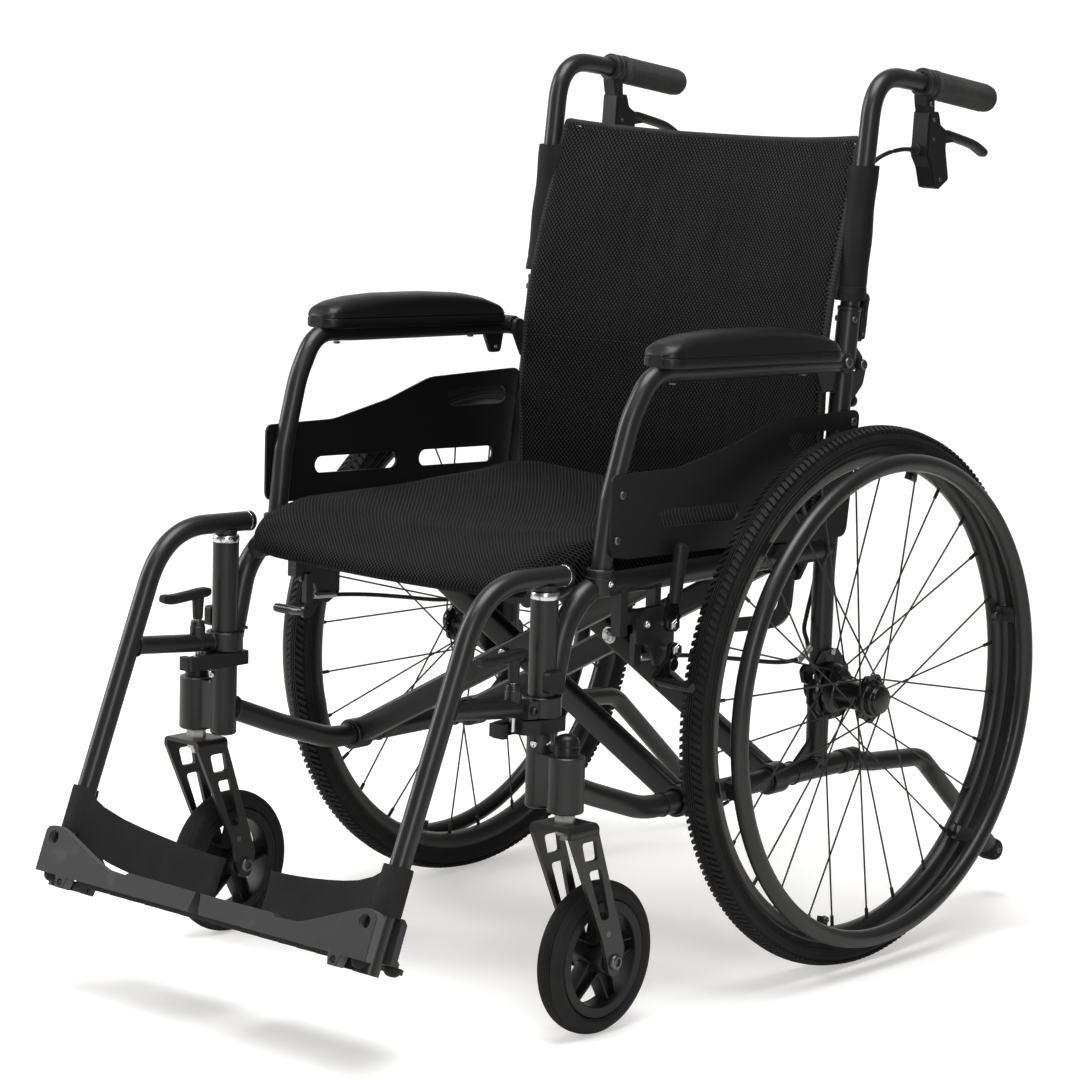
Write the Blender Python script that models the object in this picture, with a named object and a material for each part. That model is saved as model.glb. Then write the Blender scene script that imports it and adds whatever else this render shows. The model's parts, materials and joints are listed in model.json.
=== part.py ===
"""Folding self-propelled wheelchair: two side frames joined by a pair of X-braces.

Metres, +Z up. The chair faces -Y, and +X is the occupant's left. Every left-hand piece is drawn once
in chair coordinates, whose Y is measured from the rear axle, and the right-hand piece shares its mesh.
"""

import math

import bmesh
import bpy
from mathutils import Matrix, Vector
from mathutils.geometry import tessellate_polygon

# Driving dimensions
REAR_WHEEL_RADIUS = 0.305
REAR_WHEEL_X = 0.2951
TYRE_HALF_WIDTH = 0.0165
HANDRIM_X = 0.3355
HANDRIM_RADIUS = 0.2665
CASTER_RADIUS = 0.0813
CASTER_TRAIL = 0.054
CASTER_STEM = (0.2745, -0.474)
FRAME_X = 0.235
AXLE_Y = 0.1800
GAP = 0.0004

# Side frame
FRAME_TUBE = 0.0125
POST_TUBE = 0.0145
ARM_TUBE = 0.011
FRONT_POST_Y = -0.470
FRONT_POST_Z = (0.245, 0.466)
REAR_POST_Y = 0.005
REAR_POST_TOP = 0.6635
RECLINE = math.radians(6.4)
RECLINE_FROM = 0.440
LOWER_RAIL_Z = 0.213
TOP_RAIL_Z = 0.4635

# Folding brace: lower pivot, centre pivot and seat rail, as (x, z) on the left
LOWER_PIVOT = (FRAME_X, LOWER_RAIL_Z)
CENTRE_PIVOT = (0.0, 0.342)
SEAT_RAIL = (0.200, 0.470)
BRACE_DEPTH = 0.028
BRACE_THICKNESS = 0.018
BRACE_A_Y = (-0.236, -0.076)
BRACE_B_Y = (-0.256, -0.056)
FOLD_LINK_PIVOT = (0.218, 0.440)
FOLD_LINK_END = (0.0922, 0.3927)
FOLD_LINK_Y = {1: -0.0385, -1: -0.0945}
FOLD_LINK_THICKNESS = 0.006

# Leg rest: the footplate's own plane leans back with the hanger
LEG_LEAN = math.radians(20.8)
PLATE_FRONT = (-0.729, 0.128)
PLATE_HINGE = (0.2035, -0.0060)
LEG_X = 0.231
LEG_ACROSS = 0.0205
LATCH_Y = -0.5127

# Armrest
ARM_X = 0.247
ARM_PIVOT = (0.002, 0.675)
GUARD_X = 0.2555
GUARD_THICKNESS = 0.003

# Back
CANE_X = 0.231
BACK_PIVOT = (0.052, 0.668)
BACK_LEVER_PIVOT = (0.0560, 0.7020)
GRIP_START = (0.172, 0.9835)
GRIP_END = (0.294, 0.952)

chair = None


def clear_scene():
    for old in list(bpy.data.objects):
        bpy.data.objects.remove(old, do_unlink=True)


def material(name, colour, roughness, metallic=0.0):
    made = bpy.data.materials.new(name)
    made.use_nodes = True
    shader = made.node_tree.nodes["Principled BSDF"]
    shader.inputs["Base Color"].default_value = (*colour, 1.0)
    shader.inputs["Roughness"].default_value = roughness
    shader.inputs["Metallic"].default_value = metallic
    return made


def mesh_from(bm):
    """A mesh from a bmesh of closed bodies, with every face turned outward."""
    bmesh.ops.recalc_face_normals(bm, faces=bm.faces)
    made = bpy.data.meshes.new("shape")
    bm.to_mesh(made)
    bm.free()
    return made


def boolean(first, others, operation):
    """The first mesh joined to, or cut by, each of the others in turn."""
    body = bpy.data.objects.new("body", first)
    bpy.context.scene.collection.objects.link(body)
    helpers = []
    for other in others:
        helper = bpy.data.objects.new("helper", other)
        bpy.context.scene.collection.objects.link(helper)
        step = body.modifiers.new("step", "BOOLEAN")
        step.operation = operation
        step.object = helper
        helpers.append(helper)
    graph = bpy.context.evaluated_depsgraph_get()
    made = bpy.data.meshes.new_from_object(body.evaluated_get(graph))
    for used in [body, *helpers]:
        bpy.data.objects.remove(used, do_unlink=True)
    return made


def fuse(first, *others):
    return boolean(first, others, "UNION")


def cut(first, *others):
    return boolean(first, others, "DIFFERENCE")


def circle(radius, sides, start=0.0):
    """The corners of a round outline, as (x, y) pairs."""
    step = 2 * math.pi / sides
    return [(radius * math.cos(start + i * step), radius * math.sin(start + i * step)) for i in range(sides)]


def rounded(points, radius, steps=3, closed=False):
    """The points joined by straight runs, with each corner turned on an arc of the radius."""
    points = [Vector(p).to_3d() for p in points]
    count = len(points)
    radii = radius if isinstance(radius, (list, tuple)) else [radius] * count
    out = []
    for i, corner in enumerate(points):
        if not closed and i in (0, count - 1):
            out.append(corner)
            continue
        before = points[i - 1] - corner
        after = points[(i + 1) % count] - corner
        turn = math.pi - before.angle(after)
        if turn < 1e-3 or radii[i] <= 0:
            out.append(corner)
            continue
        reach = min(radii[i] * math.tan(turn / 2), 0.49 * before.length, 0.49 * after.length)
        arc_radius = reach / math.tan(turn / 2)
        start = corner + before.normalized() * reach
        inward = (before.normalized() + after.normalized()).normalized()
        centre = corner + inward * math.hypot(arc_radius, reach)
        axis = before.cross(after).normalized()
        for k in range(steps + 1):
            out.append(centre + Matrix.Rotation(-turn * k / steps, 3, axis) @ (start - centre))
    return out


def outline(points, radius=0.0, steps=1):
    """A closed flat outline with rounded corners, as (x, y) pairs."""
    return [(p.x, p.y) for p in rounded(points, radius, steps, closed=True)]


def sweep(path, profile, side_axis=(1, 0, 0)):
    """A profile carried along a path and capped. Its first coordinate lies along side_axis."""
    path = [Vector(p) for p in path]
    side_axis = Vector(side_axis)
    bm = bmesh.new()
    rings = []
    for i, point in enumerate(path):
        back = point - path[i - 1] if i else path[1] - path[0]
        ahead = path[i + 1] - point if i + 1 < len(path) else back
        along = (back.normalized() + ahead.normalized()).normalized()
        up = along.cross(side_axis).normalized()
        side = up.cross(along).normalized()
        stretch = 1 / max(0.5, along.dot(ahead.normalized()))
        rings.append([bm.verts.new(point + side * a + up * b * stretch) for a, b in profile])
    for near, far in zip(rings, rings[1:]):
        for k in range(len(profile)):
            j = (k + 1) % len(profile)
            bm.faces.new((near[k], near[j], far[j], far[k]))
    bm.faces.new(rings[0])
    bm.faces.new(rings[-1])
    return mesh_from(bm)


def tube(path, radius, sides=8, side_axis=(1, 0, 0)):
    return sweep(path, circle(radius, sides, math.pi / sides), side_axis)


AXES = {
    "X": Matrix(((0, 0, 1, 0), (0, 1, 0, 0), (-1, 0, 0, 0), (0, 0, 0, 1))),
    "Y": Matrix(((1, 0, 0, 0), (0, 0, 1, 0), (0, -1, 0, 0), (0, 0, 0, 1))),
    "Z": Matrix.Identity(4),
}


def turned(profile, sides, centre=(0, 0, 0), axis="Z", closed=False, start=0.0):
    """A solid of revolution. The profile holds (radius, height) pairs, and height runs along the axis."""
    bm = bmesh.new()
    rings = []
    for radius, height in profile:
        if radius < 1e-6:
            rings.append([bm.verts.new((0, 0, height))])
        else:
            rings.append([bm.verts.new((x, y, height)) for x, y in circle(radius, sides, start)])
    pairs = list(zip(rings, rings[1:] + rings[:1]))
    for near, far in pairs if closed else pairs[:-1]:
        for k in range(sides):
            j = (k + 1) % sides
            corners = [near[k % len(near)], near[j % len(near)], far[j % len(far)], far[k % len(far)]]
            bm.faces.new(list(dict.fromkeys(corners)))
    if not closed:
        for end in (rings[0], rings[-1]):
            if len(end) > 1:
                bm.faces.new(end)
    bm.transform(Matrix.Translation(centre) @ AXES[axis])
    return mesh_from(bm)


def rod(start, end, radius, sides=6):
    """A plain round bar between two points."""
    start, end = Vector(start), Vector(end)
    along = end - start
    turn = along.to_track_quat("Z", "Y").to_matrix().to_4x4()
    bm = bmesh.new()
    lower = [bm.verts.new((x, y, 0)) for x, y in circle(radius, sides, math.pi / sides)]
    upper = [bm.verts.new((x, y, along.length)) for x, y in circle(radius, sides, math.pi / sides)]
    for k in range(sides):
        j = (k + 1) % sides
        bm.faces.new((lower[k], lower[j], upper[j], upper[k]))
    bm.faces.new(lower)
    bm.faces.new(upper)
    bm.transform(Matrix.Translation(start) @ turn)
    return mesh_from(bm)


def plane_of(origin, first, second):
    """The matrix that lays an outline's x along first, its y along second, and its thickness across them."""
    first, second = Vector(first).normalized(), Vector(second).normalized()
    across = first.cross(second)
    made = Matrix((first, second, across)).transposed().to_4x4()
    made.translation = Vector(origin)
    return made


def plate(edge, thickness, place, holes=()):
    """A flat plate with round or shaped holes, from one outline and its thickness."""
    loops = [list(edge), *[list(hole) for hole in holes]]
    flat = [Vector((x, y, 0)) for loop in loops for x, y in loop]
    bm = bmesh.new()
    low = [bm.verts.new(p) for p in flat]
    high = [bm.verts.new(p + Vector((0, 0, thickness))) for p in flat]
    faces = tessellate_polygon([[Vector((x, y, 0)) for x, y in loop] for loop in loops])
    for a, b, c in faces:
        bm.faces.new((low[a], low[b], low[c]))
        bm.faces.new((high[a], high[c], high[b]))
    first = 0
    for loop in loops:
        for k in range(len(loop)):
            a, b = first + k, first + (k + 1) % len(loop)
            bm.faces.new((low[a], low[b], high[b], high[a]))
        first += len(loop)
    bm.transform(place)
    return mesh_from(bm)


def upright_plate(edge, x, thickness, holes=()):
    """A plate that stands in the chair's (y, z) plane, from x outward."""
    return plate(edge, thickness, plane_of((x, 0, 0), (0, 1, 0), (0, 0, 1)), holes)


def cross_plate(edge, y, thickness, holes=()):
    """A plate that stands in the chair's (x, z) plane, from y rearward."""
    turn = plane_of((0, y + thickness, 0), (1, 0, 0), (0, 0, 1))
    return plate(edge, thickness, turn, holes)


def level_plate(edge, z, thickness, holes=()):
    """A plate that lies in the chair's (x, y) plane, from z up."""
    return plate(edge, thickness, plane_of((0, 0, z), (1, 0, 0), (0, 1, 0)), holes)


def block(low, high, bevel=0.0):
    """A box between two corners, its edges taken off."""
    low, high = Vector(low), Vector(high)
    bm = bmesh.new()
    bmesh.ops.create_cube(bm, size=1)
    size = high - low
    bm.transform(Matrix.Translation((low + high) / 2) @ Matrix.Diagonal((*size, 1)))
    if bevel:
        bmesh.ops.bevel(bm, geom=bm.edges, offset=bevel, segments=1, affect="EDGES")
    return mesh_from(bm)


def slot_hole(start, end, radius, steps=3):
    """A slot's outline between two centres, with round ends."""
    start, end = Vector(start), Vector(end)
    along = math.atan2(end.y - start.y, end.x - start.x)
    made = []
    for centre, first in ((end, along - math.pi / 2), (start, along + math.pi / 2)):
        for k in range(steps + 1):
            angle = first + math.pi * k / steps
            made.append((centre.x + radius * math.cos(angle), centre.y + radius * math.sin(angle)))
    return made


def hole_at(x, y, radius, sides=8):
    return [(x + a, y + b) for a, b in circle(radius, sides)]


def node(name, mesh, pivot, finish, side=1, own_copy=False):
    """One named piece, with its origin on its pivot. Side -1 mirrors it to the occupant's right."""
    pivot = Vector(pivot)
    shared = mesh.copy() if own_copy else mesh
    made = bpy.data.objects.new(name, shared)
    bpy.context.scene.collection.objects.link(made)
    made.parent = chair
    made.location = (pivot.x * side, pivot.y, pivot.z)
    made.scale = (side, 1, 1)
    if not shared.materials:
        shared.materials.append(finish)
        shared.transform(Matrix.Translation(-pivot))
        shared.shade_smooth()
        shared.set_sharp_from_angle(angle=math.radians(40))
    return made


def both_sides(name, mesh, pivot, finish):
    node("left_" + name, mesh, pivot, finish)
    node("right_" + name, mesh, pivot, finish, side=-1)


def tilted(u, n, x=0.0):
    """A point in the footplate's own frame: u runs back down the plate, n stands up from it."""
    y, z = PLATE_FRONT
    return Vector((x, y + u * math.cos(LEG_LEAN) + n * math.sin(LEG_LEAN),
                   z - u * math.sin(LEG_LEAN) + n * math.cos(LEG_LEAN)))


PLATE_BACK = (0, math.cos(LEG_LEAN), -math.sin(LEG_LEAN))
PLATE_UP = (0, math.sin(LEG_LEAN), math.cos(LEG_LEAN))


def post_y(z):
    """The rear post's centre line: upright to the top rail, then leaning back."""
    return REAR_POST_Y + max(0.0, z - RECLINE_FROM) * math.tan(RECLINE)


def cane_y(z):
    return post_y(z)


# Side frame

def front_post():
    low, high = FRONT_POST_Z
    post = rod((FRAME_X, FRONT_POST_Y, low), (FRAME_X, FRONT_POST_Y, high), POST_TUBE, 12)
    x, y = CASTER_STEM
    housing = turned(((0.0192, 0.2440), (0.0192, 0.3030), (0.0128, 0.3050), (0.0128, 0.3140), (0.0090, 0.3230),
                      (0, 0.3255)), 12, (x, y, 0))
    web = block((FRAME_X + 0.008, y - 0.009, 0.2520), (x - 0.008, y + 0.009, 0.3000))
    jaw = outline(((0.216, -0.450), (0.216, -0.500), (0.222, -0.533), (0.240, -0.533), (0.240, -0.524),
                   (0.229, -0.524), (0.229, -0.504), (0.240, -0.504), (0.252, -0.488), (0.252, -0.450)))
    receiver = level_plate(jaw, 0.3220, 0.0150)
    stop = block((0.2465, -0.4810, 0.3640), (0.2560, -0.4590, 0.3860))
    return fuse(post, housing, web, receiver, stop)


def top_rail(side):
    """The curved top tube with its armrest socket, the wheel-lock bracket and the folding link's lug."""
    run = rounded(((FRAME_X, -0.4500, 0.3600), (FRAME_X, -0.4360, 0.4280), (FRAME_X, -0.4050, TOP_RAIL_Z),
                   (FRAME_X, REAR_POST_Y, TOP_RAIL_Z)), 0.070, 2)
    rail = tube(run, FRAME_TUBE)
    socket = rod((0.239, -0.389, 0.4550), (0.239, -0.387, 0.4810), 0.0142, 8)
    front_lug = block((0.2330, -0.3620, 0.4080), (0.2470, -0.3500, 0.4600))
    bar = block((0.2335, -0.3560, 0.4190), (0.2465, -0.2900, 0.4330))
    rear_lug = block((0.2330, -0.3060, 0.4230), (0.2470, -0.2960, 0.4600))
    lock_plate = upright_plate(
        outline(((-0.3400, 0.3980), (-0.3420, 0.4240), (-0.3260, 0.4340), (-0.2860, 0.4340), (-0.2780, 0.4220),
                 (-0.2780, 0.3800), (-0.2960, 0.3700), (-0.3080, 0.3720), (-0.3200, 0.3960)),
                [0.006, 0, 0.006, 0.006, 0, 0.006, 0, 0.006, 0]), 0.2460, 0.0100)
    cable_stop = block((0.2380, -0.3380, 0.3740), (0.2480, -0.3260, 0.4080))
    y = FOLD_LINK_Y[side]
    half = FOLD_LINK_THICKNESS / 2
    back = 1 if side == 1 else -1
    lug_y = y + half + 0.001 if side == 1 else y - half - 0.001 - 0.006
    lug = cross_plate(outline(((0.2080, 0.4300), (0.2280, 0.4300), (0.2440, 0.4600), (0.2080, 0.4520)), 0.003, 1),
                      lug_y, 0.006)
    px, pz = FOLD_LINK_PIVOT
    pin = rod((px, y + back * (half + 0.004), pz), (px, y - back * (half + 0.0008), pz), 0.0036, 6)
    whole = fuse(rail, socket, front_lug, bar, rear_lug, lock_plate, cable_stop, lug, pin)
    post_gap = rod((FRAME_X, FRONT_POST_Y, 0.30), (FRAME_X, FRONT_POST_Y, 0.50), POST_TUBE + 2 * GAP, 12)
    rear_gap = rod((FRAME_X, REAR_POST_Y, 0.40), (FRAME_X, REAR_POST_Y, 0.52), FRAME_TUBE + 2 * GAP, 10)
    return cut(whole, post_gap, rear_gap)


def rear_post():
    low = LOWER_RAIL_Z + FRAME_TUBE + GAP
    top = REAR_POST_TOP
    run = [(FRAME_X, REAR_POST_Y, low), (FRAME_X, REAR_POST_Y + 0.0006, RECLINE_FROM), (CANE_X, post_y(top), top)]
    post = tube(run, FRAME_TUBE)
    by, bz = BACK_PIVOT
    ear = outline(((post_y(0.62), 0.6200), (0.0560, 0.6480), (by + 0.0076, bz), (by, bz + 0.0076),
                   (by - 0.0068, bz + 0.002), (by - 0.0068, bz - 0.0055), (post_y(0.65), 0.6540)))
    inner = upright_plate(ear, CANE_X - 0.0110, 0.0045)
    outer = upright_plate(ear, CANE_X + 0.0065, 0.0045)
    pin = rod((CANE_X - 0.0135, by, bz), (CANE_X + 0.0135, by, bz), 0.0034, 8)
    ay, az = ARM_PIVOT
    bracket = upright_plate(outline(((ay - 0.0085, az - 0.006), (ay - 0.004, az + 0.009), (ay + 0.006, az + 0.008),
                                     (0.0180, 0.6600), (0.0240, 0.6420), (0.0100, 0.6400)), 0.004, 1), 0.2290, 0.0055)
    arm_pin = rod((0.2300, ay, az), (0.2600, ay, az), 0.0033, 8)
    knobs = [rod((FRAME_X - 0.002, post_y(z), z), (FRAME_X - 0.002, post_y(z) + 0.0230, z - 0.002), 0.0048, 5)
             for z in (0.6280, 0.6060)]
    boss = rod((0.2250, REAR_POST_Y, REAR_WHEEL_RADIUS), (0.2475, REAR_POST_Y, REAR_WHEEL_RADIUS), 0.0145, 8)
    return fuse(post, inner, outer, pin, bracket, arm_pin, boss, *knobs)


def lower_rail():
    run = rounded(((FRAME_X, -0.4500, 0.2860), (FRAME_X, -0.3950, 0.2500), (FRAME_X, -0.3200, LOWER_RAIL_Z),
                   (FRAME_X, 0.0610, LOWER_RAIL_Z)), 0.120, 2)
    rail = tube(run, FRAME_TUBE)
    post_gap = rod((FRAME_X, FRONT_POST_Y, 0.24), (FRAME_X, FRONT_POST_Y, 0.33), POST_TUBE + 2 * GAP, 12)
    gusset = upright_plate(((-0.0360, LOWER_RAIL_Z + 0.006), (-0.0095, LOWER_RAIL_Z + 0.006),
                            (-0.0095, LOWER_RAIL_Z + 0.034)), FRAME_X - 0.0025, 0.005)
    return cut(fuse(rail, gusset), post_gap)


def anti_tipper():
    run = rounded(((FRAME_X, 0.0632, LOWER_RAIL_Z), (FRAME_X, 0.2090, 0.1960), (FRAME_X, 0.3560, 0.0680)), 0.045, 3)
    bar = tube(run, 0.0110, 8)
    collar = rod((FRAME_X, 0.0632, LOWER_RAIL_Z), (FRAME_X, 0.0780, LOWER_RAIL_Z - 0.0016), 0.0138, 8)
    button = rod((FRAME_X, 0.0690, LOWER_RAIL_Z), (FRAME_X + 0.0160, 0.0690, LOWER_RAIL_Z), 0.0032, 8)
    tip = turned(((0, -0.0130), (0.0095, -0.0115), (0.0135, -0.0060), (0.0135, 0.0060), (0.0095, 0.0115),
                  (0, 0.0130)), 8, (FRAME_X, 0.3650, 0.0590), "X")
    return fuse(bar, collar, button, tip)


# Rear wheel

WHEEL_SIDES = 32
SPOKES = 28
HALF_STEP = math.pi / WHEEL_SIDES
FLAT = math.cos(HALF_STEP)


def wheel_ring(profile, centre_x, sides=WHEEL_SIDES):
    """A ring about the rear axle, with a flat of its outline turned to the floor."""
    return turned([(r / FLAT, h) for r, h in profile], sides, (centre_x, 0, REAR_WHEEL_RADIUS), "X", True,
                  math.pi / sides)


def tyre():
    half, top, bead = TYRE_HALF_WIDTH, REAR_WHEEL_RADIUS, 0.2766
    section = ((top, -0.0080), (top, 0.0080), (top - 0.011, half), (bead, 0.0115), (bead, -0.0115),
               (top - 0.011, -half))
    return wheel_ring(section, REAR_WHEEL_X)


def spoke(index):
    """One of the wheel's spokes, crossing its neighbours on the way from the hub flange to the rim."""
    outer = index % 2
    forward = 1 if (index // 2) % 2 else -1
    at_rim = 2 * math.pi * (index + 0.5) / SPOKES
    at_hub = at_rim + forward * math.radians(64)
    flange_x = (0.3120 if outer else 0.2660) + forward * 0.0017
    points = []
    for radius, angle, x in ((0.0235, at_hub, flange_x), (0.2590, at_rim, REAR_WHEEL_X + (0.003 if outer else -0.003))):
        points.append((x, radius * math.cos(angle), REAR_WHEEL_RADIUS + radius * math.sin(angle)))
    return rod(points[0], points[1], 0.0012, 3)


def wheel():
    """Rim, hub shell with its two flanges and cap, axle stub and crossed spokes."""
    rim = wheel_ring(((0.2762, -0.0115), (0.2762, 0.0115), (0.2650, 0.0118), (0.2575, 0), (0.2650, -0.0118)),
                     REAR_WHEEL_X)
    at = (0, 0, REAR_WHEEL_RADIUS)
    hub = turned(((0.0060, 0.2482), (0.0060, 0.2612), (0.0275, 0.2620), (0.0275, 0.2690), (0.0165, 0.2730),
                  (0.0165, 0.3050), (0.0275, 0.3085), (0.0275, 0.3150), (0.0180, 0.3160), (0.0130, 0.3260),
                  (0, 0.3285)), 8, at, "X")
    spokes = [spoke(i) for i in range(SPOKES)]
    return fuse(hub, *spokes, rim)


def handrim():
    """The push ring, with the six tabs that bolt it to the wheel's rim."""
    section = [(HANDRIM_RADIUS + a, b) for a, b in circle(0.0100, 6)]
    hoop = wheel_ring(section, HANDRIM_X, 30)
    tabs = []
    for k in range(6):
        angle = 2 * math.pi * (k + 0.25) / 6
        out = Vector((0, math.cos(angle), math.sin(angle)))
        along = Vector((0, -math.sin(angle), math.cos(angle)))
        start = Vector((REAR_WHEEL_X + 0.0125, 0, REAR_WHEEL_RADIUS)) + out * 0.2535
        edge = ((-0.0020, -0.0070), (0.0400, -0.0090), (0.0400, 0.0090), (-0.0020, 0.0070))
        lean = (Vector((1, 0, 0)) * 0.028 + out * 0.0100).normalized()
        tabs.append(plate(edge, 0.003, plane_of(start, lean, along)))
    return fuse(hoop, *tabs)


def hub_brake():
    """The drum brake on the rear post: backing plate, drum and the cable arm at its front."""
    low = FRAME_X + FRAME_TUBE + GAP
    z = REAR_WHEEL_RADIUS
    bore = hole_at(0, z, 0.0075, 10)
    edge = outline(((-0.0240, z - 0.0420), (0.0180, z - 0.0400), (0.0330, z - 0.0120), (0.0320, z + 0.0260),
                    (0.0200, z + 0.0560), (-0.0080, z + 0.0580), (-0.0240, z + 0.0300), (-0.0360, z + 0.0120),
                    (-0.0360, z - 0.0200)), 0.012, 1)
    backing = upright_plate(edge, low, 0.0035, [bore])
    drum = turned(((0.0070, low + 0.002), (0.0320, low + 0.002), (0.0320, 0.2590), (0.0290, 0.2605),
                   (0.0070, 0.2605)), 14, (0, 0, z), "X", True)
    arm = upright_plate(outline(((-0.0280, z + 0.0080), (-0.0500, z + 0.0160), (-0.0540, z + 0.0300),
                                 (-0.0440, z + 0.0360), (-0.0260, z + 0.0300)), 0.004, 1), low + 0.0015, 0.0065)
    bolt = rod((low + 0.002, 0.004, z + 0.0470), (low + 0.0075, 0.004, z + 0.0470), 0.0042)
    return fuse(backing, drum, arm, bolt)


# Caster

def caster_fork():
    """A flat plate bent into a raked fork, with two windows in each leg."""
    x, y = CASTER_STEM
    axle = (y + CASTER_TRAIL, CASTER_RADIUS)
    top = 0.2335
    edge = outline(((y - 0.0230, top), (y + 0.0230, top), (axle[0] + 0.0150, axle[1] + 0.012),
                    (axle[0] + 0.0070, axle[1] - 0.0150), (axle[0] - 0.0080, axle[1] - 0.0150),
                    (axle[0] - 0.0190, axle[1] + 0.022)), [0, 0, 0.010, 0.012, 0.012, 0.014], 1)
    lean = (axle[0] - y) / (axle[1] - top)
    centre = lambda z: y + (z - top) * lean
    upper = ((-0.0110, 0.1950), (0.0090, 0.1950), (0.0110, 0.2150), (-0.0110, 0.2150))
    lower = ((-0.0070, 0.1320), (0.0070, 0.1320), (0.0100, 0.1830), (-0.0095, 0.1830))
    windows = [[(centre(z) + dy, z) for dy, z in window] for window in (upper, lower)]
    legs = [upright_plate(edge, x + dx, 0.0045, windows) for dx in (-0.0280, 0.0235)]
    bridge = block((x - 0.0270, y - 0.0225, top - 0.0050), (x + 0.0270, y + 0.0225, top - 0.0001))
    nuts = [rod((x, y, low), (x, y, high), radius, 6)
            for low, high, radius in ((top - 0.001, 0.2436, 0.0110), (0.2190, top - 0.004, 0.0090))]
    axle_pin = rod((x - 0.0310, *axle), (x + 0.0310, *axle), 0.0040, 8)
    heads = [rod((x + a, *axle), (x + b, *axle), 0.0075) for a, b in ((-0.0325, -0.0275), (0.0275, 0.0325))]
    return fuse(legs[0], legs[1], bridge, *nuts, axle_pin, *heads)


CASTER_SIDES = 20
CASTER_FLAT = math.cos(math.pi / CASTER_SIDES)


def caster_ring(profile, closed=True):
    x, y = CASTER_STEM
    return turned([(r / CASTER_FLAT, h) for r, h in profile], CASTER_SIDES,
                  (x, y + CASTER_TRAIL, CASTER_RADIUS), "X", closed, math.pi / CASTER_SIDES)


def caster_tyre():
    top, bead, half = CASTER_RADIUS, 0.0630, 0.0150
    return caster_ring(((top, -0.0060), (top, 0.0060), (top - 0.008, half), (bead, 0.0125), (bead, -0.0125),
                        (top - 0.008, -half)))


def caster_wheel():
    """Five-spoke moulded wheel."""
    x, y = CASTER_STEM
    y, z = y + CASTER_TRAIL, CASTER_RADIUS
    rim = caster_ring(((0.0626, -0.0125), (0.0626, 0.0125), (0.0530, 0.0130), (0.0530, -0.0130)))
    hub = turned(((0.0048, -0.0200), (0.0120, -0.0200), (0.0120, 0.0200), (0.0048, 0.0200)), 10, (x, y, z), "X", True)
    arms = []
    for k in range(5):
        angle = 2 * math.pi * (k + 0.1) / 5
        out = Vector((0, math.cos(angle), math.sin(angle)))
        along = Vector((0, -math.sin(angle), math.cos(angle)))
        edge = ((0.0110, -0.0080), (0.0540, -0.0045), (0.0540, 0.0045), (0.0110, 0.0080))
        place = plane_of(Vector((x, y, z)) - out.cross(along) * 0.0080, out, along)
        arms.append(plate(edge, 0.0160, place))
    return fuse(hub, *arms, rim)


# Leg rest

HANGER_RUN = ((-0.4380, 0.4810), (-0.5050, 0.4870), (-0.5650, 0.4780))


def hanger():
    """The swing-away leg tube, its pivot collar on the front post, and the footplate's hinge pin."""
    foot = tilted(LEG_ACROSS, -0.0100)
    knee = tilted(LEG_ACROSS, 0.3350)
    run = [(LEG_X + 0.003, y, z) for y, z in HANGER_RUN]
    run += [(LEG_X, knee.y - 0.004, knee.z + 0.018), (LEG_X, foot.y, foot.z)]
    leg = tube(rounded(run, 0.075, 2), ARM_TUBE)
    cross_z = 0.3480
    joint = tilted(LEG_ACROSS, 0.2500)
    cross = rod((LEG_X, joint.y, 0.3600), (FRAME_X, FRONT_POST_Y - 0.0150, cross_z), 0.0095, 8)
    collar = rod((FRAME_X, FRONT_POST_Y, 0.3382), (FRAME_X, FRONT_POST_Y, 0.3590), 0.0200, 12)
    boss = rod((0.2335, LATCH_Y, 0.3440), (0.2335, LATCH_Y, 0.3760), 0.0080)
    pivot = rod((FRAME_X, FRONT_POST_Y, FRONT_POST_Z[1] + GAP), (FRAME_X, FRONT_POST_Y, 0.4780), 0.0110, 10)
    hinge_x, hinge_n = PLATE_HINGE
    lug_edge = outline(((hinge_x - 0.0060, hinge_n - 0.0055), (LEG_X, hinge_n - 0.0040), (LEG_X, -0.0012),
                        (hinge_x - 0.0060, -0.0012)), 0.002)
    lug = plate(lug_edge, 0.0210, plane_of(tilted(LEG_ACROSS + 0.0105, 0), (1, 0, 0), PLATE_UP))
    pin = rod(tilted(-0.0040, hinge_n, hinge_x), tilted(0.0460, hinge_n, hinge_x), 0.0030, 8)
    whole = fuse(leg, cross, collar, boss, pivot, lug, pin)
    bore = rod((FRAME_X, FRONT_POST_Y, 0.33), (FRAME_X, FRONT_POST_Y, 0.37), 0.0157, 12)
    latch_bore = rod((0.2335, LATCH_Y, 0.33), (0.2335, LATCH_Y, 0.39), 0.0044)
    return cut(whole, bore, latch_bore)


def latch_handle():
    """T-handle on a sprung pin that drops into the front post's jaw."""
    x = 0.2335
    pin = rod((x, LATCH_Y, 0.3260), (x, LATCH_Y, 0.4030), 0.0031)
    neck = rod((x, LATCH_Y, 0.3785), (x, LATCH_Y, 0.4030), 0.0062)
    bar = sweep(rounded(((x, -0.5660, 0.4065), (x, -0.5520, 0.4045), (x, -0.5127, 0.4070), (x, -0.4960, 0.4075)),
                        0.02, 2),
                outline(((-0.0062, -0.0050), (0.0062, -0.0050), (0.0062, 0.0055), (-0.0062, 0.0055)), 0.003, 1))
    return fuse(pin, neck, bar)


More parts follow.
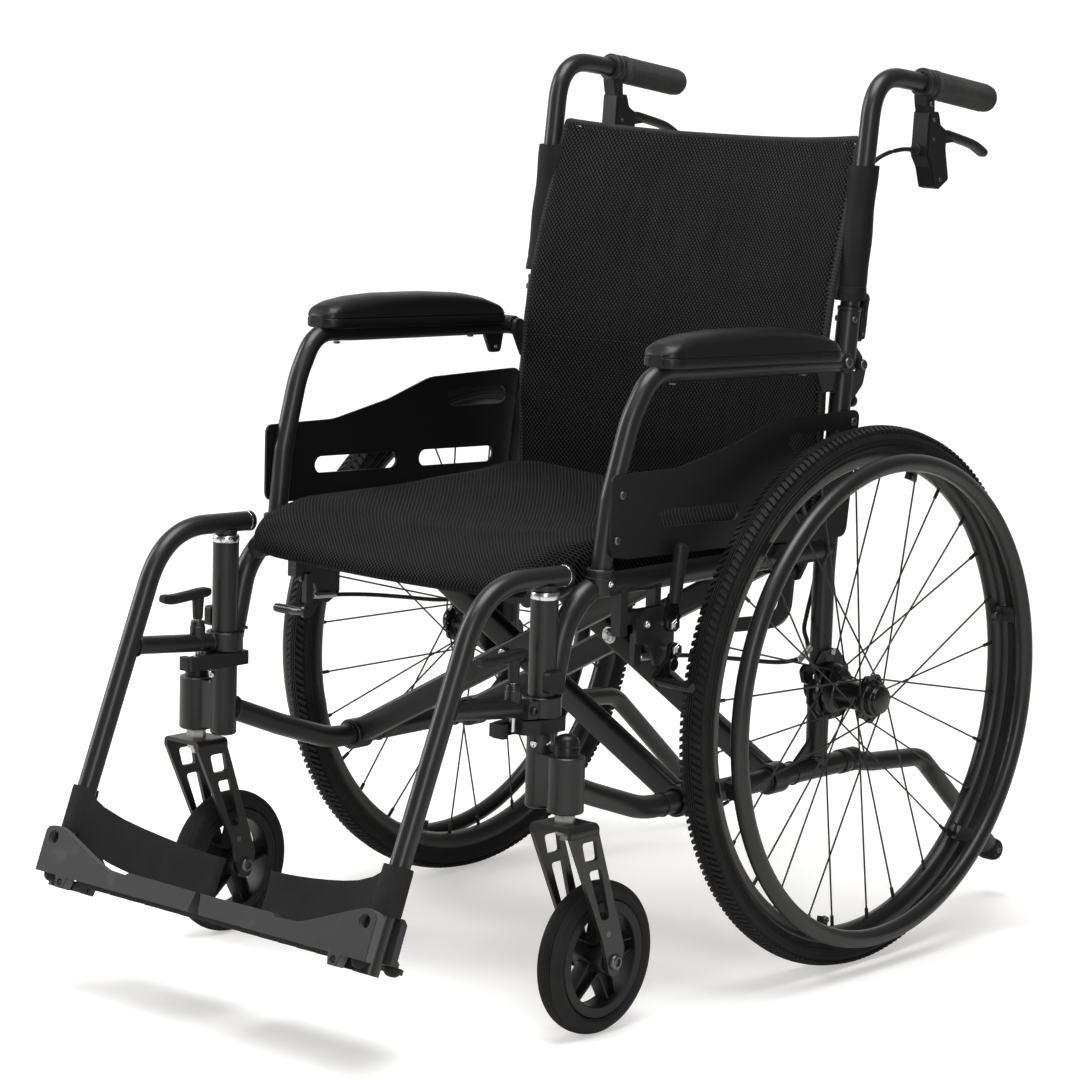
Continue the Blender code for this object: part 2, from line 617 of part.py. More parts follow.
def footplate():
    """Moulded plate with a deep front lip that rises to the outer cheek, a rear cheek and a ribbed sheet."""
    outer, inner = 0.2450, 0.0128
    hinge_x, hinge_n = PLATE_HINGE
    low = hinge_n - 0.0062
    knuckle = ((hinge_x - 0.0090, -0.0004), (hinge_x - 0.0055, low), (hinge_x + 0.0055, low), (hinge_x + 0.0090, 0))
    lip_edge = ((inner + 0.0044, 0), *knuckle, (outer, 0.0006), (outer, 0.0440), (0.2370, 0.0500), (0.2250, 0.0500),
                (0.1500, 0.0210), (0.1030, 0.0190), (inner, 0.0200))
    bore = hole_at(hinge_x, hinge_n, 0.0038, 8)
    lip = plate(lip_edge, 0.0125, plane_of(tilted(0.0070, 0), (1, 0, 0), PLATE_UP), [bore])
    recess = rod(tilted(-0.0080, 0.0380, LEG_X), tilted(-0.0020, 0.0380, LEG_X), 0.0070, 8)
    cheek_edge = ((0.1850, 0.003), *[(x, min(n, 0.003)) for x, n in knuckle], (outer, 0.003), (outer, 0.0450),
                  (0.2380, 0.0500), (0.2240, 0.0500), (0.1850, 0.0140))
    cheek = plate(cheek_edge, 0.0095, plane_of(tilted(0.0425, 0), (1, 0, 0), PLATE_UP), [bore])
    sheet_edge = outline(((inner + 0.0030, 0.0060), (0.1900, 0.0060), (0.1900, 0.0360), (outer - 0.001, 0.0360),
                          (outer - 0.001, 0.0950), (0.2280, 0.1150), (0.0300, 0.1150), (inner + 0.0030, 0.0980)),
                         [0, 0, 0, 0, 0.01, 0.01, 0.012, 0.01])
    sheet = plate(sheet_edge, 0.0052, plane_of(tilted(0, 0.0010), (1, 0, 0), PLATE_BACK))
    rib_floor = plane_of(tilted(0, 0.0050), (1, 0, 0), PLATE_BACK)
    ribs = []
    for k in range(4):
        u = 0.046 + 0.017 * k
        ribs.append(plate(((0.026, u), (0.208, u), (0.208, u + 0.005), (0.026, u + 0.005)), 0.0035, rib_floor))
    bumper = turned(((0, -0.0070), (0.0060, -0.0055), (0.0082, -0.0010), (0.0082, 0.0050)), 8)
    bumper.transform(plane_of(tilted(0.0560, 0, 0.2290), (1, 0, 0), PLATE_BACK))
    return cut(fuse(lip, cheek, sheet, *ribs, bumper), recess)


def heel_strap():
    """A webbing loop round the hanger's leg and across to the plate's inner rear corner."""
    x = LEG_X
    half, thick = 0.0250, 0.0022
    loop = [(0.0156 * math.cos(a), 0.0156 * math.sin(a) - 0.0029) for a in
            [math.radians(d) for d in range(100, -161, -26)]]
    run = [(x + a, LEG_ACROSS + b) for a, b in loop]
    run += [(0.2000, 0.0200), (0.1500, 0.0620), (0.1000, 0.0950), (0.0620, 0.1080), (0.0420, 0.1100)]
    heights = [0.0930] * len(loop) + [0.0850, 0.0640, 0.0480, 0.0390, 0.0370]
    bm = bmesh.new()
    rings = []
    for i, ((px, pu), n) in enumerate(zip(run, heights)):
        a = Vector(run[max(i - 1, 0)])
        b = Vector(run[min(i + 1, len(run) - 1)])
        along = (b - a).normalized()
        out = Vector((along.y, -along.x))
        corners = []
        for w, t in ((-half, -thick / 2), (-half, thick / 2), (half, thick / 2), (half, -thick / 2)):
            corners.append(bm.verts.new(tilted(pu + out.y * t, n + w, px + out.x * t)))
        rings.append(corners)
    for near, far in zip(rings, rings[1:]):
        for k in range(4):
            j = (k + 1) % 4
            bm.faces.new((near[k], near[j], far[j], far[k]))
    bm.faces.new(rings[0])
    bm.faces.new(rings[-1])
    return mesh_from(bm)


# Armrest

def armrest():
    ay, az = ARM_PIVOT
    foot_x = 0.239
    run = [(foot_x, -0.3870, 0.4816), (foot_x + 0.002, -0.3830, 0.5550), (ARM_X - 0.003, -0.3660, 0.6350),
           (ARM_X, -0.3350, 0.6890), (ARM_X, -0.2700, 0.6860), (ARM_X, ay + 0.0080, az)]
    arm = tube(rounded(run, [0, 0, 0.12, 0.045, 0, 0], 2), ARM_TUBE)
    bolts = [rod((0.2400, y, z), (GUARD_X - 0.0004, y, z), 0.0050, 8) for y, z in ((-0.3835, 0.5600), (-0.3868, 0.5130))]
    lug = upright_plate(outline(((-0.0420, 0.6660), (-0.0100, 0.6660), (-0.0140, 0.6440), (-0.0300, 0.6440)), 0.004, 1),
                        ARM_X - 0.002, 0.0040)
    hole = rod((0.23, ay, az), (0.27, ay, az), 0.0042, 8)
    return cut(fuse(arm, *bolts, lug), hole)


def arm_pad():
    """Moulded pad: a straight base band under a crowned, bull-nosed cushion."""
    sections = ((-0.3280, 0.0100, 0.0000), (-0.3240, 0.0180, 0.0095), (-0.3120, 0.0225, 0.0175),
                (-0.2900, 0.0250, 0.0240), (-0.2300, 0.0250, 0.0290), (-0.1400, 0.0250, 0.0295),
                (-0.0800, 0.0250, 0.0255), (-0.0480, 0.0240, 0.0180), (-0.0280, 0.0205, 0.0100),
                (-0.0190, 0.0130, 0.0020))
    centre = ARM_X + 0.0018
    bm = bmesh.new()
    rings = []
    for y, half, crown in sections:
        base = 0.7000 - (y + 0.328) * 0.0400
        band = base + 0.0105
        ring = [(-half + 0.002, base), (-half, base + 0.003), (-half, band), (-half * 0.93, band + crown * 0.45),
                (-half * 0.66, band + crown * 0.85), (0, band + crown + 0.0015), (half * 0.66, band + crown * 0.85),
                (half * 0.93, band + crown * 0.45), (half, band), (half, base + 0.003), (half - 0.002, base)]
        rings.append([bm.verts.new((centre + a, y, b)) for a, b in ring])
    for near, far in zip(rings, rings[1:]):
        for k in range(len(near)):
            j = (k + 1) % len(near)
            bm.faces.new((near[k], near[j], far[j], far[k]))
    bm.faces.new(rings[0])
    bm.faces.new(rings[-1])
    return mesh_from(bm)


def skirt_guard():
    """The side panel under the armrest, a thin plate with three long windows."""
    edge = outline(((-0.3990, 0.5860), (-0.3990, 0.4980), (-0.3700, 0.4930), (-0.2000, 0.4890), (0.0150, 0.4790),
                    (0.0330, 0.6260), (-0.0600, 0.6240), (-0.1300, 0.6230), (-0.2000, 0.6020), (-0.2900, 0.5850)),
                   [0.008, 0.012, 0.03, 0.1, 0.014, 0.012, 0.03, 0.06, 0.10, 0.08], 2)
    windows = [slot_hole((-0.3080, 0.5330), (-0.1980, 0.5290), 0.0095),
               slot_hole((-0.1400, 0.5270), (-0.0300, 0.5230), 0.0095),
               slot_hole((-0.0930, 0.5930), (-0.0120, 0.5910), 0.0105)]
    sheet = upright_plate(edge, GUARD_X, GUARD_THICKNESS, windows)
    heads = [rod((GUARD_X + 0.001, y, z), (GUARD_X + 0.0055, y, z), 0.0045)
             for y, z in ((-0.3835, 0.5600), (-0.3868, 0.5130), (0.0200, 0.6130))]
    return fuse(sheet, *heads)


# Wheel lock

LOCK_PIVOT = (-0.2960, 0.4162)
SHOE_PIVOT = (-0.2910, 0.3890)


def wheel_lock_lever():
    y, z = LOCK_PIVOT
    edge = outline(((y - 0.0080, z - 0.0060), (y + 0.0090, z - 0.0060), (y + 0.0105, z + 0.0180),
                    (y + 0.0060, z + 0.0340), (y - 0.0050, z + 0.0340), (y - 0.0110, z + 0.0160)), 0.005, 2)
    blade = upright_plate(edge, 0.2590, 0.0050, [hole_at(y, z, 0.0047, 8)])
    handle = sweep([(0.2660, y, z + 0.0280), (0.2665, y + 0.0010, z + 0.0500), (0.2670, y + 0.0035, z + 0.0720),
                    (0.2670, y + 0.0065, z + 0.0860)],
                   outline(((-0.0065, -0.0080), (0.0065, -0.0080), (0.0065, 0.0080), (-0.0065, 0.0080)), 0.004, 1))
    return fuse(blade, handle)


def wheel_lock_shoe():
    """Cranked arm whose bar lies across the front of the tyre."""
    y, z = SHOE_PIVOT
    edge = outline(((y + 0.0080, z + 0.0070), (y - 0.0075, z + 0.0070), (y - 0.0090, z - 0.0080),
                    (y - 0.0320, z - 0.0250), (y - 0.0320, z - 0.0370), (y - 0.0200, z - 0.0360),
                    (y + 0.0060, z - 0.0100)), 0.004, 2)
    arm = upright_plate(edge, 0.2590, 0.0045, [hole_at(y, z, 0.0047, 8)])
    bar = rod((0.2600, y - 0.0275, z - 0.0305), (0.3100, y - 0.0275, z - 0.0305), 0.0055, 8)
    return fuse(arm, bar)


def lock_pins():
    """The two bright pivot bolts, carried by the lock's mounting plate."""
    pins = []
    for y, z in (LOCK_PIVOT, SHOE_PIVOT):
        pins.append(turned(((0.0039, 0.2500), (0.0039, 0.2645), (0.0072, 0.2650), (0.0072, 0.2675),
                            (0.0040, 0.2695)), 8, (0, y, z), "X"))
    return pins


# Folding X-brace

def fold_link(side):
    """Curved flat link from the top rail's lug to the brace arm, bowed so that it clears the rail."""
    (ax, az), (bx, bz) = FOLD_LINK_PIVOT, FOLD_LINK_END
    centre_line = rounded([(ax, az, 0), (ax - 0.0040, az - 0.0560, 0), (bx + 0.0420, bz - 0.0260, 0), (bx, bz, 0)],
                          0.030, 3)
    half = 0.0080
    left, right = [], []
    for i, point in enumerate(centre_line):
        back = centre_line[max(i - 1, 0)]
        ahead = centre_line[min(i + 1, len(centre_line) - 1)]
        along = (ahead - back).normalized()
        across = Vector((-along.y, along.x, 0)) * half
        left.append(point + across)
        right.append(point - across)
    edge = [(p.x, p.y) for p in left + right[::-1]]
    y = FOLD_LINK_Y[side] - FOLD_LINK_THICKNESS / 2
    strip = cross_plate(edge, y, FOLD_LINK_THICKNESS)
    eye = turned(((0.0044, 0.0003), (0.0098, 0.0003), (0.0098, FOLD_LINK_THICKNESS - 0.0003),
                  (0.0044, FOLD_LINK_THICKNESS - 0.0003)), 8,
                 (ax, y, az), "Y", True)
    far = turned(((0.0098, 0.0004), (0.0098, FOLD_LINK_THICKNESS - 0.0004)), 8, (bx, y, bz), "Y")
    bolt_y = (y + FOLD_LINK_THICKNESS, y + FOLD_LINK_THICKNESS + 0.004) if side == 1 else (y - 0.004, y)
    head = rod((bx, bolt_y[0] - 0.001, bz), (bx, bolt_y[1] + 0.001, bz), 0.0058, 6)
    spacer_y = (y - 0.0052, y + 0.001) if side == 1 else (y + FOLD_LINK_THICKNESS - 0.001, y + FOLD_LINK_THICKNESS + 0.0060)
    spacer = rod((bx, spacer_y[0], bz), (bx, spacer_y[1], bz), 0.0070, 8)
    shank = rod((ax, y - 0.01, az), (ax, y + 0.02, az), 0.0044, 8)
    return fuse(cut(strip, shank), eye, far, head, spacer)


def brace_line(side):
    """Where a brace's arm starts, its direction and its length, for the brace that rises to this side."""
    start = Vector((-side * LOWER_PIVOT[0], 0, LOWER_PIVOT[1]))
    centre = Vector((CENTRE_PIVOT[0], 0, CENTRE_PIVOT[1]))
    along = (centre - start).normalized()
    return start, along, (Vector((side * SEAT_RAIL[0], 0, SEAT_RAIL[1])) - start).dot(along)


def seat_rail_run(side, longer=0.0):
    """The seat rail's centre line, which dips at the front so that the leg rest can swing over it."""
    rx, rz = SEAT_RAIL
    return rounded(((side * rx, -0.4600 - longer, rz - 0.0150), (side * rx, -0.4200, rz - 0.0130),
                    (side * rx, -0.3700, rz), (side * rx, -0.0150 + longer, rz)), [0, 0.05, 0.05, 0], 2)


def brace(side, arm_ys, pin_side):
    """Two arms from the lower rail's sleeves to a seat rail. Side 1 rises to the occupant's left."""
    cz = CENTRE_PIVOT[1]
    start, along, reach = brace_line(side)
    profile = outline(((-BRACE_THICKNESS / 2, -BRACE_DEPTH / 2), (BRACE_THICKNESS / 2, -BRACE_DEPTH / 2),
                       (BRACE_THICKNESS / 2, BRACE_DEPTH / 2), (-BRACE_THICKNESS / 2, BRACE_DEPTH / 2)), 0.006, 1)
    neck = ((-0.0080, -0.0050), (0.0080, -0.0050), (0.0080, 0.0050), (-0.0080, 0.0050))
    shapes = [tube(seat_rail_run(side), ARM_TUBE)]
    cutters = []
    for k, y in enumerate(arm_ys):
        offset = Vector((0, y, 0))
        shapes.append(sweep([start + offset + along * 0.010, start + offset + along * (reach - 0.012)], profile, (0, 1, 0)))
        above = Vector((-side * along.z, 0, abs(along.x)))
        shapes.append(sweep([start + offset + along * (reach - 0.040) + above * 0.0070,
                             start + offset + along * (reach - 0.002) + above * 0.0120], neck, (0, 1, 0)))
        shapes.append(rod(start + offset - Vector((0, 0.0125, 0)), start + offset + Vector((0, 0.0125, 0)), 0.0178, 8))
        cutters.append(rod(start + offset - Vector((0, 0.02, 0)), start + offset + Vector((0, 0.02, 0)), 0.0141, 8))
        centre = Vector((0, y, cz))
        if pin_side:
            toward = 1 if k == 0 else -1
            inner = centre + Vector((0, toward * 0.005, 0))
            outer = centre + Vector((0, toward * 0.0335, 0))
            shapes.append(rod(inner, outer, 0.0040, 8))
            shapes.append(rod(centre + Vector((0, toward * 0.0300, 0)), outer, 0.0085, 8))
            head = centre - Vector((0, toward * 0.0125, 0))
            shapes.append(rod(head, centre, 0.0075, 6))
        else:
            cutters.append(rod(centre - Vector((0, 0.02, 0)), centre + Vector((0, 0.02, 0)), 0.0048, 8))
    return cut(fuse(*shapes), *cutters)


# Upholstery

def skin(rings):
    """A closed body through rings of points that hold the same number each."""
    bm = bmesh.new()
    made = [[bm.verts.new(p) for p in ring] for ring in rings]
    for near, far in zip(made, made[1:]):
        for k in range(len(near)):
            j = (k + 1) % len(near)
            bm.faces.new((near[k], near[j], far[j], far[k]))
    bm.faces.new(made[0])
    bm.faces.new(made[-1])
    return mesh_from(bm)


def seat():
    """Padded seat between the rails: its sides fold over them and its front edge rolls down."""
    rx, rz = SEAT_RAIL
    half = rx + 0.0165
    rows = ((-0.4740, -0.0080, -0.0120), (-0.4700, 0.0060, -0.0180), (-0.4520, 0.0180, -0.0180),
            (-0.4200, 0.0240, -0.0160), (-0.2400, 0.0255, -0.0130), (-0.0600, 0.0250, -0.0120),
            (-0.0300, 0.0220, -0.0110), (-0.0210, 0.0140, -0.0060))
    across = ((-1.0, 0.009, 0.0), (-0.965, 0.002, 0.0), (-0.84, 0.001, 0.0), (-0.5, 0.001, 0.9), (0.0, 0.005, 1.0))
    across += tuple((-t, top, low) for t, top, low in across[3::-1])
    rings = []
    for y, top, low in rows:
        upper = [(t * half, y, rz + top - fall * (0.3 if top < 0 else 1)) for t, fall, _ in across]
        lower = [(t * half, y, rz + min(low * depth - 0.002 * (1 - depth), top - 0.004)) for t, _, depth in across]
        rings.append(upper + lower[::-1])
    cutters = []
    for side, arm_ys in ((-1, BRACE_A_Y), (1, BRACE_B_Y)):
        cutters.append(tube(seat_rail_run(side, 0.02), ARM_TUBE + 0.0006, 10))
        start, along, reach = brace_line(side)
        half_t, half_d = BRACE_THICKNESS / 2 + 0.001, BRACE_DEPTH / 2 + 0.001
        profile = ((-half_t, -half_d), (half_t, -half_d), (half_t, half_d), (-half_t, half_d))
        for y in arm_ys:
            offset = start + Vector((0, y, 0))
            cutters.append(sweep([offset + along * reach * 0.6, offset + along * (reach - 0.003)], profile, (0, 1, 0)))
    return cut(skin(rings), *cutters)


def backrest():
    """Padded back between the canes, with the two sleeves that slide over them."""
    tops = 0.9120
    rows = ((0.4980, 0.1960), (0.5400, 0.1980), (0.6200, 0.1985), (0.7200, 0.1985), (0.8200, 0.2000),
            (0.8900, 0.2050), (tops, 0.2090))
    bm = bmesh.new()
    rings = []
    for z, half in rows:
        lean = cane_y(z) - 0.004
        ring = []
        for t in (-1.0, -0.93, -0.6, -0.2, 0.2, 0.6, 0.93, 1.0):
            sag = 0.034 * (1 - t * t) * (1 if z > 0.6 else 0.9)
            ring.append((t * half, lean - 0.010 + sag))
        for t in (1.0, 0.93, 0.6, 0.2, -0.2, -0.6, -0.93, -1.0):
            sag = 0.034 * (1 - t * t) * (1 if z > 0.6 else 0.9)
            thick = 0.018 if abs(t) < 0.95 else 0.008
            ring.append((t * half, lean - 0.010 + thick + sag))
        rings.append([bm.verts.new((x, y, z)) for x, y in ring])
    for near, far in zip(rings, rings[1:]):
        for k in range(len(near)):
            j = (k + 1) % len(near)
            bm.faces.new((near[k], near[j], far[j], far[k]))
    bm.faces.new(rings[0])
    bm.faces.new(rings[-1])
    panel = mesh_from(bm)
    sleeves, bores = [], []
    for side in (1, -1):
        low, high = (side * CANE_X, cane_y(0.7440), 0.7440), (side * CANE_X, cane_y(0.8900), 0.8900)
        sleeves.append(rod(low, high, 0.0168, 12))
        flap = block((-0.0215, -0.0050, 0), (0.0215, 0.0050, 0.1400))
        shear = Matrix.Identity(4)
        shear[1][2] = math.tan(RECLINE)
        flap.transform(Matrix.Translation((side * (CANE_X - 0.0230), cane_y(0.7460) - 0.0060, 0.7460)) @ shear)
        sleeves.append(flap)
        bores.append(rod((side * CANE_X, cane_y(0.70), 0.70), (side * CANE_X, cane_y(0.93), 0.93), ARM_TUBE + 0.0012, 12))
    return cut(fuse(panel, *sleeves), *bores)


# Push handles and back joint

def cane():
    """The handle tube above the back joint, with its collar and rear knuckle."""
    low = REAR_POST_TOP + 0.0006
    corner_z = 1.0085
    run = rounded(((CANE_X, cane_y(low), low), (CANE_X, cane_y(corner_z), corner_z),
                   (CANE_X, GRIP_START[0], GRIP_START[1]), (CANE_X, GRIP_END[0] - 0.012, GRIP_END[1] + 0.003)),
                  [0, 0.068, 0.0, 0], 3)
    pipe = tube(run, ARM_TUBE)
    collar = rod((CANE_X, cane_y(low), low), (CANE_X, cane_y(0.7350), 0.7350), 0.0130, 12)
    by, bz = BACK_PIVOT
    tongue = upright_plate(outline(((cane_y(0.675) + 0.006, 0.6680), (by + 0.002, bz - 0.0075), (by + 0.0085, bz),
                                    (by + 0.004, bz + 0.012), (cane_y(0.69) + 0.011, 0.6910),
                                    (cane_y(0.69) + 0.006, 0.6920)), 0.002, 1), CANE_X - 0.0056, 0.0112)
    lever_lug = upright_plate(outline(((0.0400, 0.6950), (0.0600, 0.6930), (0.0640, 0.7010), (0.0560, 0.7120),
                                       (0.0420, 0.7200)), 0.003, 2), CANE_X - 0.0020, 0.0040, [hole_at(*BACK_LEVER_PIVOT, 0.0033, 8)])
    screw = rod((CANE_X, cane_y(0.72), 0.72), (CANE_X + 0.0140, cane_y(0.72), 0.72), 0.0036, 8)
    whole = fuse(pipe, collar, tongue, lever_lug, screw)
    bore = rod((0.20, by, bz), (0.26, by, bz), 0.0044, 8)
    post_end = rod((CANE_X, cane_y(0.64), 0.64), (CANE_X, cane_y(low), low), 0.0134, 12)
    return cut(whole, bore, post_end)


def grip():
    """Rubber grip, a sleeve closed at its end, with a flange at the collar."""
    start = Vector((CANE_X, GRIP_START[0] + 0.003, GRIP_START[1] - 0.0008))
    end = Vector((CANE_X, *GRIP_END))
    along = (end - start).normalized()
    length = (end - start).length + 0.0040
    profile = [(0.0114, 0), (0.0168, 0.0008), (0.0170, 0.0080), (0.0163, 0.0130), (0.0163, length - 0.0060),
               (0.0120, length), (0, length + 0.0005)]
    body = turned(profile, 12)
    bore = rod((0, 0, -0.01), (0, 0, length - 0.0040), ARM_TUBE + 0.0008, 12)
    made = cut(body, bore)
    made.transform(Matrix.Translation(start) @ along.to_track_quat("Z", "Y").to_matrix().to_4x4())
    return made


LEVER_PIVOT = (0.1700, 0.9180)


def brake_housing():
    """Clamp round the handle tube, an arm down from it, and the chamfered cable housing."""
    run_y, run_z = GRIP_START
    along = Vector((0, GRIP_END[0] - run_y, GRIP_END[1] - run_z)).normalized()
    middle = Vector((CANE_X, run_y, run_z)) - along * 0.0100
    clamp = rod(middle - along * 0.0075, middle + along * 0.0085, 0.0165, 12)
    neck = block((CANE_X - 0.0080, 0.1430, 0.9300), (CANE_X + 0.0080, 0.1680, 0.9700), 0.0015)
    body_edge = outline(((0.1400, 0.9420), (0.1660, 0.9420), (0.1780, 0.9240), (0.1720, 0.9000), (0.1790, 0.8720),
                         (0.1580, 0.8620), (0.1460, 0.8640), (0.1400, 0.8880), (0.1330, 0.9000), (0.1350, 0.9160)),
                        0.003)
    body = upright_plate(body_edge, CANE_X - 0.0105, 0.0210)
    barrel = rod((CANE_X, 0.1400, 0.9020), (CANE_X, 0.1240, 0.9035), 0.0052, 10)
    screw = rod((CANE_X + 0.006, 0.1570, 0.9560), (CANE_X + 0.012, 0.1570, 0.9560), 0.0040, 8)
    whole = fuse(clamp, neck, body, barrel, screw)
    bore = rod(middle - along * 0.03, middle + along * 0.03, ARM_TUBE + 0.0008, 12)
    py, pz = LEVER_PIVOT
    mouth = block((CANE_X - 0.0062, py - 0.0050, pz - 0.0110), (CANE_X + 0.0062, py + 0.0200, pz + 0.0110))
    pin = rod((CANE_X - 0.009, py + 0.002, pz), (CANE_X + 0.009, py + 0.002, pz), 0.0026, 8)
    return fuse(cut(whole, bore, mouth), pin)


def brake_lever():
    py, pz = LEVER_PIVOT
    root = outline(((py - 0.0030, pz - 0.0060), (py + 0.0080, pz - 0.0070), (py + 0.0300, pz - 0.0060),
                    (py + 0.0300, pz + 0.0050), (py + 0.0080, pz + 0.0080), (py - 0.0030, pz + 0.0060)), 0.003, 2)
    blade = upright_plate(root, CANE_X - 0.0050, 0.0100, [hole_at(py + 0.002, pz, 0.0033, 8)])
    cover = sweep([(CANE_X, py + 0.0220, pz - 0.0005), (CANE_X, py + 0.0500, pz - 0.0030),
                   (CANE_X, py + 0.0850, pz - 0.0120), (CANE_X, py + 0.1040, pz - 0.0220)],
                  outline(((-0.0068, -0.0058), (0.0068, -0.0058), (0.0068, 0.0058), (-0.0068, 0.0058)), 0.004, 1))
    return fuse(blade, cover)


def back_fold_lever():
    """Forked paddle behind the cane that releases the back joint."""
    py, pz = BACK_LEVER_PIVOT
    cheek = ((py - 0.0050, pz - 0.0060), (py + 0.0050, pz - 0.0060), (py + 0.0080, pz + 0.0160),
             (py + 0.0100, pz + 0.0400), (py + 0.0010, pz + 0.0400), (py - 0.0040, pz + 0.0200))
    cheeks = [upright_plate(cheek, CANE_X + dx, 0.0030) for dx in (-0.0060, 0.0030)]
    paddle = sweep([(CANE_X, py + 0.0035, pz + 0.0200), (CANE_X, py + 0.0070, pz + 0.0360),
                    (CANE_X, py + 0.0100, pz + 0.0480)],
                   ((-0.0085, -0.0028), (0.0085, -0.0028), (0.0085, 0.0028), (-0.0085, 0.0028)))
    pin = rod((CANE_X - 0.0070, py, pz), (CANE_X + 0.0070, py, pz), 0.0026)
    return fuse(cheeks[0], paddle, cheeks[1], pin)


def smooth_run(points, step):
    """Evenly spaced points on a smooth curve through the given ones."""
    points = [Vector(p) for p in points]
    padded = [points[0] * 2 - points[1], *points, points[-1] * 2 - points[-2]]
    fine = []
    for a, b, c, d in zip(padded, padded[1:], padded[2:], padded[3:]):
        for k in range(12):
            t = k / 12
            fine.append(0.5 * (2 * b + (c - a) * t + (2 * a - 5 * b + 4 * c - d) * t * t
                               + (3 * b - 3 * c + d - a) * t ** 3))
    fine.append(points[-1])
    kept = [fine[0]]
    for point in fine[1:]:
        if (point - kept[-1]).length >= step:
            kept.append(point)
    kept[-1] = fine[-1]
    return kept


HAND_CABLE = ((0.2310, 0.1230, 0.9036), (0.2290, 0.1130, 0.9043), (0.2230, 0.0980, 0.9010), (0.2150, 0.0860, 0.8880),
              (0.2120, 0.0760, 0.8600), (0.2115, 0.0640, 0.8000), (0.2110, 0.0560, 0.7300), (0.2110, 0.0480, 0.6600),
              (0.2130, 0.0350, 0.5800), (0.2140, 0.0240, 0.5000), (0.2150, 0.0160, 0.4300), (0.2180, 0.0000, 0.3900),
              (0.2280, -0.0180, 0.3740), (0.2440, -0.0330, 0.3640), (0.2530, -0.0430, 0.3580))
LOCK_CABLE = ((0.2540, -0.0620, 0.3450), (0.2540, -0.1000, 0.3500), (0.2500, -0.1700, 0.3620),
              (0.2440, -0.2300, 0.3720), (0.2425, -0.2800, 0.3780), (0.2425, -0.3250, 0.3815))
CABLE_RADIUS = 0.0025


def brake_cable():
    """The hand brake's cable and the wheel lock's cable, which meet in the drum brake's clamp."""
    hand = tube(smooth_run(HAND_CABLE, 0.034), CABLE_RADIUS, 4, (0.25, 0.9, 0.2))
    lock = tube(smooth_run(LOCK_CABLE, 0.060), CABLE_RADIUS, 4, (0.1, 0.1, 1))
    clamp = rod((0.2540, -0.0400, 0.3595), (0.2540, -0.0640, 0.3445), 0.0036, 6)
    ferrule = rod((0.2425, -0.2960, 0.3786), (0.2425, -0.3200, 0.3808), 0.0036, 6)
    return fuse(hand, clamp, lock, ferrule)


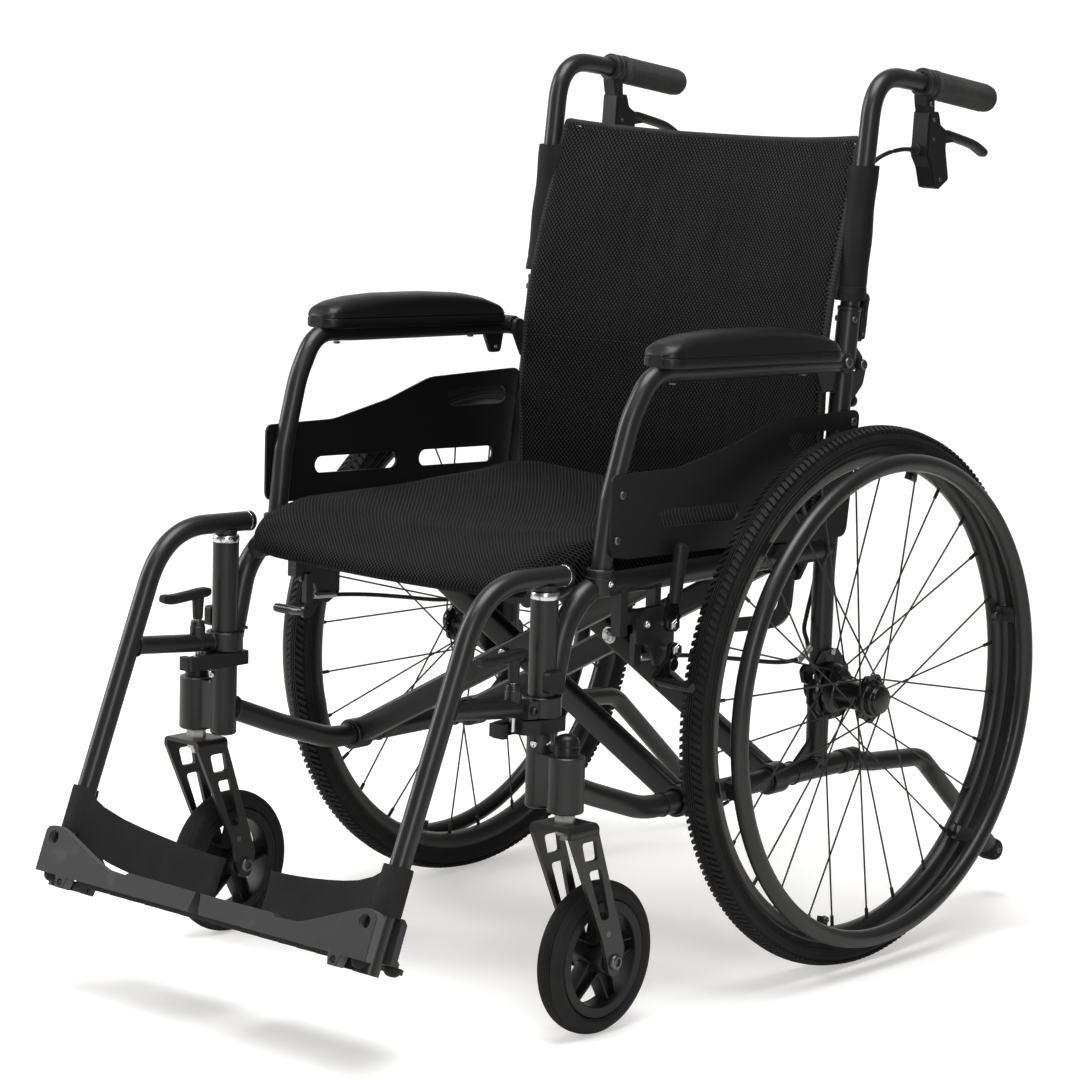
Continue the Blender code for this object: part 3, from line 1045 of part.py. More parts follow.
def build():
    clear_scene()
    global chair
    chair = bpy.data.objects.new("chair", None)
    chair.location = (0, AXLE_Y, 0)
    bpy.context.scene.collection.objects.link(chair)

    frame_paint = material("frame_paint", (0.022, 0.022, 0.024), 0.42, 0.3)
    black_plastic = material("black_plastic", (0.030, 0.030, 0.032), 0.55)
    grey_plastic = material("grey_plastic", (0.085, 0.088, 0.095), 0.5)
    rubber = material("rubber", (0.035, 0.035, 0.037), 0.75)
    gloss_black = material("gloss_black", (0.015, 0.015, 0.016), 0.25, 0.2)
    mesh_fabric = material("mesh_fabric", (0.018, 0.018, 0.020), 0.9)
    webbing = material("webbing", (0.020, 0.020, 0.021), 0.85)

    post = (FRAME_X, FRONT_POST_Y, FRONT_POST_Z[0])
    both_sides("front_post", front_post(), post, frame_paint)
    for side, word in ((1, "left"), (-1, "right")):
        rail = fuse(top_rail(side), *lock_pins())
        node(word + "_top_rail", rail, (FRAME_X, REAR_POST_Y, TOP_RAIL_Z), frame_paint, side)
    both_sides("rear_post", rear_post(), (FRAME_X, REAR_POST_Y, REAR_WHEEL_RADIUS), frame_paint)
    both_sides("lower_rail", lower_rail(), (FRAME_X, 0, LOWER_RAIL_Z), frame_paint)
    both_sides("anti_tipper", anti_tipper(), (FRAME_X, 0.0615, LOWER_RAIL_Z), frame_paint)

    axle = (REAR_WHEEL_X, 0, REAR_WHEEL_RADIUS)
    both_sides("tyre", tyre(), axle, rubber)
    both_sides("wheel", wheel(), axle, gloss_black)
    both_sides("handrim", handrim(), axle, frame_paint)
    both_sides("hub_brake", hub_brake(), axle, gloss_black)

    stem = (*CASTER_STEM, 0.2335)
    caster_axle = (CASTER_STEM[0], CASTER_STEM[1] + CASTER_TRAIL, CASTER_RADIUS)
    both_sides("caster_fork", caster_fork(), stem, frame_paint)
    both_sides("caster_wheel", caster_wheel(), caster_axle, black_plastic)
    both_sides("caster_tyre", caster_tyre(), caster_axle, rubber)

    both_sides("hanger", hanger(), (FRAME_X, FRONT_POST_Y, 0.3480), frame_paint)
    both_sides("latch_handle", latch_handle(), (0.2335, LATCH_Y, 0.4065), black_plastic)
    hinge = tilted(LEG_ACROSS, PLATE_HINGE[1], PLATE_HINGE[0])
    both_sides("footplate", footplate(), hinge, grey_plastic)
    both_sides("heel_strap", heel_strap(), hinge, webbing)

    arm_hinge = (ARM_X, *ARM_PIVOT)
    both_sides("armrest", armrest(), arm_hinge, frame_paint)
    both_sides("arm_pad", arm_pad(), arm_hinge, black_plastic)
    both_sides("skirt_guard", skirt_guard(), arm_hinge, black_plastic)

    both_sides("wheel_lock_lever", wheel_lock_lever(), (0.2615, *LOCK_PIVOT), gloss_black)
    both_sides("wheel_lock_shoe", wheel_lock_shoe(), (0.2612, *SHOE_PIVOT), gloss_black)

    for side, word in ((1, "left"), (-1, "right")):
        node(word + "_fold_link", fold_link(side), (FOLD_LINK_PIVOT[0], 0, FOLD_LINK_PIVOT[1]), frame_paint, side)
    node("brace_a", brace(-1, BRACE_A_Y, False), (LOWER_PIVOT[0], 0, LOWER_PIVOT[1]), frame_paint)
    node("brace_b", brace(1, BRACE_B_Y, True), (CENTRE_PIVOT[0], 0, CENTRE_PIVOT[1]), frame_paint)

    node("seat", seat(), (0, 0, SEAT_RAIL[1]), mesh_fabric)
    node("backrest", backrest(), (0, 0, BACK_PIVOT[1]), mesh_fabric)

    back_joint = (CANE_X, *BACK_PIVOT)
    both_sides("cane", cane(), back_joint, frame_paint)
    both_sides("grip", grip(), (CANE_X, *GRIP_START), rubber)
    both_sides("brake_housing", brake_housing(), (CANE_X, *LEVER_PIVOT), black_plastic)
    both_sides("brake_lever", brake_lever(), (CANE_X, *LEVER_PIVOT), black_plastic)
    both_sides("back_fold_lever", back_fold_lever(), (CANE_X, *BACK_LEVER_PIVOT), black_plastic)
    both_sides("brake_cable", brake_cable(), (0.2115, 0.05, 0.70), rubber)


build()
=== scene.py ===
# %% [markdown]
# A folding wheelchair, dressed for a close look. The moving frame comes ready made, as plain solids in
# metres: X is the occupant's left, Y points back and Z up, with the floor at zero. Each cell below makes one
# piece of the real chair around that frame, says how such a piece is made in the workshop, and then builds
# it the same way.

# %% The frame and the tools
import json
import math

import bmesh
import bpy
import numpy as np
from mathutils import Matrix, Vector
from mathutils.geometry import tessellate_polygon
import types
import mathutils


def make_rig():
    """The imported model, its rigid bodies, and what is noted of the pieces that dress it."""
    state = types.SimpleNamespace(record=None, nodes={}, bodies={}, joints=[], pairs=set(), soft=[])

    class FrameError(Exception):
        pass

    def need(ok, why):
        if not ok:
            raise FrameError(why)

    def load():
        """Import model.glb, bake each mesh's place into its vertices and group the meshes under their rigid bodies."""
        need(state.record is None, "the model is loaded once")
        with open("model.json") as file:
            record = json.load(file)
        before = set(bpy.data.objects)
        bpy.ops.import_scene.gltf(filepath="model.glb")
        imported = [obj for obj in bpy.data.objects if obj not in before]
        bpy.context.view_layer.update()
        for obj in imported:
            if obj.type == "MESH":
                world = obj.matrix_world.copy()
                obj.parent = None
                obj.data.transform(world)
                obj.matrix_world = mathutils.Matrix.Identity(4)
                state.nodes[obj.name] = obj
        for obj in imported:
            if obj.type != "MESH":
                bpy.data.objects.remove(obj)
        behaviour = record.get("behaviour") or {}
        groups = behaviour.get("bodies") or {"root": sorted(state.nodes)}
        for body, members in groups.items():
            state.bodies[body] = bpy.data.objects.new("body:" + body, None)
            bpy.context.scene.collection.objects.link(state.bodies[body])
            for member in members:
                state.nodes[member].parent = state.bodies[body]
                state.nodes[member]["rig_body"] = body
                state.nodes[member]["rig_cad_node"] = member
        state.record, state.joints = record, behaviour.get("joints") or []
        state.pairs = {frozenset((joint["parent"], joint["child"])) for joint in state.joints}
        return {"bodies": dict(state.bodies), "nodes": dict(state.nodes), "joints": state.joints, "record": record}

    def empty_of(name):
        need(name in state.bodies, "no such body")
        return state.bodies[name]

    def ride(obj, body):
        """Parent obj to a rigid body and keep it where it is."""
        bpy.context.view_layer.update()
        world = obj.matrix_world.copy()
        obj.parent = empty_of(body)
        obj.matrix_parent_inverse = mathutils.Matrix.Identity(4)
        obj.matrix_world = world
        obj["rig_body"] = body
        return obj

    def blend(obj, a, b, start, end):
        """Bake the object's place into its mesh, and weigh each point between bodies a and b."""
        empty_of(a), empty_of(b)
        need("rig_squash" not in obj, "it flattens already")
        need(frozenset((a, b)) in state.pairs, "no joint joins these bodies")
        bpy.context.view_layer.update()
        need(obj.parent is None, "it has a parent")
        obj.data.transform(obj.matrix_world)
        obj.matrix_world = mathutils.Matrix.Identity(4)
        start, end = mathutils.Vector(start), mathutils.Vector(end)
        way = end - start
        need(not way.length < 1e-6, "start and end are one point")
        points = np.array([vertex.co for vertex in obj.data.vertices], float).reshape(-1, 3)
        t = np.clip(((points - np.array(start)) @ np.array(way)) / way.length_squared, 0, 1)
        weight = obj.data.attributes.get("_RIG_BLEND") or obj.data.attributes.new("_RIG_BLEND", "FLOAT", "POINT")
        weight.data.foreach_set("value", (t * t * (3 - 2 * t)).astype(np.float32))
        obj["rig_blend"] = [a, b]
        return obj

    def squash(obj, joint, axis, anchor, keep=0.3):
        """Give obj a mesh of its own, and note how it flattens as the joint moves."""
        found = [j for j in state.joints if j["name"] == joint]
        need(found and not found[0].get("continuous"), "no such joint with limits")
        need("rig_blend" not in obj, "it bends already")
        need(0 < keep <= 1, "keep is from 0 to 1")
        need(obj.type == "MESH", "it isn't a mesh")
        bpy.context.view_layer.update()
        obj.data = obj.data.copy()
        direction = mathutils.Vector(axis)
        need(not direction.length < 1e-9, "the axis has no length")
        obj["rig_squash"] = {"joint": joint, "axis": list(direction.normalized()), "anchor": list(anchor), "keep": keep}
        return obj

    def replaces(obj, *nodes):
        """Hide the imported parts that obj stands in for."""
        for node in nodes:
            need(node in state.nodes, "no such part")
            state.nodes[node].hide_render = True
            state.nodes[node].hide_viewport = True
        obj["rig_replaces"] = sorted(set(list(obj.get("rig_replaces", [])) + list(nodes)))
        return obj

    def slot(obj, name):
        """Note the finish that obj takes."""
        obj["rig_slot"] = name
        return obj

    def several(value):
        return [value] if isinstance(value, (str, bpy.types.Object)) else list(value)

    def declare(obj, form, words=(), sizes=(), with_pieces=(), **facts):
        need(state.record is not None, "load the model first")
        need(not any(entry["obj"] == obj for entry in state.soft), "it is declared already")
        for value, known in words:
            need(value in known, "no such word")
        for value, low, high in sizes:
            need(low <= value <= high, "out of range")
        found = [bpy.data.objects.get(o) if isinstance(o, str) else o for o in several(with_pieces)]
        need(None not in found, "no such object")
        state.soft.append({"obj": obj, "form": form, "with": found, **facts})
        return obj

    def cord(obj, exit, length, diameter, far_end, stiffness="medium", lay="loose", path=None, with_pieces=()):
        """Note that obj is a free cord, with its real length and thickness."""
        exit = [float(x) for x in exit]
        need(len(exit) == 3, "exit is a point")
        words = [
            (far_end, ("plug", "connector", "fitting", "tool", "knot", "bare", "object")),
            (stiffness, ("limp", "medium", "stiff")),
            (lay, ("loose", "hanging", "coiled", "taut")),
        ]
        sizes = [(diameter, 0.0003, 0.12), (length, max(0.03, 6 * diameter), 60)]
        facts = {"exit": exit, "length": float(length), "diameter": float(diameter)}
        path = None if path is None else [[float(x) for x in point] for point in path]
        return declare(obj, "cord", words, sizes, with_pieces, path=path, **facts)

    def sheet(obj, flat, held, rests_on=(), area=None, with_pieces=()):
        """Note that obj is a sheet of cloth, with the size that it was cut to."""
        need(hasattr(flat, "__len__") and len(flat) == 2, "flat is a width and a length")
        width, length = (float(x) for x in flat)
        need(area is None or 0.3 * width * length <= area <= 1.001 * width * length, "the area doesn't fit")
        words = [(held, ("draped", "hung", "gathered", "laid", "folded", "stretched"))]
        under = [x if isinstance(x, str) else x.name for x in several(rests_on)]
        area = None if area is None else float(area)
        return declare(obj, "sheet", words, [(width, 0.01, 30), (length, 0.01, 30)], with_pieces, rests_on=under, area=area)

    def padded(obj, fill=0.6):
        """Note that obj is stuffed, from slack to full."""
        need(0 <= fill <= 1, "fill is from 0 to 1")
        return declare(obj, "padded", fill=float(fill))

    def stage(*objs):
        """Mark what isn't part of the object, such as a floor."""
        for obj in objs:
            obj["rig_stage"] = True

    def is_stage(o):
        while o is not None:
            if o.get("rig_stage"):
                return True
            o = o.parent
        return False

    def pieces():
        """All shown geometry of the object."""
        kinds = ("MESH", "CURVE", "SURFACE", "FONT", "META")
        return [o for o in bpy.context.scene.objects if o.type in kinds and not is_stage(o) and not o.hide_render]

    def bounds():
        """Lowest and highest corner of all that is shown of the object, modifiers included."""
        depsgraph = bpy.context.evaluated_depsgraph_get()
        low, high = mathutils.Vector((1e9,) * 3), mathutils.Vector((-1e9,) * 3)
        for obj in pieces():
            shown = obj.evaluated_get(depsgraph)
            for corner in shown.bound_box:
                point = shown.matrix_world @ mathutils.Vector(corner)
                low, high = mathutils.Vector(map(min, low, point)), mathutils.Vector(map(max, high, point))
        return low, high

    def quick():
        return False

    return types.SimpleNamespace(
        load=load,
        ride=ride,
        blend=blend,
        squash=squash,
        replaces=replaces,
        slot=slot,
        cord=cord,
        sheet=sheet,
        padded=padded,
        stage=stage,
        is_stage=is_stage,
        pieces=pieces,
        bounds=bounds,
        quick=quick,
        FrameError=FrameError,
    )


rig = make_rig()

for startup in list(bpy.data.objects):
    bpy.data.objects.remove(startup)
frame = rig.load()
cad_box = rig.bounds()
print("frame box:", [[round(v, 3) for v in corner] for corner in cad_box])

# %% [markdown]
# Every measure below was taken from the rear axle, as a wheelchair maker does. AXLE_Y carries them into the
# frame, whose origin is the middle of the chair's footprint. The left side is drawn, and the right is its
# mirror image, because the real side frames are made in pairs too.

# %% Main measures
AXLE_Y = 0.1800
SIDES = (("left", 1), ("right", -1))
FRAME_X = 0.235
FRAME_TUBE = 0.0125
POST_TUBE = 0.0145
ARM_TUBE = 0.0110
LEG_LEAN = math.radians(20.8)
LEG_ACROSS = 0.0205
LEG_X = 0.231
PLATE_FRONT = (-0.729, 0.128)
WHEEL_AT = Vector((0.2951, 0.0, 0.305))
CASTER_AT = Vector((0.2745, -0.420, 0.0813))
RECLINE = math.radians(6.4)
print("wheels", 2 * WHEEL_AT.x, "m apart, axle", WHEEL_AT.z, "m up")

# %% [markdown]
# The camera stands where the photographer stood: about four metres off and one metre above the floor, with a
# long lens, turned slightly on its side. Its numbers were solved from the rear wheel's ellipse and from
# points that show on both sides of the chair, so lengths in the photograph can be read on the model.

# %% Camera
AZIMUTH, ELEVATION, ROLL = (math.radians(a) for a in (41.19, 8.87, 1.68))
TARGET = Vector((-0.1887, AXLE_Y, 0.4251))
DISTANCE = 4.2481
back = Vector((math.sin(AZIMUTH) * math.cos(ELEVATION), -math.cos(AZIMUTH) * math.cos(ELEVATION),
               math.sin(ELEVATION)))
right = (-back).cross(Vector((0, 0, 1))).normalized()
up = right.cross(-back)
turned_right = right * math.cos(ROLL) + up * math.sin(ROLL)
turned_up = up * math.cos(ROLL) - right * math.sin(ROLL)
camera = bpy.data.objects.new("camera", bpy.data.cameras.new("camera"))
bpy.context.scene.collection.objects.link(camera)
camera.matrix_world = Matrix((
    (turned_right.x, turned_up.x, back.x, TARGET.x + back.x * DISTANCE),
    (turned_right.y, turned_up.y, back.y, TARGET.y + back.y * DISTANCE),
    (turned_right.z, turned_up.z, back.z, TARGET.z + back.z * DISTANCE),
    (0, 0, 0, 1)))
PICTURE, SENSOR = 1080, 36
FOCAL, MIDDLE = 3544.1, (537.5, 536.2)
camera.data.lens = FOCAL / PICTURE * SENSOR
camera.data.sensor_width = SENSOR
camera.data.shift_x = (PICTURE / 2 - MIDDLE[0]) / PICTURE
camera.data.shift_y = (MIDDLE[1] - PICTURE / 2) / PICTURE
camera.data.clip_start, camera.data.clip_end = 0.1, 60
bpy.context.scene.camera = camera
bpy.context.scene.view_settings.view_transform = "Standard"
print("camera at", [round(v, 3) for v in camera.matrix_world.translation], "lens",
      round(camera.data.lens, 1), "mm")

# %% [markdown]
# Shader maths reads best as ordinary Python. Wire wraps one output socket, and each operator on it adds the
# Math node that does the sum. Every other node comes from the node method of the material's Finish, which
# sets the node's own settings first and then the values or wires of its sockets.

# %% Wires
class Wire:
    def __init__(self, finish, socket):
        self.finish = finish
        self.socket = socket

    def maths(self, operation, *others):
        return self.finish.node("ShaderNodeMath", {"operation": operation}, dict(enumerate((self, *others))))

    def __add__(self, other):
        return self.maths("ADD", other)

    def __sub__(self, other):
        return self.maths("SUBTRACT", other)

    def __rsub__(self, other):
        return self.finish.node("ShaderNodeMath", {"operation": "SUBTRACT"}, {0: other, 1: self})

    def __mul__(self, other):
        return self.maths("MULTIPLY", other)

    def __truediv__(self, other):
        return self.maths("DIVIDE", other)

    def __gt__(self, other):
        return self.maths("GREATER_THAN", other)

    def __abs__(self):
        return self.maths("ABSOLUTE")

    def wave(self):
        return self.maths("SINE")

    def least(self, other):
        return self.maths("MINIMUM", other)

    def folded(self, other):
        return self.maths("PINGPONG", other)

    def between(self, low, high):
        """0 below low, 1 above high, and smooth in between."""
        return self.finish.node("ShaderNodeMapRange", {"interpolation_type": "SMOOTHSTEP"},
                                {"Value": self, "From Min": low, "From Max": high})

    __radd__ = __add__
    __rmul__ = __mul__

# %% [markdown]
# A finish is what a workshop puts on a surface: paint, plating, a moulded grain, a weave. Finish keeps the
# nodes of one such material together. Its grain and cells are noise measured to the metre, so that a pore or
# a thread keeps its true size on every piece.

# %% Finishes
class Finish:
    """One material, whose nodes are added by Python expressions."""

    def __init__(self, name):
        self.material = bpy.data.materials.new(name)
        self.material.use_nodes = True
        self.tree = self.material.node_tree
        self.tree.nodes.clear()

    def node(self, kind, settings=None, values=None, output=0):
        made = self.tree.nodes.new(kind)
        for key, value in (settings or {}).items():
            if key == "stops":
                ramp = made.color_ramp
                while len(ramp.elements) < len(value):
                    ramp.elements.new(0.5)
                for element, (place, colour) in zip(ramp.elements, value):
                    element.position, element.color = place, colour
            else:
                setattr(made, key, value)
        for key, value in (values or {}).items():
            if isinstance(value, Wire):
                self.tree.links.new(value.socket, made.inputs[key])
            else:
                made.inputs[key].default_value = value
        return Wire(self, made.outputs[output]) if made.outputs else None

    def place(self):
        """The point on the piece, in metres, as one vector wire."""
        return self.node("ShaderNodeTexCoord", output="Object")

    def axes(self, place=None):
        """The three parts of a vector wire."""
        split = self.node("ShaderNodeSeparateXYZ", values={0: place or self.place()})
        return [Wire(self, socket) for socket in split.socket.node.outputs]

    def grain(self, scale, detail=2.0, roughness=0.5, place=None):
        """Fractal noise with about scale bumps to the metre."""
        return self.node("ShaderNodeTexNoise", values={"Vector": place or self.place(), "Scale": scale,
                                                       "Detail": detail, "Roughness": roughness})

    def cells(self, scale, feature="F1", place=None, randomness=1.0):
        return self.node("ShaderNodeTexVoronoi", {"feature": feature},
                         {"Vector": place or self.place(), "Scale": scale, "Randomness": randomness})

    def blend(self, share, first, second):
        """A colour between first and second."""
        return self.node("ShaderNodeMix", {"data_type": "RGBA"}, {0: share, 6: first, 7: second}, 2)

    def bump(self, height, distance, strength=1.0, normal=None):
        values = {"Height": height, "Distance": distance, "Strength": strength}
        if normal:
            values["Normal"] = normal
        return self.node("ShaderNodeBump", values=values)

    def surface(self, **sockets):
        """Ends the material in a Principled surface. Underscores in the names stand for spaces."""
        named = {key.replace("_", " "): value for key, value in sockets.items()}
        shader = self.node("ShaderNodeBsdfPrincipled", values=named)
        self.node("ShaderNodeOutputMaterial", values={"Surface": shader})
        print(f"{self.material.name}: {len(self.tree.nodes)} nodes")
        return self.material


def grey(value, alpha=1.0):
    return (value, value, value, alpha)


def colour(red, green, blue):
    return (red, green, blue, 1.0)

# %% [markdown]
# A black chair is lit like a product on a white sweep. The floor curves up behind it without a corner, two
# broad soft lamps draw long highlights down the tubes, and a third lifts the far side. The world stays pale
# but dim, so that the black parts keep their depth. The sweep's wall stands 2.8 metres behind the chair, so
# a camera that goes further off behind it sees only the wall.

# %% Floor and lamps
floor_finish = Finish("studio_floor")
light_path = floor_finish.node("ShaderNodeLightPath")
seen = Wire(floor_finish, light_path.socket.node.outputs["Is Camera Ray"])
mirrored = Wire(floor_finish, light_path.socket.node.outputs["Is Glossy Ray"])
floor_surface = floor_finish.node("ShaderNodeBsdfDiffuse", values={"Color": colour(0.80, 0.79, 0.775)})
floor_glow = floor_finish.node("ShaderNodeEmission", values={"Color": colour(1.0, 0.985, 0.965),
                                                             "Strength": seen * 0.42 + mirrored * 0.05})
floor_sum = floor_finish.node("ShaderNodeAddShader", values={0: floor_surface, 1: floor_glow})
floor_finish.node("ShaderNodeOutputMaterial", values={"Surface": floor_sum})

sweep_mesh = bpy.data.meshes.new("studio_floor")
into_view = Vector((-math.sin(AZIMUTH), math.cos(AZIMUTH), 0))
aside = Vector((into_view.y, -into_view.x, 0))
bend, wall_from = 0.9, 1.9
profile = [(-9.0, 0.0)] + [(wall_from + bend * math.sin(a), bend * (1 - math.cos(a)))
                           for a in np.linspace(0, math.pi / 2, 24)] + [(wall_from + bend, 6.0)]
ground = Vector((TARGET.x, TARGET.y, 0))
rows = [(ground + into_view * reach + aside * s + Vector((0, 0, rise))) for reach, rise in profile
        for s in (-9, 9)]
sweep_mesh.from_pydata([tuple(p) for p in rows], [],
                       [(2 * k, 2 * k + 1, 2 * k + 3, 2 * k + 2) for k in range(len(profile) - 1)])
sweep_mesh.shade_smooth()
sweep_mesh.materials.append(floor_finish.material)
studio_floor = bpy.data.objects.new("studio_floor", sweep_mesh)
bpy.context.scene.collection.objects.link(studio_floor)
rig.stage(studio_floor)


def lamp(name, place, aim, size, power):
    """A broad soft lamp that faces its aim."""
    light = bpy.data.lights.new(name, "AREA")
    light.shape, light.size, light.size_y = "RECTANGLE", size[0], size[1]
    light.energy = power
    made = bpy.data.objects.new(name, light)
    made.location = place
    made.rotation_mode = "QUATERNION"
    made.rotation_quaternion = (Vector(aim) - Vector(place)).to_track_quat("-Z", "Y")
    bpy.context.scene.collection.objects.link(made)


lamp("lamp_overhead", (0.3, -0.6, 3.4), (0, 0, 0.4), (2.2, 2.2), 120)
lamp("lamp_left", (-3.0, -1.6, 1.9), (0, 0, 0.5), (1.0, 2.4), 70)
lamp("lamp_front", (2.6, -2.6, 1.7), (0, 0, 0.5), (0.9, 2.2), 40)

world = bpy.data.worlds.new("studio_air")
world.use_nodes = True
bpy.context.scene.world = world
world_nodes = world.node_tree.nodes
world_nodes.clear()
air = world_nodes.new("ShaderNodeBackground")
air.inputs["Color"].default_value = (1, 1, 1, 1)
air_path = world_nodes.new("ShaderNodeLightPath")
air_strength = world_nodes.new("ShaderNodeMapRange")
air_strength.inputs["To Min"].default_value = 0.13
air_strength.inputs["To Max"].default_value = 0.97
world.node_tree.links.new(air_path.outputs["Is Camera Ray"], air_strength.inputs["Value"])
world.node_tree.links.new(air_strength.outputs[0], air.inputs["Strength"])
world.node_tree.links.new(air.outputs[0], world_nodes.new("ShaderNodeOutputWorld").inputs["Surface"])
print("lamps:", [light.name for light in bpy.data.lights], "floor:", len(sweep_mesh.polygons), "faces")

# %% [markdown]
# Most of a wheelchair is bent tube, turned metal, flat plate and moulded pieces, so four ways of making a
# mesh cover it. A tube follows a line with rounded bends. A turned piece spins a profile about an axis. A
# plate is an outline with holes, given a thickness. A skin joins a row of closed rings. Shape collects such
# bodies in one mesh, with a finish for each, and a Bevel modifier then softens the hard edges as a deburring
# wheel would.

# %% Lines and outlines
def arc_points(points, radius, steps=6, closed=False):
    """The same line with each corner rounded. The radius may be one number or one for each point."""
    points = [Vector(p) for p in points]
    radii = list(radius) if isinstance(radius, (list, tuple)) else [radius] * len(points)
    made = []
    for i, point in enumerate(points):
        inside = closed or 0 < i < len(points) - 1
        before, after = points[i - 1], points[(i + 1) % len(points)]
        if not inside or radii[i] <= 0:
            made.append(point)
            continue
        into, out = (before - point), (after - point)
        half = into.angle(out) / 2
        if half > math.pi / 2 - 0.01:
            made.append(point)
            continue
        reach = min(radii[i] / math.tan(half), 0.49 * into.length, 0.49 * out.length)
        near, far = point + into.normalized() * reach, point + out.normalized() * reach
        for k in range(steps + 1):
            t = k / steps
            made.append(near * (1 - t) ** 2 + point * 2 * t * (1 - t) + far * t ** 2)
    return made


def flat_line(points, radius=0.0, steps=5):
    """A closed outline of (x, y) pairs with rounded corners."""
    if not radius:
        return [tuple(p[:2]) for p in points]
    return [(p.x, p.y) for p in arc_points([(x, y, 0) for x, y in points], radius, steps, True)]


def ring_line(radius, sides, centre=(0, 0), start=0.0):
    return [(centre[0] + radius * math.cos(start + 2 * math.pi * k / sides),
             centre[1] + radius * math.sin(start + 2 * math.pi * k / sides)) for k in range(sides)]


def slot_line(start, end, radius, steps=6):
    """A round-ended slot from start to end."""
    (ax, ay), (bx, by) = start, end
    lean = math.atan2(by - ay, bx - ax)
    made = []
    for (x, y), turn in ((end, lean - math.pi / 2), (start, lean + math.pi / 2)):
        made += [(x + radius * math.cos(turn + math.pi * k / steps),
                  y + radius * math.sin(turn + math.pi * k / steps))
                 for k in range(steps + 1)]
    return made


def smooth_line(points, count):
    """A Catmull-Rom curve through the points, with count even steps along it."""
    p = [Vector(q) for q in points]
    p = [p[0] * 2 - p[1]] + p + [p[-1] * 2 - p[-2]]
    fine = []
    for a, b, c, d in zip(p, p[1:], p[2:], p[3:]):
        for k in range(12):
            t = k / 12
            fine.append(0.5 * ((2 * b) + (c - a) * t + (2 * a - 5 * b + 4 * c - d) * t ** 2
                               + (3 * b - a - 3 * c + d) * t ** 3))
    fine.append(p[-2])
    lengths = [0.0]
    for a, b in zip(fine, fine[1:]):
        lengths.append(lengths[-1] + (b - a).length)
    made = []
    for k in range(count + 1):
        want = lengths[-1] * k / count
        i = min(max(int(np.searchsorted(lengths, want)), 1), len(fine) - 1)
        share = (want - lengths[i - 1]) / max(lengths[i] - lengths[i - 1], 1e-9)
        made.append(fine[i - 1].lerp(fine[i], min(max(share, 0), 1)))
    return made


def plane_at(origin, first, second):
    """The matrix whose X and Y run along first and second from the origin."""
    x = Vector(first).normalized()
    z = x.cross(Vector(second)).normalized()
    y = z.cross(x)
    return Matrix.Translation(Vector(origin)) @ Matrix((x, y, z)).transposed().to_4x4()


# %% [markdown]
# A Shape gathers points and faces until a whole piece is there. Each method stands for one way of making
# things: skin lofts through rings, turned is the lathe, rod and tube are bars along a line, plate cuts a
# sheet with its holes, and screw sets a headed fastener on a face. Its mark says which finish the next faces
# get.

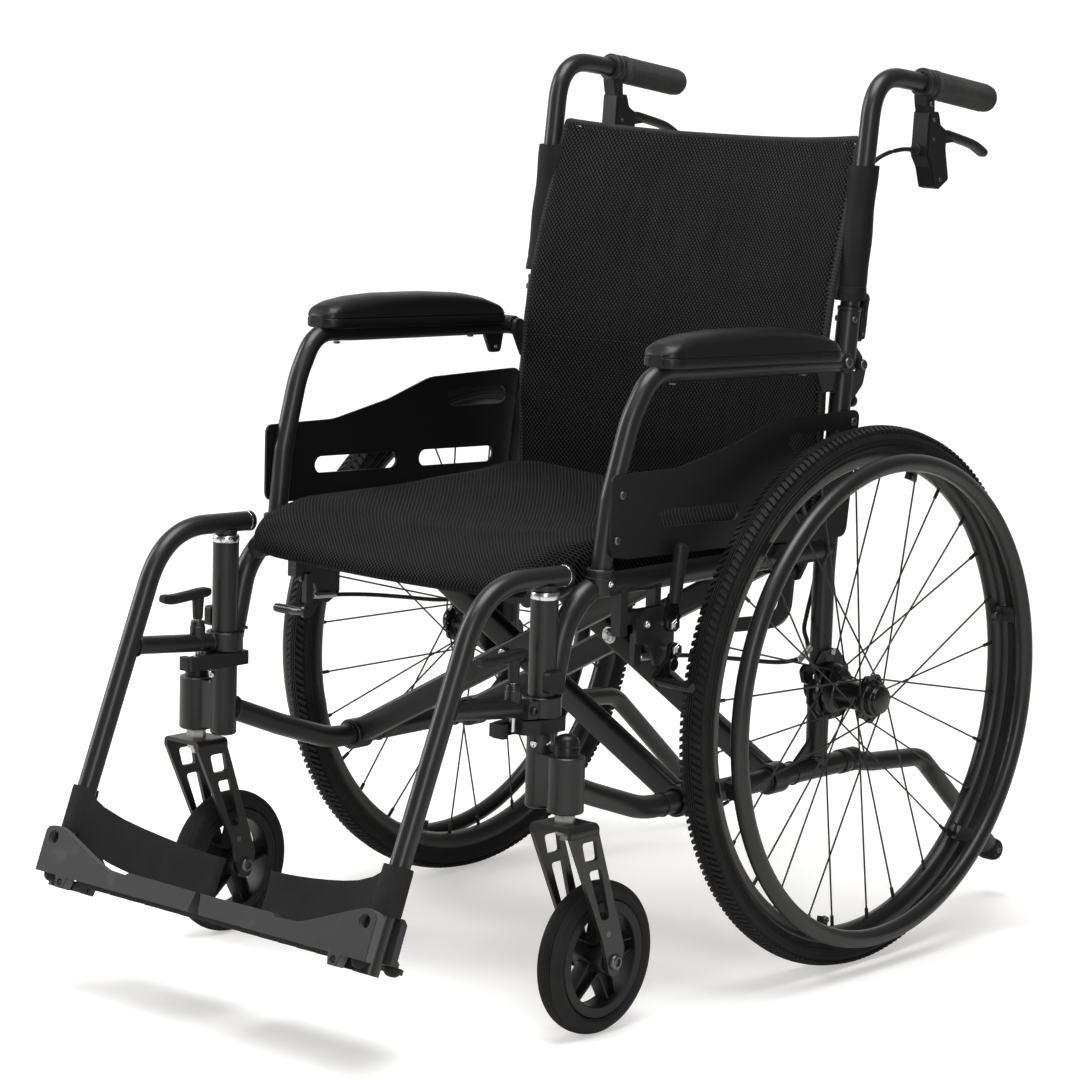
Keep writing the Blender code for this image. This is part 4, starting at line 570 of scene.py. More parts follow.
# %% Shape
class Shape:
    """Closed bodies collected in one mesh, each with the number of its finish."""

    def __init__(self):
        self.points, self.faces, self.marks = [], [], []
        self.mark = 0

    def add(self, points, faces):
        first = len(self.points)
        self.points += [Vector(p) for p in points]
        self.faces += [tuple(first + i for i in face) for face in faces]
        self.marks += [self.mark] * len(faces)
        return self

    def skin(self, rings, closed=False, capped=True):
        """Rings of the same count joined in a row, with an even cap at each end."""
        count = len(rings[0])
        points = [p for ring in rings for p in ring]
        faces = []
        for r in range(len(rings) if closed else len(rings) - 1):
            a, b = r * count, (r + 1) % len(rings) * count
            faces += [(a + k, a + (k + 1) % count, b + (k + 1) % count, b + k) for k in range(count)]
        if capped and not closed:
            faces.append(tuple(reversed(range(count))))
            faces.append(tuple(range(len(points) - count, len(points))))
        return self.add(points, faces)

    def sweep(self, path, profile, side=(1, 0, 0), closed=False, scale=None):
        """A closed profile carried along a line. Its x stays as near as it can to the side axis."""
        path = [Vector(p) for p in path]
        across = Vector(side).normalized()
        rings = []
        for i, point in enumerate(path):
            before = path[i - 1] if closed or i else point
            after = path[(i + 1) % len(path)] if closed or i < len(path) - 1 else point
            along = (after - before).normalized()
            first = (across - along * across.dot(along)).normalized()
            second = along.cross(first)
            width = scale(i / (len(path) - 1)) if scale else (1, 1)
            rings.append([point + first * x * width[0] + second * y * width[1] for x, y in profile])
        return self.skin(rings, closed)

    def tube(self, path, radius, sides=20, side=(1, 0, 0), closed=False):
        return self.sweep(path, ring_line(radius, sides), side, closed)

    def turned(self, profile, sides=32, place=None, closed=False):
        """A profile of (radius, height) spun about Z. Ends on the axis close to a point."""
        place = place or Matrix.Identity(4)
        on_axis = [radius < 1e-6 for radius, _ in profile]
        rings = [[place @ Vector((*p, height)) for p in ring_line(radius, sides)]
                 for (radius, height), tip in zip(profile, on_axis) if not tip]
        first = len(self.points)
        self.skin(rings, closed, capped=False)
        if closed:
            return self
        for tipped, height, at in ((on_axis[0], profile[0][1], first),
                                   (on_axis[-1], profile[-1][1], first + (len(rings) - 1) * sides)):
            if not tipped:
                self.faces.append(tuple(range(at, at + sides)))
                self.marks.append(self.mark)
                continue
            self.points.append(place @ Vector((0, 0, height)))
            self.faces += [(at + k, at + (k + 1) % sides, len(self.points) - 1) for k in range(sides)]
            self.marks += [self.mark] * sides
        return self

    def rod(self, start, end, radius, sides=20, end_radius=None):
        """A round bar with softened ends."""
        start, end = Vector(start), Vector(end)
        along = end - start
        guide = (1, 0, 0) if abs(along.normalized().x) < 0.9 else (0, 1, 0)
        place = plane_at(start, along.cross(Vector(guide)), along.cross(along.cross(Vector(guide))))
        if (place @ Vector((0, 0, 1)) - start).dot(along) < 0:
            place = place @ Matrix.Scale(-1, 4, (0, 0, 1)) @ Matrix.Scale(-1, 4, (0, 1, 0))
        last = radius if end_radius is None else end_radius
        soft = min(0.0006, radius * 0.2, along.length * 0.2)
        high = along.length
        return self.turned(((0, 0), (radius - soft, 0), (radius, soft), (last, high - soft),
                            (last - soft, high),
                            (0, high)), sides, place)

    def bead(self, centre, along, radius, size=0.0016):
        """A weld's bead round a tube, rippled where the filler rod was dipped."""
        centre, along = Vector(centre), Vector(along).normalized()
        guide = Vector((1, 0, 0)) if abs(along.x) < 0.9 else Vector((0, 1, 0))
        first = along.cross(guide).normalized()
        second = along.cross(first)
        path = [centre + (first * math.cos(a) + second * math.sin(a)) * (radius + size * 0.15)
                for a in (2 * math.pi * k / 72 for k in range(72))]
        ripple = lambda t: (1 + 0.16 * math.sin(t * 2 * math.pi * 24),) * 2
        return self.sweep(path, ring_line(size, 8), along, closed=True, scale=ripple)

    def plate(self, edge, thickness, place, holes=()):
        """An outline with holes, as thick as asked, in the plane of the place."""
        loops = [list(edge), *[list(hole) for hole in holes]]
        flat = [Vector((x, y, 0)) for loop in loops for x, y in loop]
        count = len(flat)
        points = [place @ p for p in flat] + [place @ (p + Vector((0, 0, thickness))) for p in flat]
        faces = []
        if len(loops) == 1:
            area = sum(a.x * b.y - b.x * a.y for a, b in zip(flat, flat[1:] + flat[:1]))
            order = range(count) if area > 0 else range(count - 1, -1, -1)
            faces += [tuple(i for i in reversed(order)), tuple(i + count for i in order)]
        else:
            for a, b, c in tessellate_polygon([[Vector((x, y, 0)) for x, y in loop] for loop in loops]):
                faces += [(a, b, c), (a + count, c + count, b + count)]
        first = 0
        for loop in loops:
            for k in range(len(loop)):
                a, b = first + k, first + (k + 1) % len(loop)
                faces.append((a, b, b + count, a + count))
            first += len(loop)
        return self.add(points, faces)

    def upright(self, edge_yz, x, thickness, holes=()):
        return self.plate(edge_yz, thickness, plane_at((x, 0, 0), (0, 1, 0), (0, 0, 1)), holes)

    def block(self, low, high):
        (x0, y0, z0), (x1, y1, z1) = low, high
        return self.plate(((x0, y0), (x1, y0), (x1, y1), (x0, y1)), z1 - z0, Matrix.Translation((0, 0, z0)))

    def screw(self, head, way, radius, height, drive="hex", mark=None):
        """A fastener's head that stands on a face and points the way given, with its drive sunk in."""
        kept, self.mark = self.mark, self.mark if mark is None else mark
        way = Vector(way).normalized()
        guide = Vector((1, 0, 0)) if abs(way.x) < 0.9 else Vector((0, 1, 0))
        place = plane_at(head, way.cross(guide), way.cross(way.cross(guide)))
        if (place @ Vector((0, 0, 1)) - Vector(head)).dot(way) < 0:
            place = place @ Matrix.Rotation(math.pi, 4, "X")
        if drive == "nut":
            self.turned(((0, -0.0004), (radius * 0.96, -0.0004), (radius, 0.0004), (radius, height * 0.85),
                         (radius * 0.88, height), (radius * 0.52, height), (radius * 0.50, height * 0.8),
                         (radius * 0.46, height * 1.35), (0, height * 1.4)), 6, place)
        else:
            sunk = radius * 0.52
            self.turned(((0, -0.0004), (radius, -0.0004), (radius, height * 0.45),
                         (radius * 0.92, height * 0.78),
                         (radius * 0.72, height), (sunk, height), (sunk * 0.98, height * 0.45),
                         (0, height * 0.4)),
                        6 if drive == "hexhead" else 18, place)
        self.mark = kept
        return self

# %% [markdown]
# A Shape becomes a piece when it gets its finishes, a Bevel for its hard edges and a body of the frame to
# ride on. Smooth shading is kept off edges sharper than 38 degrees. The real frame's left and right halves
# are mirror images, so both() draws the left one and mirrors its points for the right.

# %% Pieces
MIRROR = Matrix.Scale(-1, 4, (1, 0, 0))
TO_FRAME = Matrix.Translation((0, AXLE_Y, 0))


def piece(name, shape, body, finishes, slot, replaces=(), bevel=0.0, sharp=38, side=1, segments=2):
    """Puts the shape in the scene, in the frame's own coordinates, and lets it ride on the body."""
    mesh = bpy.data.meshes.new(name)
    mesh.from_pydata([tuple(p) for p in shape.points], [], shape.faces)
    for finish in finishes:
        mesh.materials.append(finish)
    mesh.polygons.foreach_set("material_index", shape.marks)
    if side < 0:
        mesh.transform(MIRROR)
    mesh.transform(TO_FRAME)
    work = bmesh.new()
    work.from_mesh(mesh)
    bmesh.ops.recalc_face_normals(work, faces=work.faces)
    work.to_mesh(mesh)
    work.free()
    mesh.shade_smooth()
    mesh.set_sharp_from_angle(angle=math.radians(sharp))
    made = bpy.data.objects.new(name, mesh)
    bpy.context.scene.collection.objects.link(made)
    if bevel:
        soften = made.modifiers.new("soft_edges", "BEVEL")
        soften.width, soften.segments = bevel, segments
        soften.limit_method, soften.angle_limit = "ANGLE", math.radians(sharp)
        soften.harden_normals = True
        soften.use_clamp_overlap = True
    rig.ride(made, body)
    print(f"{name}: {len(mesh.polygons)} faces on {body}")
    if slot:
        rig.slot(made, slot)
    if replaces:
        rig.replaces(made, *replaces)
    return made


def both(name, shape, body, finishes, slot, replaces=(), **more):
    """The same piece on each side. Body and node names are given without their side's word."""
    made = []
    for word, side in SIDES:
        nodes = [f"{word}_{node}" for node in replaces]
        made.append(piece(f"{word}_{name}", shape, f"{word}_{body}", finishes, slot, nodes, side=side,
                          **more))
    return made


def tilted(u, n, x=0.0):
    """A point u back along the leaning footplate, n above its underside."""
    y, z = PLATE_FRONT
    return Vector((x, y + u * math.cos(LEG_LEAN) + n * math.sin(LEG_LEAN),
                   z - u * math.sin(LEG_LEAN) + n * math.cos(LEG_LEAN)))


PLATE_BACK = Vector((0, math.cos(LEG_LEAN), -math.sin(LEG_LEAN)))
PLATE_UP = Vector((0, math.sin(LEG_LEAN), math.cos(LEG_LEAN)))


def radial(angle):
    """The way out from an axis along X at this angle, and the way round it."""
    return Vector((0, math.cos(angle), math.sin(angle))), Vector((0, -math.sin(angle), math.cos(angle)))


def about_x(centre, spin=0.0):
    """The place whose Z is the X axis at the centre, for wheels and hinge pins."""
    turned = Matrix.Rotation(spin, 4, "X") @ Matrix.Rotation(math.pi / 2, 4, "Y")
    return Matrix.Translation(Vector(centre)) @ turned

# %% [markdown]
# The frame's aluminium is powder coated in a satin charcoal black. Powder melts into a skin with a very fine
# orange peel and, seen close, a faint sparkle, and it never has a mirror's edge. So its roughness drifts a
# little and a fine noise feeds the bump.

# %% Painted metal
def powder_coat(name, base, rough, peel):
    finish = Finish(name)
    drift = finish.grain(9, 3)
    fine = finish.grain(620, 2)
    rubbed = finish.grain(42, 5, 0.7).between(0.62, 0.74)
    tone = finish.blend(drift * 0.5, grey(base * 0.86), grey(base * 1.25))
    tone = finish.blend(rubbed * 0.35, tone, colour(base * 2.2, base * 2.15, base * 2.1))
    return finish.surface(Base_Color=tone, Roughness=drift * 0.10 + rubbed * 0.06 + rough,
                          Normal=finish.bump(fine, 0.00006, peel), Coat_Weight=0.12, Coat_Roughness=0.25,
                          Specular_IOR_Level=0.42)


frame_paint = powder_coat("charcoal_powder_coat", 0.0115, 0.33, 0.55)
gloss_black = powder_coat("gloss_black_paint", 0.005, 0.19, 0.20)

# %% [markdown]
# Bolts, nuts and the rings at the top of the front posts are plated steel. Plating is bright, slightly
# uneven and dirty in the corners. Zinc is duller and warmer than chrome.

# %% Bare metal
def plated(name, tint, rough):
    finish = Finish(name)
    drift = finish.grain(240, 4, 0.6)
    tone = finish.blend(drift, colour(*(c * 0.78 for c in tint)), colour(*tint))
    return finish.surface(Base_Color=tone, Metallic=1.0, Roughness=drift * 0.16 + rough,
                          Normal=finish.bump(drift, 0.00005, 0.5))


bright_steel = plated("bright_plated_steel", (0.80, 0.80, 0.81), 0.16)
zinc = plated("zinc_plated_steel", (0.62, 0.61, 0.57), 0.30)
dark_steel = plated("blackened_steel", (0.16, 0.16, 0.165), 0.32)

# %% [markdown]
# The plastics differ by their mould. The arm pads and the brake housings are satin, the levers and guards
# have a fine spark-eroded texture, and the footplates are coarser and greyer, with scuffs where shoes rub.

# %% Plastics
def moulded(name, base, rough, grain_scale, depth, scuffs=0.0):
    finish = Finish(name)
    drift = finish.grain(7, 3)
    pits = finish.cells(grain_scale) * 0.5 + finish.grain(grain_scale * 0.7, 3) * 0.6
    worn = finish.grain(26, 6, 0.72).between(0.56, 0.70)
    tint = colour(base, base * 1.01, base * 1.03)
    tone = finish.blend(drift * 0.45, tint, grey(base * 1.3))
    tone = finish.blend(worn * scuffs, tone, grey(min(base * 2.6, 0.4)))
    return finish.surface(Base_Color=tone, Roughness=drift * 0.08 - worn * scuffs * 0.12 + rough,
                          Normal=finish.bump(pits, depth, 0.8), Specular_IOR_Level=0.32)


satin_plastic = moulded("satin_black_plastic", 0.006, 0.34, 1400, 0.00005)
lever_plastic = moulded("textured_black_plastic", 0.009, 0.46, 900, 0.00010, 0.15)
guard_plastic = moulded("guard_sheet", 0.005, 0.44, 1600, 0.00004, 0.10)
plate_plastic = moulded("footplate_plastic", 0.030, 0.48, 760, 0.00016, 0.35)
cheek_plastic = moulded("footplate_cheek", 0.085, 0.46, 760, 0.00016, 0.25)
housing_plastic = moulded("housing_plastic", 0.012, 0.42, 1200, 0.00008, 0.10)

# %% [markdown]
# Tyres, grips and caster treads are rubber: nearly black, matt, with a grey bloom of dust that the mould
# leaves lighter on the walls.

# %% Rubber
def rubber(name, base, rough, dust):
    finish = Finish(name)
    bloom = finish.grain(30, 5, 0.65).between(0.42, 0.72)
    fine = finish.grain(1100, 3)
    tone = finish.blend(bloom * dust, grey(base), colour(base * 2.3, base * 2.25, base * 2.15))
    return finish.surface(Base_Color=tone, Roughness=bloom * 0.10 + rough,
                          Normal=finish.bump(fine, 0.00008, 0.6), Specular_IOR_Level=0.18)


tyre_rubber = rubber("tyre_rubber", 0.010, 0.58, 0.55)
grip_rubber = rubber("grip_rubber", 0.040, 0.62, 0.35)
cable_rubber = rubber("cable_jacket", 0.014, 0.38, 0.10)

# %% [markdown]
# The rear wheel is the piece that takes the most care, with the folding brace. A real one is built from the
# hub out: two drilled flanges, 28 spokes that leave them to either side and cross, a box-section rim, a
# nipple at each spoke's end, and a rubber tyre whose tread has centre ribs and a row of slanted knobs on
# each shoulder. The tyre's section is swept round the axle, and each knob is its own small block.

# %% Tyre
WHEEL_SIDES = 144


def around_wheel(profile, centre, sides=WHEEL_SIDES):
    """A closed profile of (radius, sideways) spun about a wheel's axle."""
    return Shape().turned([(r, h) for r, h in profile], sides, about_x(centre), closed=True)


def knob(shape, centre, radius, angle, low, high, lean, width, depth):
    """A tread block from low to high across the tyre, leaning forward by lean on the way."""
    rings = []
    for lift in (-0.0016, depth):
        trim = 0.0 if lift < 0 else 0.12 * width
        ring = []
        for side, turn in ((low, -width / 2), (high, lean - width / 2), (high, lean + width / 2),
                           (low, width / 2)):
            inward = trim if turn in (-width / 2, lean - width / 2) else -trim
            spin = angle + (turn + inward) / radius
            out = radius + lift - abs(side) ** 2 * 16
            ring.append(Vector((centre.x + side, centre.y + out * math.cos(spin),
                                centre.z + out * math.sin(spin))))
        rings.append(ring)
    if low < high:
        rings = [ring[::-1] for ring in rings]
    shape.skin(rings)


section = [(0.3016, 0.0), (0.3014, 0.0030), (0.3000, 0.0085), (0.2972, 0.0128), (0.2925, 0.0158),
           (0.2885, 0.0166),
           (0.2845, 0.0160), (0.2805, 0.0140), (0.2775, 0.0120), (0.2762, 0.0112)]
profile = section + [(r, -h) for r, h in section[:0:-1]]
tyre = around_wheel(profile, WHEEL_AT)
for lift, side in ((0.0042, 0.0), (0.0040, 0.0030), (0.0040, -0.0030)):
    rib = [(0.2995, side - 0.0010), (0.2996 + lift, side - 0.0008), (0.2996 + lift, side + 0.0008),
           (0.2995, side + 0.0010)]
    tyre.turned(rib[::-1], WHEEL_SIDES, about_x(WHEEL_AT), closed=True)
KNOBS = 220
for k in range(KNOBS):
    angle = 2 * math.pi * k / KNOBS
    for hand in (1, -1):
        knob(tyre, WHEEL_AT, 0.3022, angle + (0.5 if hand < 0 else 0) * 2 * math.pi / KNOBS, hand * 0.0046,
             hand * 0.0140, 0.0046, 0.0058, 0.0016)
for radius, side in ((0.2905, 0.0160), (0.2865, 0.0165), (0.2828, 0.0154)):
    for hand in (1, -1):
        ring = [(radius - 0.0006, hand * (side - 0.0004)), (radius, hand * (side + 0.0007)),
                (radius + 0.0006, hand * (side - 0.0004))]
        tyre.turned(ring if hand < 0 else ring[::-1], WHEEL_SIDES, about_x(WHEEL_AT), closed=True)
both("tyre", tyre, "rear_wheel", [tyre_rubber], "rubber", ["tyre"], sharp=50)
print("tyre:", len(tyre.faces), "faces,", 2 * KNOBS, "shoulder knobs")

# %% [markdown]
# A spoke is two millimetre wire with a hooked head in the flange and a nipple at the rim. Pairs of spokes
# lean forward and back from the same flange, so each crosses its neighbours. The rim is a dark box section
# with a groove on its inner face.

# %% Rim, hub and spokes
SPOKES = 28
rim_half = [(0.2762, 0.0108), (0.2780, 0.0116), (0.2772, 0.0122), (0.2745, 0.0122), (0.2690, 0.0112),
            (0.2640, 0.0092),
            (0.2612, 0.0062), (0.2604, 0.0030), (0.2596, 0.0010)]
wheel = around_wheel(rim_half + [(r, -h) for r, h in rim_half[::-1]], WHEEL_AT)
wheel.mark = 1
hub_place = about_x((0, 0, WHEEL_AT.z))
wheel.turned(((0.0062, 0.2482), (0.0105, 0.2484), (0.0105, 0.2612), (0.0205, 0.2614), (0.0270, 0.2622),
              (0.0282, 0.2634), (0.0282, 0.2664), (0.0270, 0.2676), (0.0190, 0.2690), (0.0170, 0.2710),
              (0.0162, 0.2740), (0.0160, 0.2890), (0.0162, 0.3040), (0.0172, 0.3068), (0.0195, 0.3084),
              (0.0215, 0.3088), (0.0215, 0.3120), (0.0192, 0.3128), (0.0182, 0.3140), (0.0182, 0.3200),
              (0.0166, 0.3212), (0.0158, 0.3222), (0.0158, 0.3252), (0.0148, 0.3266), (0.0100, 0.3280),
              (0, 0.3285)),
             48, hub_place)
scallops = []
for k in range(84):
    angle = 2 * math.pi * k / 84
    reach = 0.0268 + 0.0016 * math.cos(7 * angle)
    scallops.append((reach * math.cos(angle), reach * math.sin(angle)))
holes = [ring_line(0.0013, 8, (0.0238 * math.cos(2 * math.pi * (k + 0.5) / 14),
                               0.0238 * math.sin(2 * math.pi * (k + 0.5) / 14))) for k in range(14)]
wheel.plate(scallops, 0.0030, hub_place @ Matrix.Translation((0, 0, 0.3090)), holes)
wheel.mark = 0
for k in range(SPOKES):
    outer, forward = k % 2, 1 if (k // 2) % 2 else -1
    at_rim = 2 * math.pi * (k + 0.5) / SPOKES
    at_hub = at_rim + forward * math.radians(66)
    flange = (0.3105 if outer else 0.2649) + forward * 0.0021
    ends = [Vector((x, radius * math.cos(angle), WHEEL_AT.z + radius * math.sin(angle)))
            for radius, angle, x in ((0.0238, at_hub, flange),
                                     (0.2612, at_rim, WHEEL_AT.x + (0.0025 if outer else -0.0025)))]
    along = (ends[1] - ends[0]).normalized()
    wheel.rod(ends[0] - along * 0.0016, ends[1], 0.00105, 8)
    wheel.rod(ends[1] - along * 0.0125, ends[1] + along * 0.002, 0.0021, 8)
    head = Vector((flange + forward * 0.0014, ends[0].y, ends[0].z))
    wheel.rod(head, head - Vector((forward * 0.0055, 0, 0)), 0.0016, 8)
valve_at = Vector((WHEEL_AT.x, 0, WHEEL_AT.z))
valve_way = Vector((0, math.cos(2.06), math.sin(2.06)))
wheel.rod(valve_at + valve_way * 0.2620, valve_at + valve_way * 0.2330, 0.0027, 12)
wheel.rod(valve_at + valve_way * 0.2340, valve_at + valve_way * 0.2210, 0.0036, 12)
both("wheel", wheel, "rear_wheel", [frame_paint, gloss_black], "gloss_black", ["wheel"], sharp=42)
print("wheel:", SPOKES, "spokes,", len(wheel.faces), "faces")

# %% [markdown]
# The push ring is a separate hoop of tube, held off the rim by six folded tabs. Each tab is bolted to the
# rim with a domed nut that shows from outside.

# %% Push ring
RING_X = 0.3355
RING_RADIUS = 0.2665
hoop = Shape()
hoop_path = [Vector((RING_X, RING_RADIUS * math.cos(a), WHEEL_AT.z + RING_RADIUS * math.sin(a)))
             for a in (2 * math.pi * k / WHEEL_SIDES for k in range(WHEEL_SIDES))]
hoop.tube(hoop_path, 0.0098, 20, closed=True)
for k in range(6):
    angle = 2 * math.pi * (k + 0.25) / 6
    out, along = radial(angle)
    foot = Vector((WHEEL_AT.x + 0.0105, 0, WHEEL_AT.z)) + out * 0.2560
    tab = [foot - out * 0.0085 + Vector((-0.001, 0, 0)), foot + out * 0.0020,
           foot + out * 0.0040 + Vector((0.006, 0, 0)),
           Vector((RING_X - 0.004, 0, WHEEL_AT.z)) + out * (RING_RADIUS - 0.0060)]
    hoop.sweep(arc_points(tab, 0.004, 4), flat_line([(-0.0095, -0.0014), (0.0095, -0.0014), (0.0095, 0.0014),
                                                     (-0.0095, 0.0014)], 0.0008, 2), along)
    hoop.screw(foot - out * 0.0052 + Vector((0.0008, 0, 0)), (1, 0, 0), 0.0046, 0.0046, "nut", 1)
both("handrim", hoop, "rear_wheel", [frame_paint, dark_steel], "frame_paint", ["handrim"], sharp=42)

# %% [markdown]
# The caster is moulded in one piece: a hub, five spokes that are pairs of thin ribs, and a flat ring that
# the solid tyre grips. The tyre carries fine lines round its tread.

# %% Caster wheel
caster = Shape().turned(((0.0628, -0.0118), (0.0628, 0.0118), (0.0618, 0.0132), (0.0520, 0.0132),
                         (0.0510, 0.0124), (0.0505, 0.0100), (0.0505, -0.0100), (0.0510, -0.0124),
                         (0.0520, -0.0132),
                         (0.0618, -0.0132)), 96, about_x(CASTER_AT), closed=True)
caster.turned(((0.0050, -0.0200), (0.0125, -0.0200), (0.0135, -0.0190), (0.0150, -0.0120), (0.0150, 0.0120),
               (0.0135, 0.0190), (0.0125, 0.0200), (0.0050, 0.0200)), 40, about_x(CASTER_AT), closed=True)
for k in range(5):
    angle = 2 * math.pi * (k + 0.1) / 5
    out, along = radial(angle)
    for near, far in ((0.0095, 0.0062), (-0.0095, -0.0062)):
        rib = [CASTER_AT + out * 0.0130 + along * near, CASTER_AT + out * 0.0516 + along * far]
        caster.sweep(rib, flat_line([(-0.0085, -0.0013), (0.0085, -0.0013), (0.0085, 0.0013),
                                     (-0.0085, 0.0013)],
                                    0.0006, 2))
    web = [CASTER_AT + out * 0.0130, CASTER_AT + out * 0.0512]
    caster.sweep(web, ((-0.0016, -0.0075), (0.0016, -0.0075), (0.0016, 0.0075), (-0.0016, 0.0075)))
both("caster_wheel", caster, "caster", [guard_plastic], "black_plastic", ["caster_wheel"], bevel=0.0006)

tread = [(0.0630, 0.0112), (0.0640, 0.0134), (0.0665, 0.0146), (0.0705, 0.0149), (0.0745, 0.0138),
         (0.0775, 0.0114),
         (0.0792, 0.0088)]
for k in range(8):
    side = 0.0078 - 0.0156 * k / 7
    high = 0.0813 - 26 * side * side
    tread += [(high, side + 0.0007), (high, side - 0.0004), (high - 0.0010, side - 0.0007),
              (high - 0.0010, side - 0.0011)]
tread += [(r, -h) for r, h in tread[6::-1]]
caster_tyre = Shape().turned(tread, 120, about_x(CASTER_AT), closed=True)
for hand in (1, -1):
    lip = [(0.0655, hand * 0.0142), (0.0662, hand * 0.0152), (0.0672, hand * 0.0145)]
    caster_tyre.turned(lip if hand < 0 else lip[::-1], 120, about_x(CASTER_AT), closed=True)
both("caster_tyre", caster_tyre, "caster", [tyre_rubber], "rubber", ["caster_tyre"], sharp=40)

# %% [markdown]
# The caster fork is bent from one aluminium strip and raked back, so that the wheel trails. Windows are
# punched in both legs to lighten them, the crown is clamped under the stem, and the axle's ends carry a
# domed head and a lock nut.

# %% Caster fork
STEM_X, STEM_Y = 0.2745, -0.474
FORK_TOP = 0.2334
lean_back = (CASTER_AT.y - STEM_Y) / (CASTER_AT.z - FORK_TOP)


def fork_middle(z):
    return STEM_Y + (z - FORK_TOP) * lean_back


leg_edge = [(STEM_Y - 0.0225, 0.2230), (STEM_Y + 0.0225, 0.2230),
            (CASTER_AT.y + 0.0150, CASTER_AT.z + 0.012),
            (CASTER_AT.y + 0.0070, CASTER_AT.z - 0.0150), (CASTER_AT.y - 0.0080, CASTER_AT.z - 0.0150),
            (CASTER_AT.y - 0.0190, CASTER_AT.z + 0.022)]
leg_edge = flat_line(leg_edge, [0, 0, 0.012, 0.0145, 0.0145, 0.016], 6)
upper_window = flat_line([(fork_middle(z) + dy, z) for dy, z in ((-0.0115, 0.1950), (0.0085, 0.1950),
                                                                 (0.0115, 0.2165),
                                                                 (-0.0105, 0.2165))], 0.0035, 4)
lower_window = flat_line([(fork_middle(z) + dy, z) for dy, z in ((-0.0065, 0.1290), (0.0065, 0.1290),
                                                                 (0.0095, 0.1850),
                                                                 (-0.0095, 0.1850))], [0.006, 0.006, 0.0035,
                                                                     0.0035], 5)
fork = Shape()
for x in (-0.0280, 0.0232):
    fork.upright(leg_edge, STEM_X + x, 0.0048, [upper_window, lower_window])
bend = arc_points([(STEM_X - 0.0256, STEM_Y, 0.2222), (STEM_X - 0.0256, STEM_Y, FORK_TOP - 0.0024),
                   (STEM_X + 0.0256, STEM_Y, FORK_TOP - 0.0024), (STEM_X + 0.0256, STEM_Y, 0.2222)], 0.0110,
                  8)
fork.sweep(bend, [(-0.0225, -0.0024), (0.0225, -0.0024), (0.0225, 0.0024), (-0.0225, 0.0024)], (0, 1, 0))
fork.mark = 1
fork.turned(((0, 0.2326), (0.0104, 0.2326), (0.0112, 0.2332), (0.0112, 0.2425), (0.0104, 0.2435),
             (0, 0.2436)), 6,
            Matrix.Translation((STEM_X, STEM_Y, 0)))
fork.turned(((0, 0.2292), (0.0090, 0.2292), (0.0098, 0.2286), (0.0098, 0.2212), (0.0090, 0.2205),
             (0.0052, 0.2203),
             (0.0050, 0.2150), (0, 0.2146))[::-1], 6, Matrix.Translation((STEM_X, STEM_Y, 0)))
fork.mark = 2
fork.rod((STEM_X - 0.0300, CASTER_AT.y, CASTER_AT.z), (STEM_X + 0.0300, CASTER_AT.y, CASTER_AT.z), 0.0046,
         20)
for hand in (1, -1):
    fork.screw((STEM_X + hand * 0.0280, CASTER_AT.y, CASTER_AT.z), (hand, 0, 0), 0.0082, 0.0044)
    fork.rod((STEM_X + hand * 0.0265, fork_middle(0.1130), 0.1130),
             (STEM_X + hand * 0.02815, fork_middle(0.1130), 0.1130),
             0.0034, 16)
both("caster_fork", fork, "caster_fork", [frame_paint, zinc, dark_steel], "frame_paint", ["caster_fork"],
     bevel=0.0009)

# %% [markdown]
# The front post is the chair's corner. A grey plastic bushing with a bright ring closes its top, where the
# leg rest's collar turns. The caster's bearing housing is welded beside it, under a black dome, and a
# moulded catch sticks out in front for the leg rest's latch.

# %% Front post
FRONT_Y = -0.470
corner = Shape()
corner.rod((FRAME_X, FRONT_Y, 0.2450), (FRAME_X, FRONT_Y, 0.4600), POST_TUBE, 36)
corner.turned(((0, 0.2425), (0.0125, 0.2425), (0.0140, 0.2435), (0.0147, 0.2450), (0.0147, 0.2470),
               (0, 0.2472)), 36,
              Matrix.Translation((FRAME_X, FRONT_Y, 0)))
corner.mark = 1
corner.turned(((0, 0.4590), (0.0138, 0.4590), (0.0148, 0.4604), (0.0148, 0.4660), (0.0140, 0.4672),
               (0, 0.4674)), 36,
              Matrix.Translation((FRAME_X, FRONT_Y, 0)))
corner.mark = 0
corner.turned(((0, 0.2440), (0.0180, 0.2440), (0.0192, 0.2452), (0.0192, 0.3018), (0.0180, 0.3030),
               (0, 0.3032)), 40,
              Matrix.Translation((STEM_X, STEM_Y, 0)))
corner.mark = 2
corner.turned(((0, 0.3028), (0.0132, 0.3030), (0.0132, 0.3120), (0.0128, 0.3126), (0.0128, 0.3134),
               (0.0132, 0.3140), (0.0128, 0.3175), (0.0114, 0.3212), (0.0088, 0.3238), (0.0048, 0.3252),
               (0, 0.3256)), 36,
              Matrix.Translation((STEM_X, STEM_Y, 0)))
corner.mark = 0
corner.block((FRAME_X + 0.004, STEM_Y - 0.0095, 0.2480), (STEM_X - 0.006, STEM_Y + 0.0105, 0.3010))
corner.mark = 1
corner.screw((FRAME_X + 0.0040, FRONT_Y - 0.0140, 0.3110), (0.25, -1, 0), 0.0042, 0.0030)
corner.rod((FRAME_X + 0.0140, FRONT_Y - 0.0060, 0.3105), (FRAME_X + 0.0200, FRONT_Y - 0.0060, 0.3135),
           0.0020, 10)
corner.mark = 3
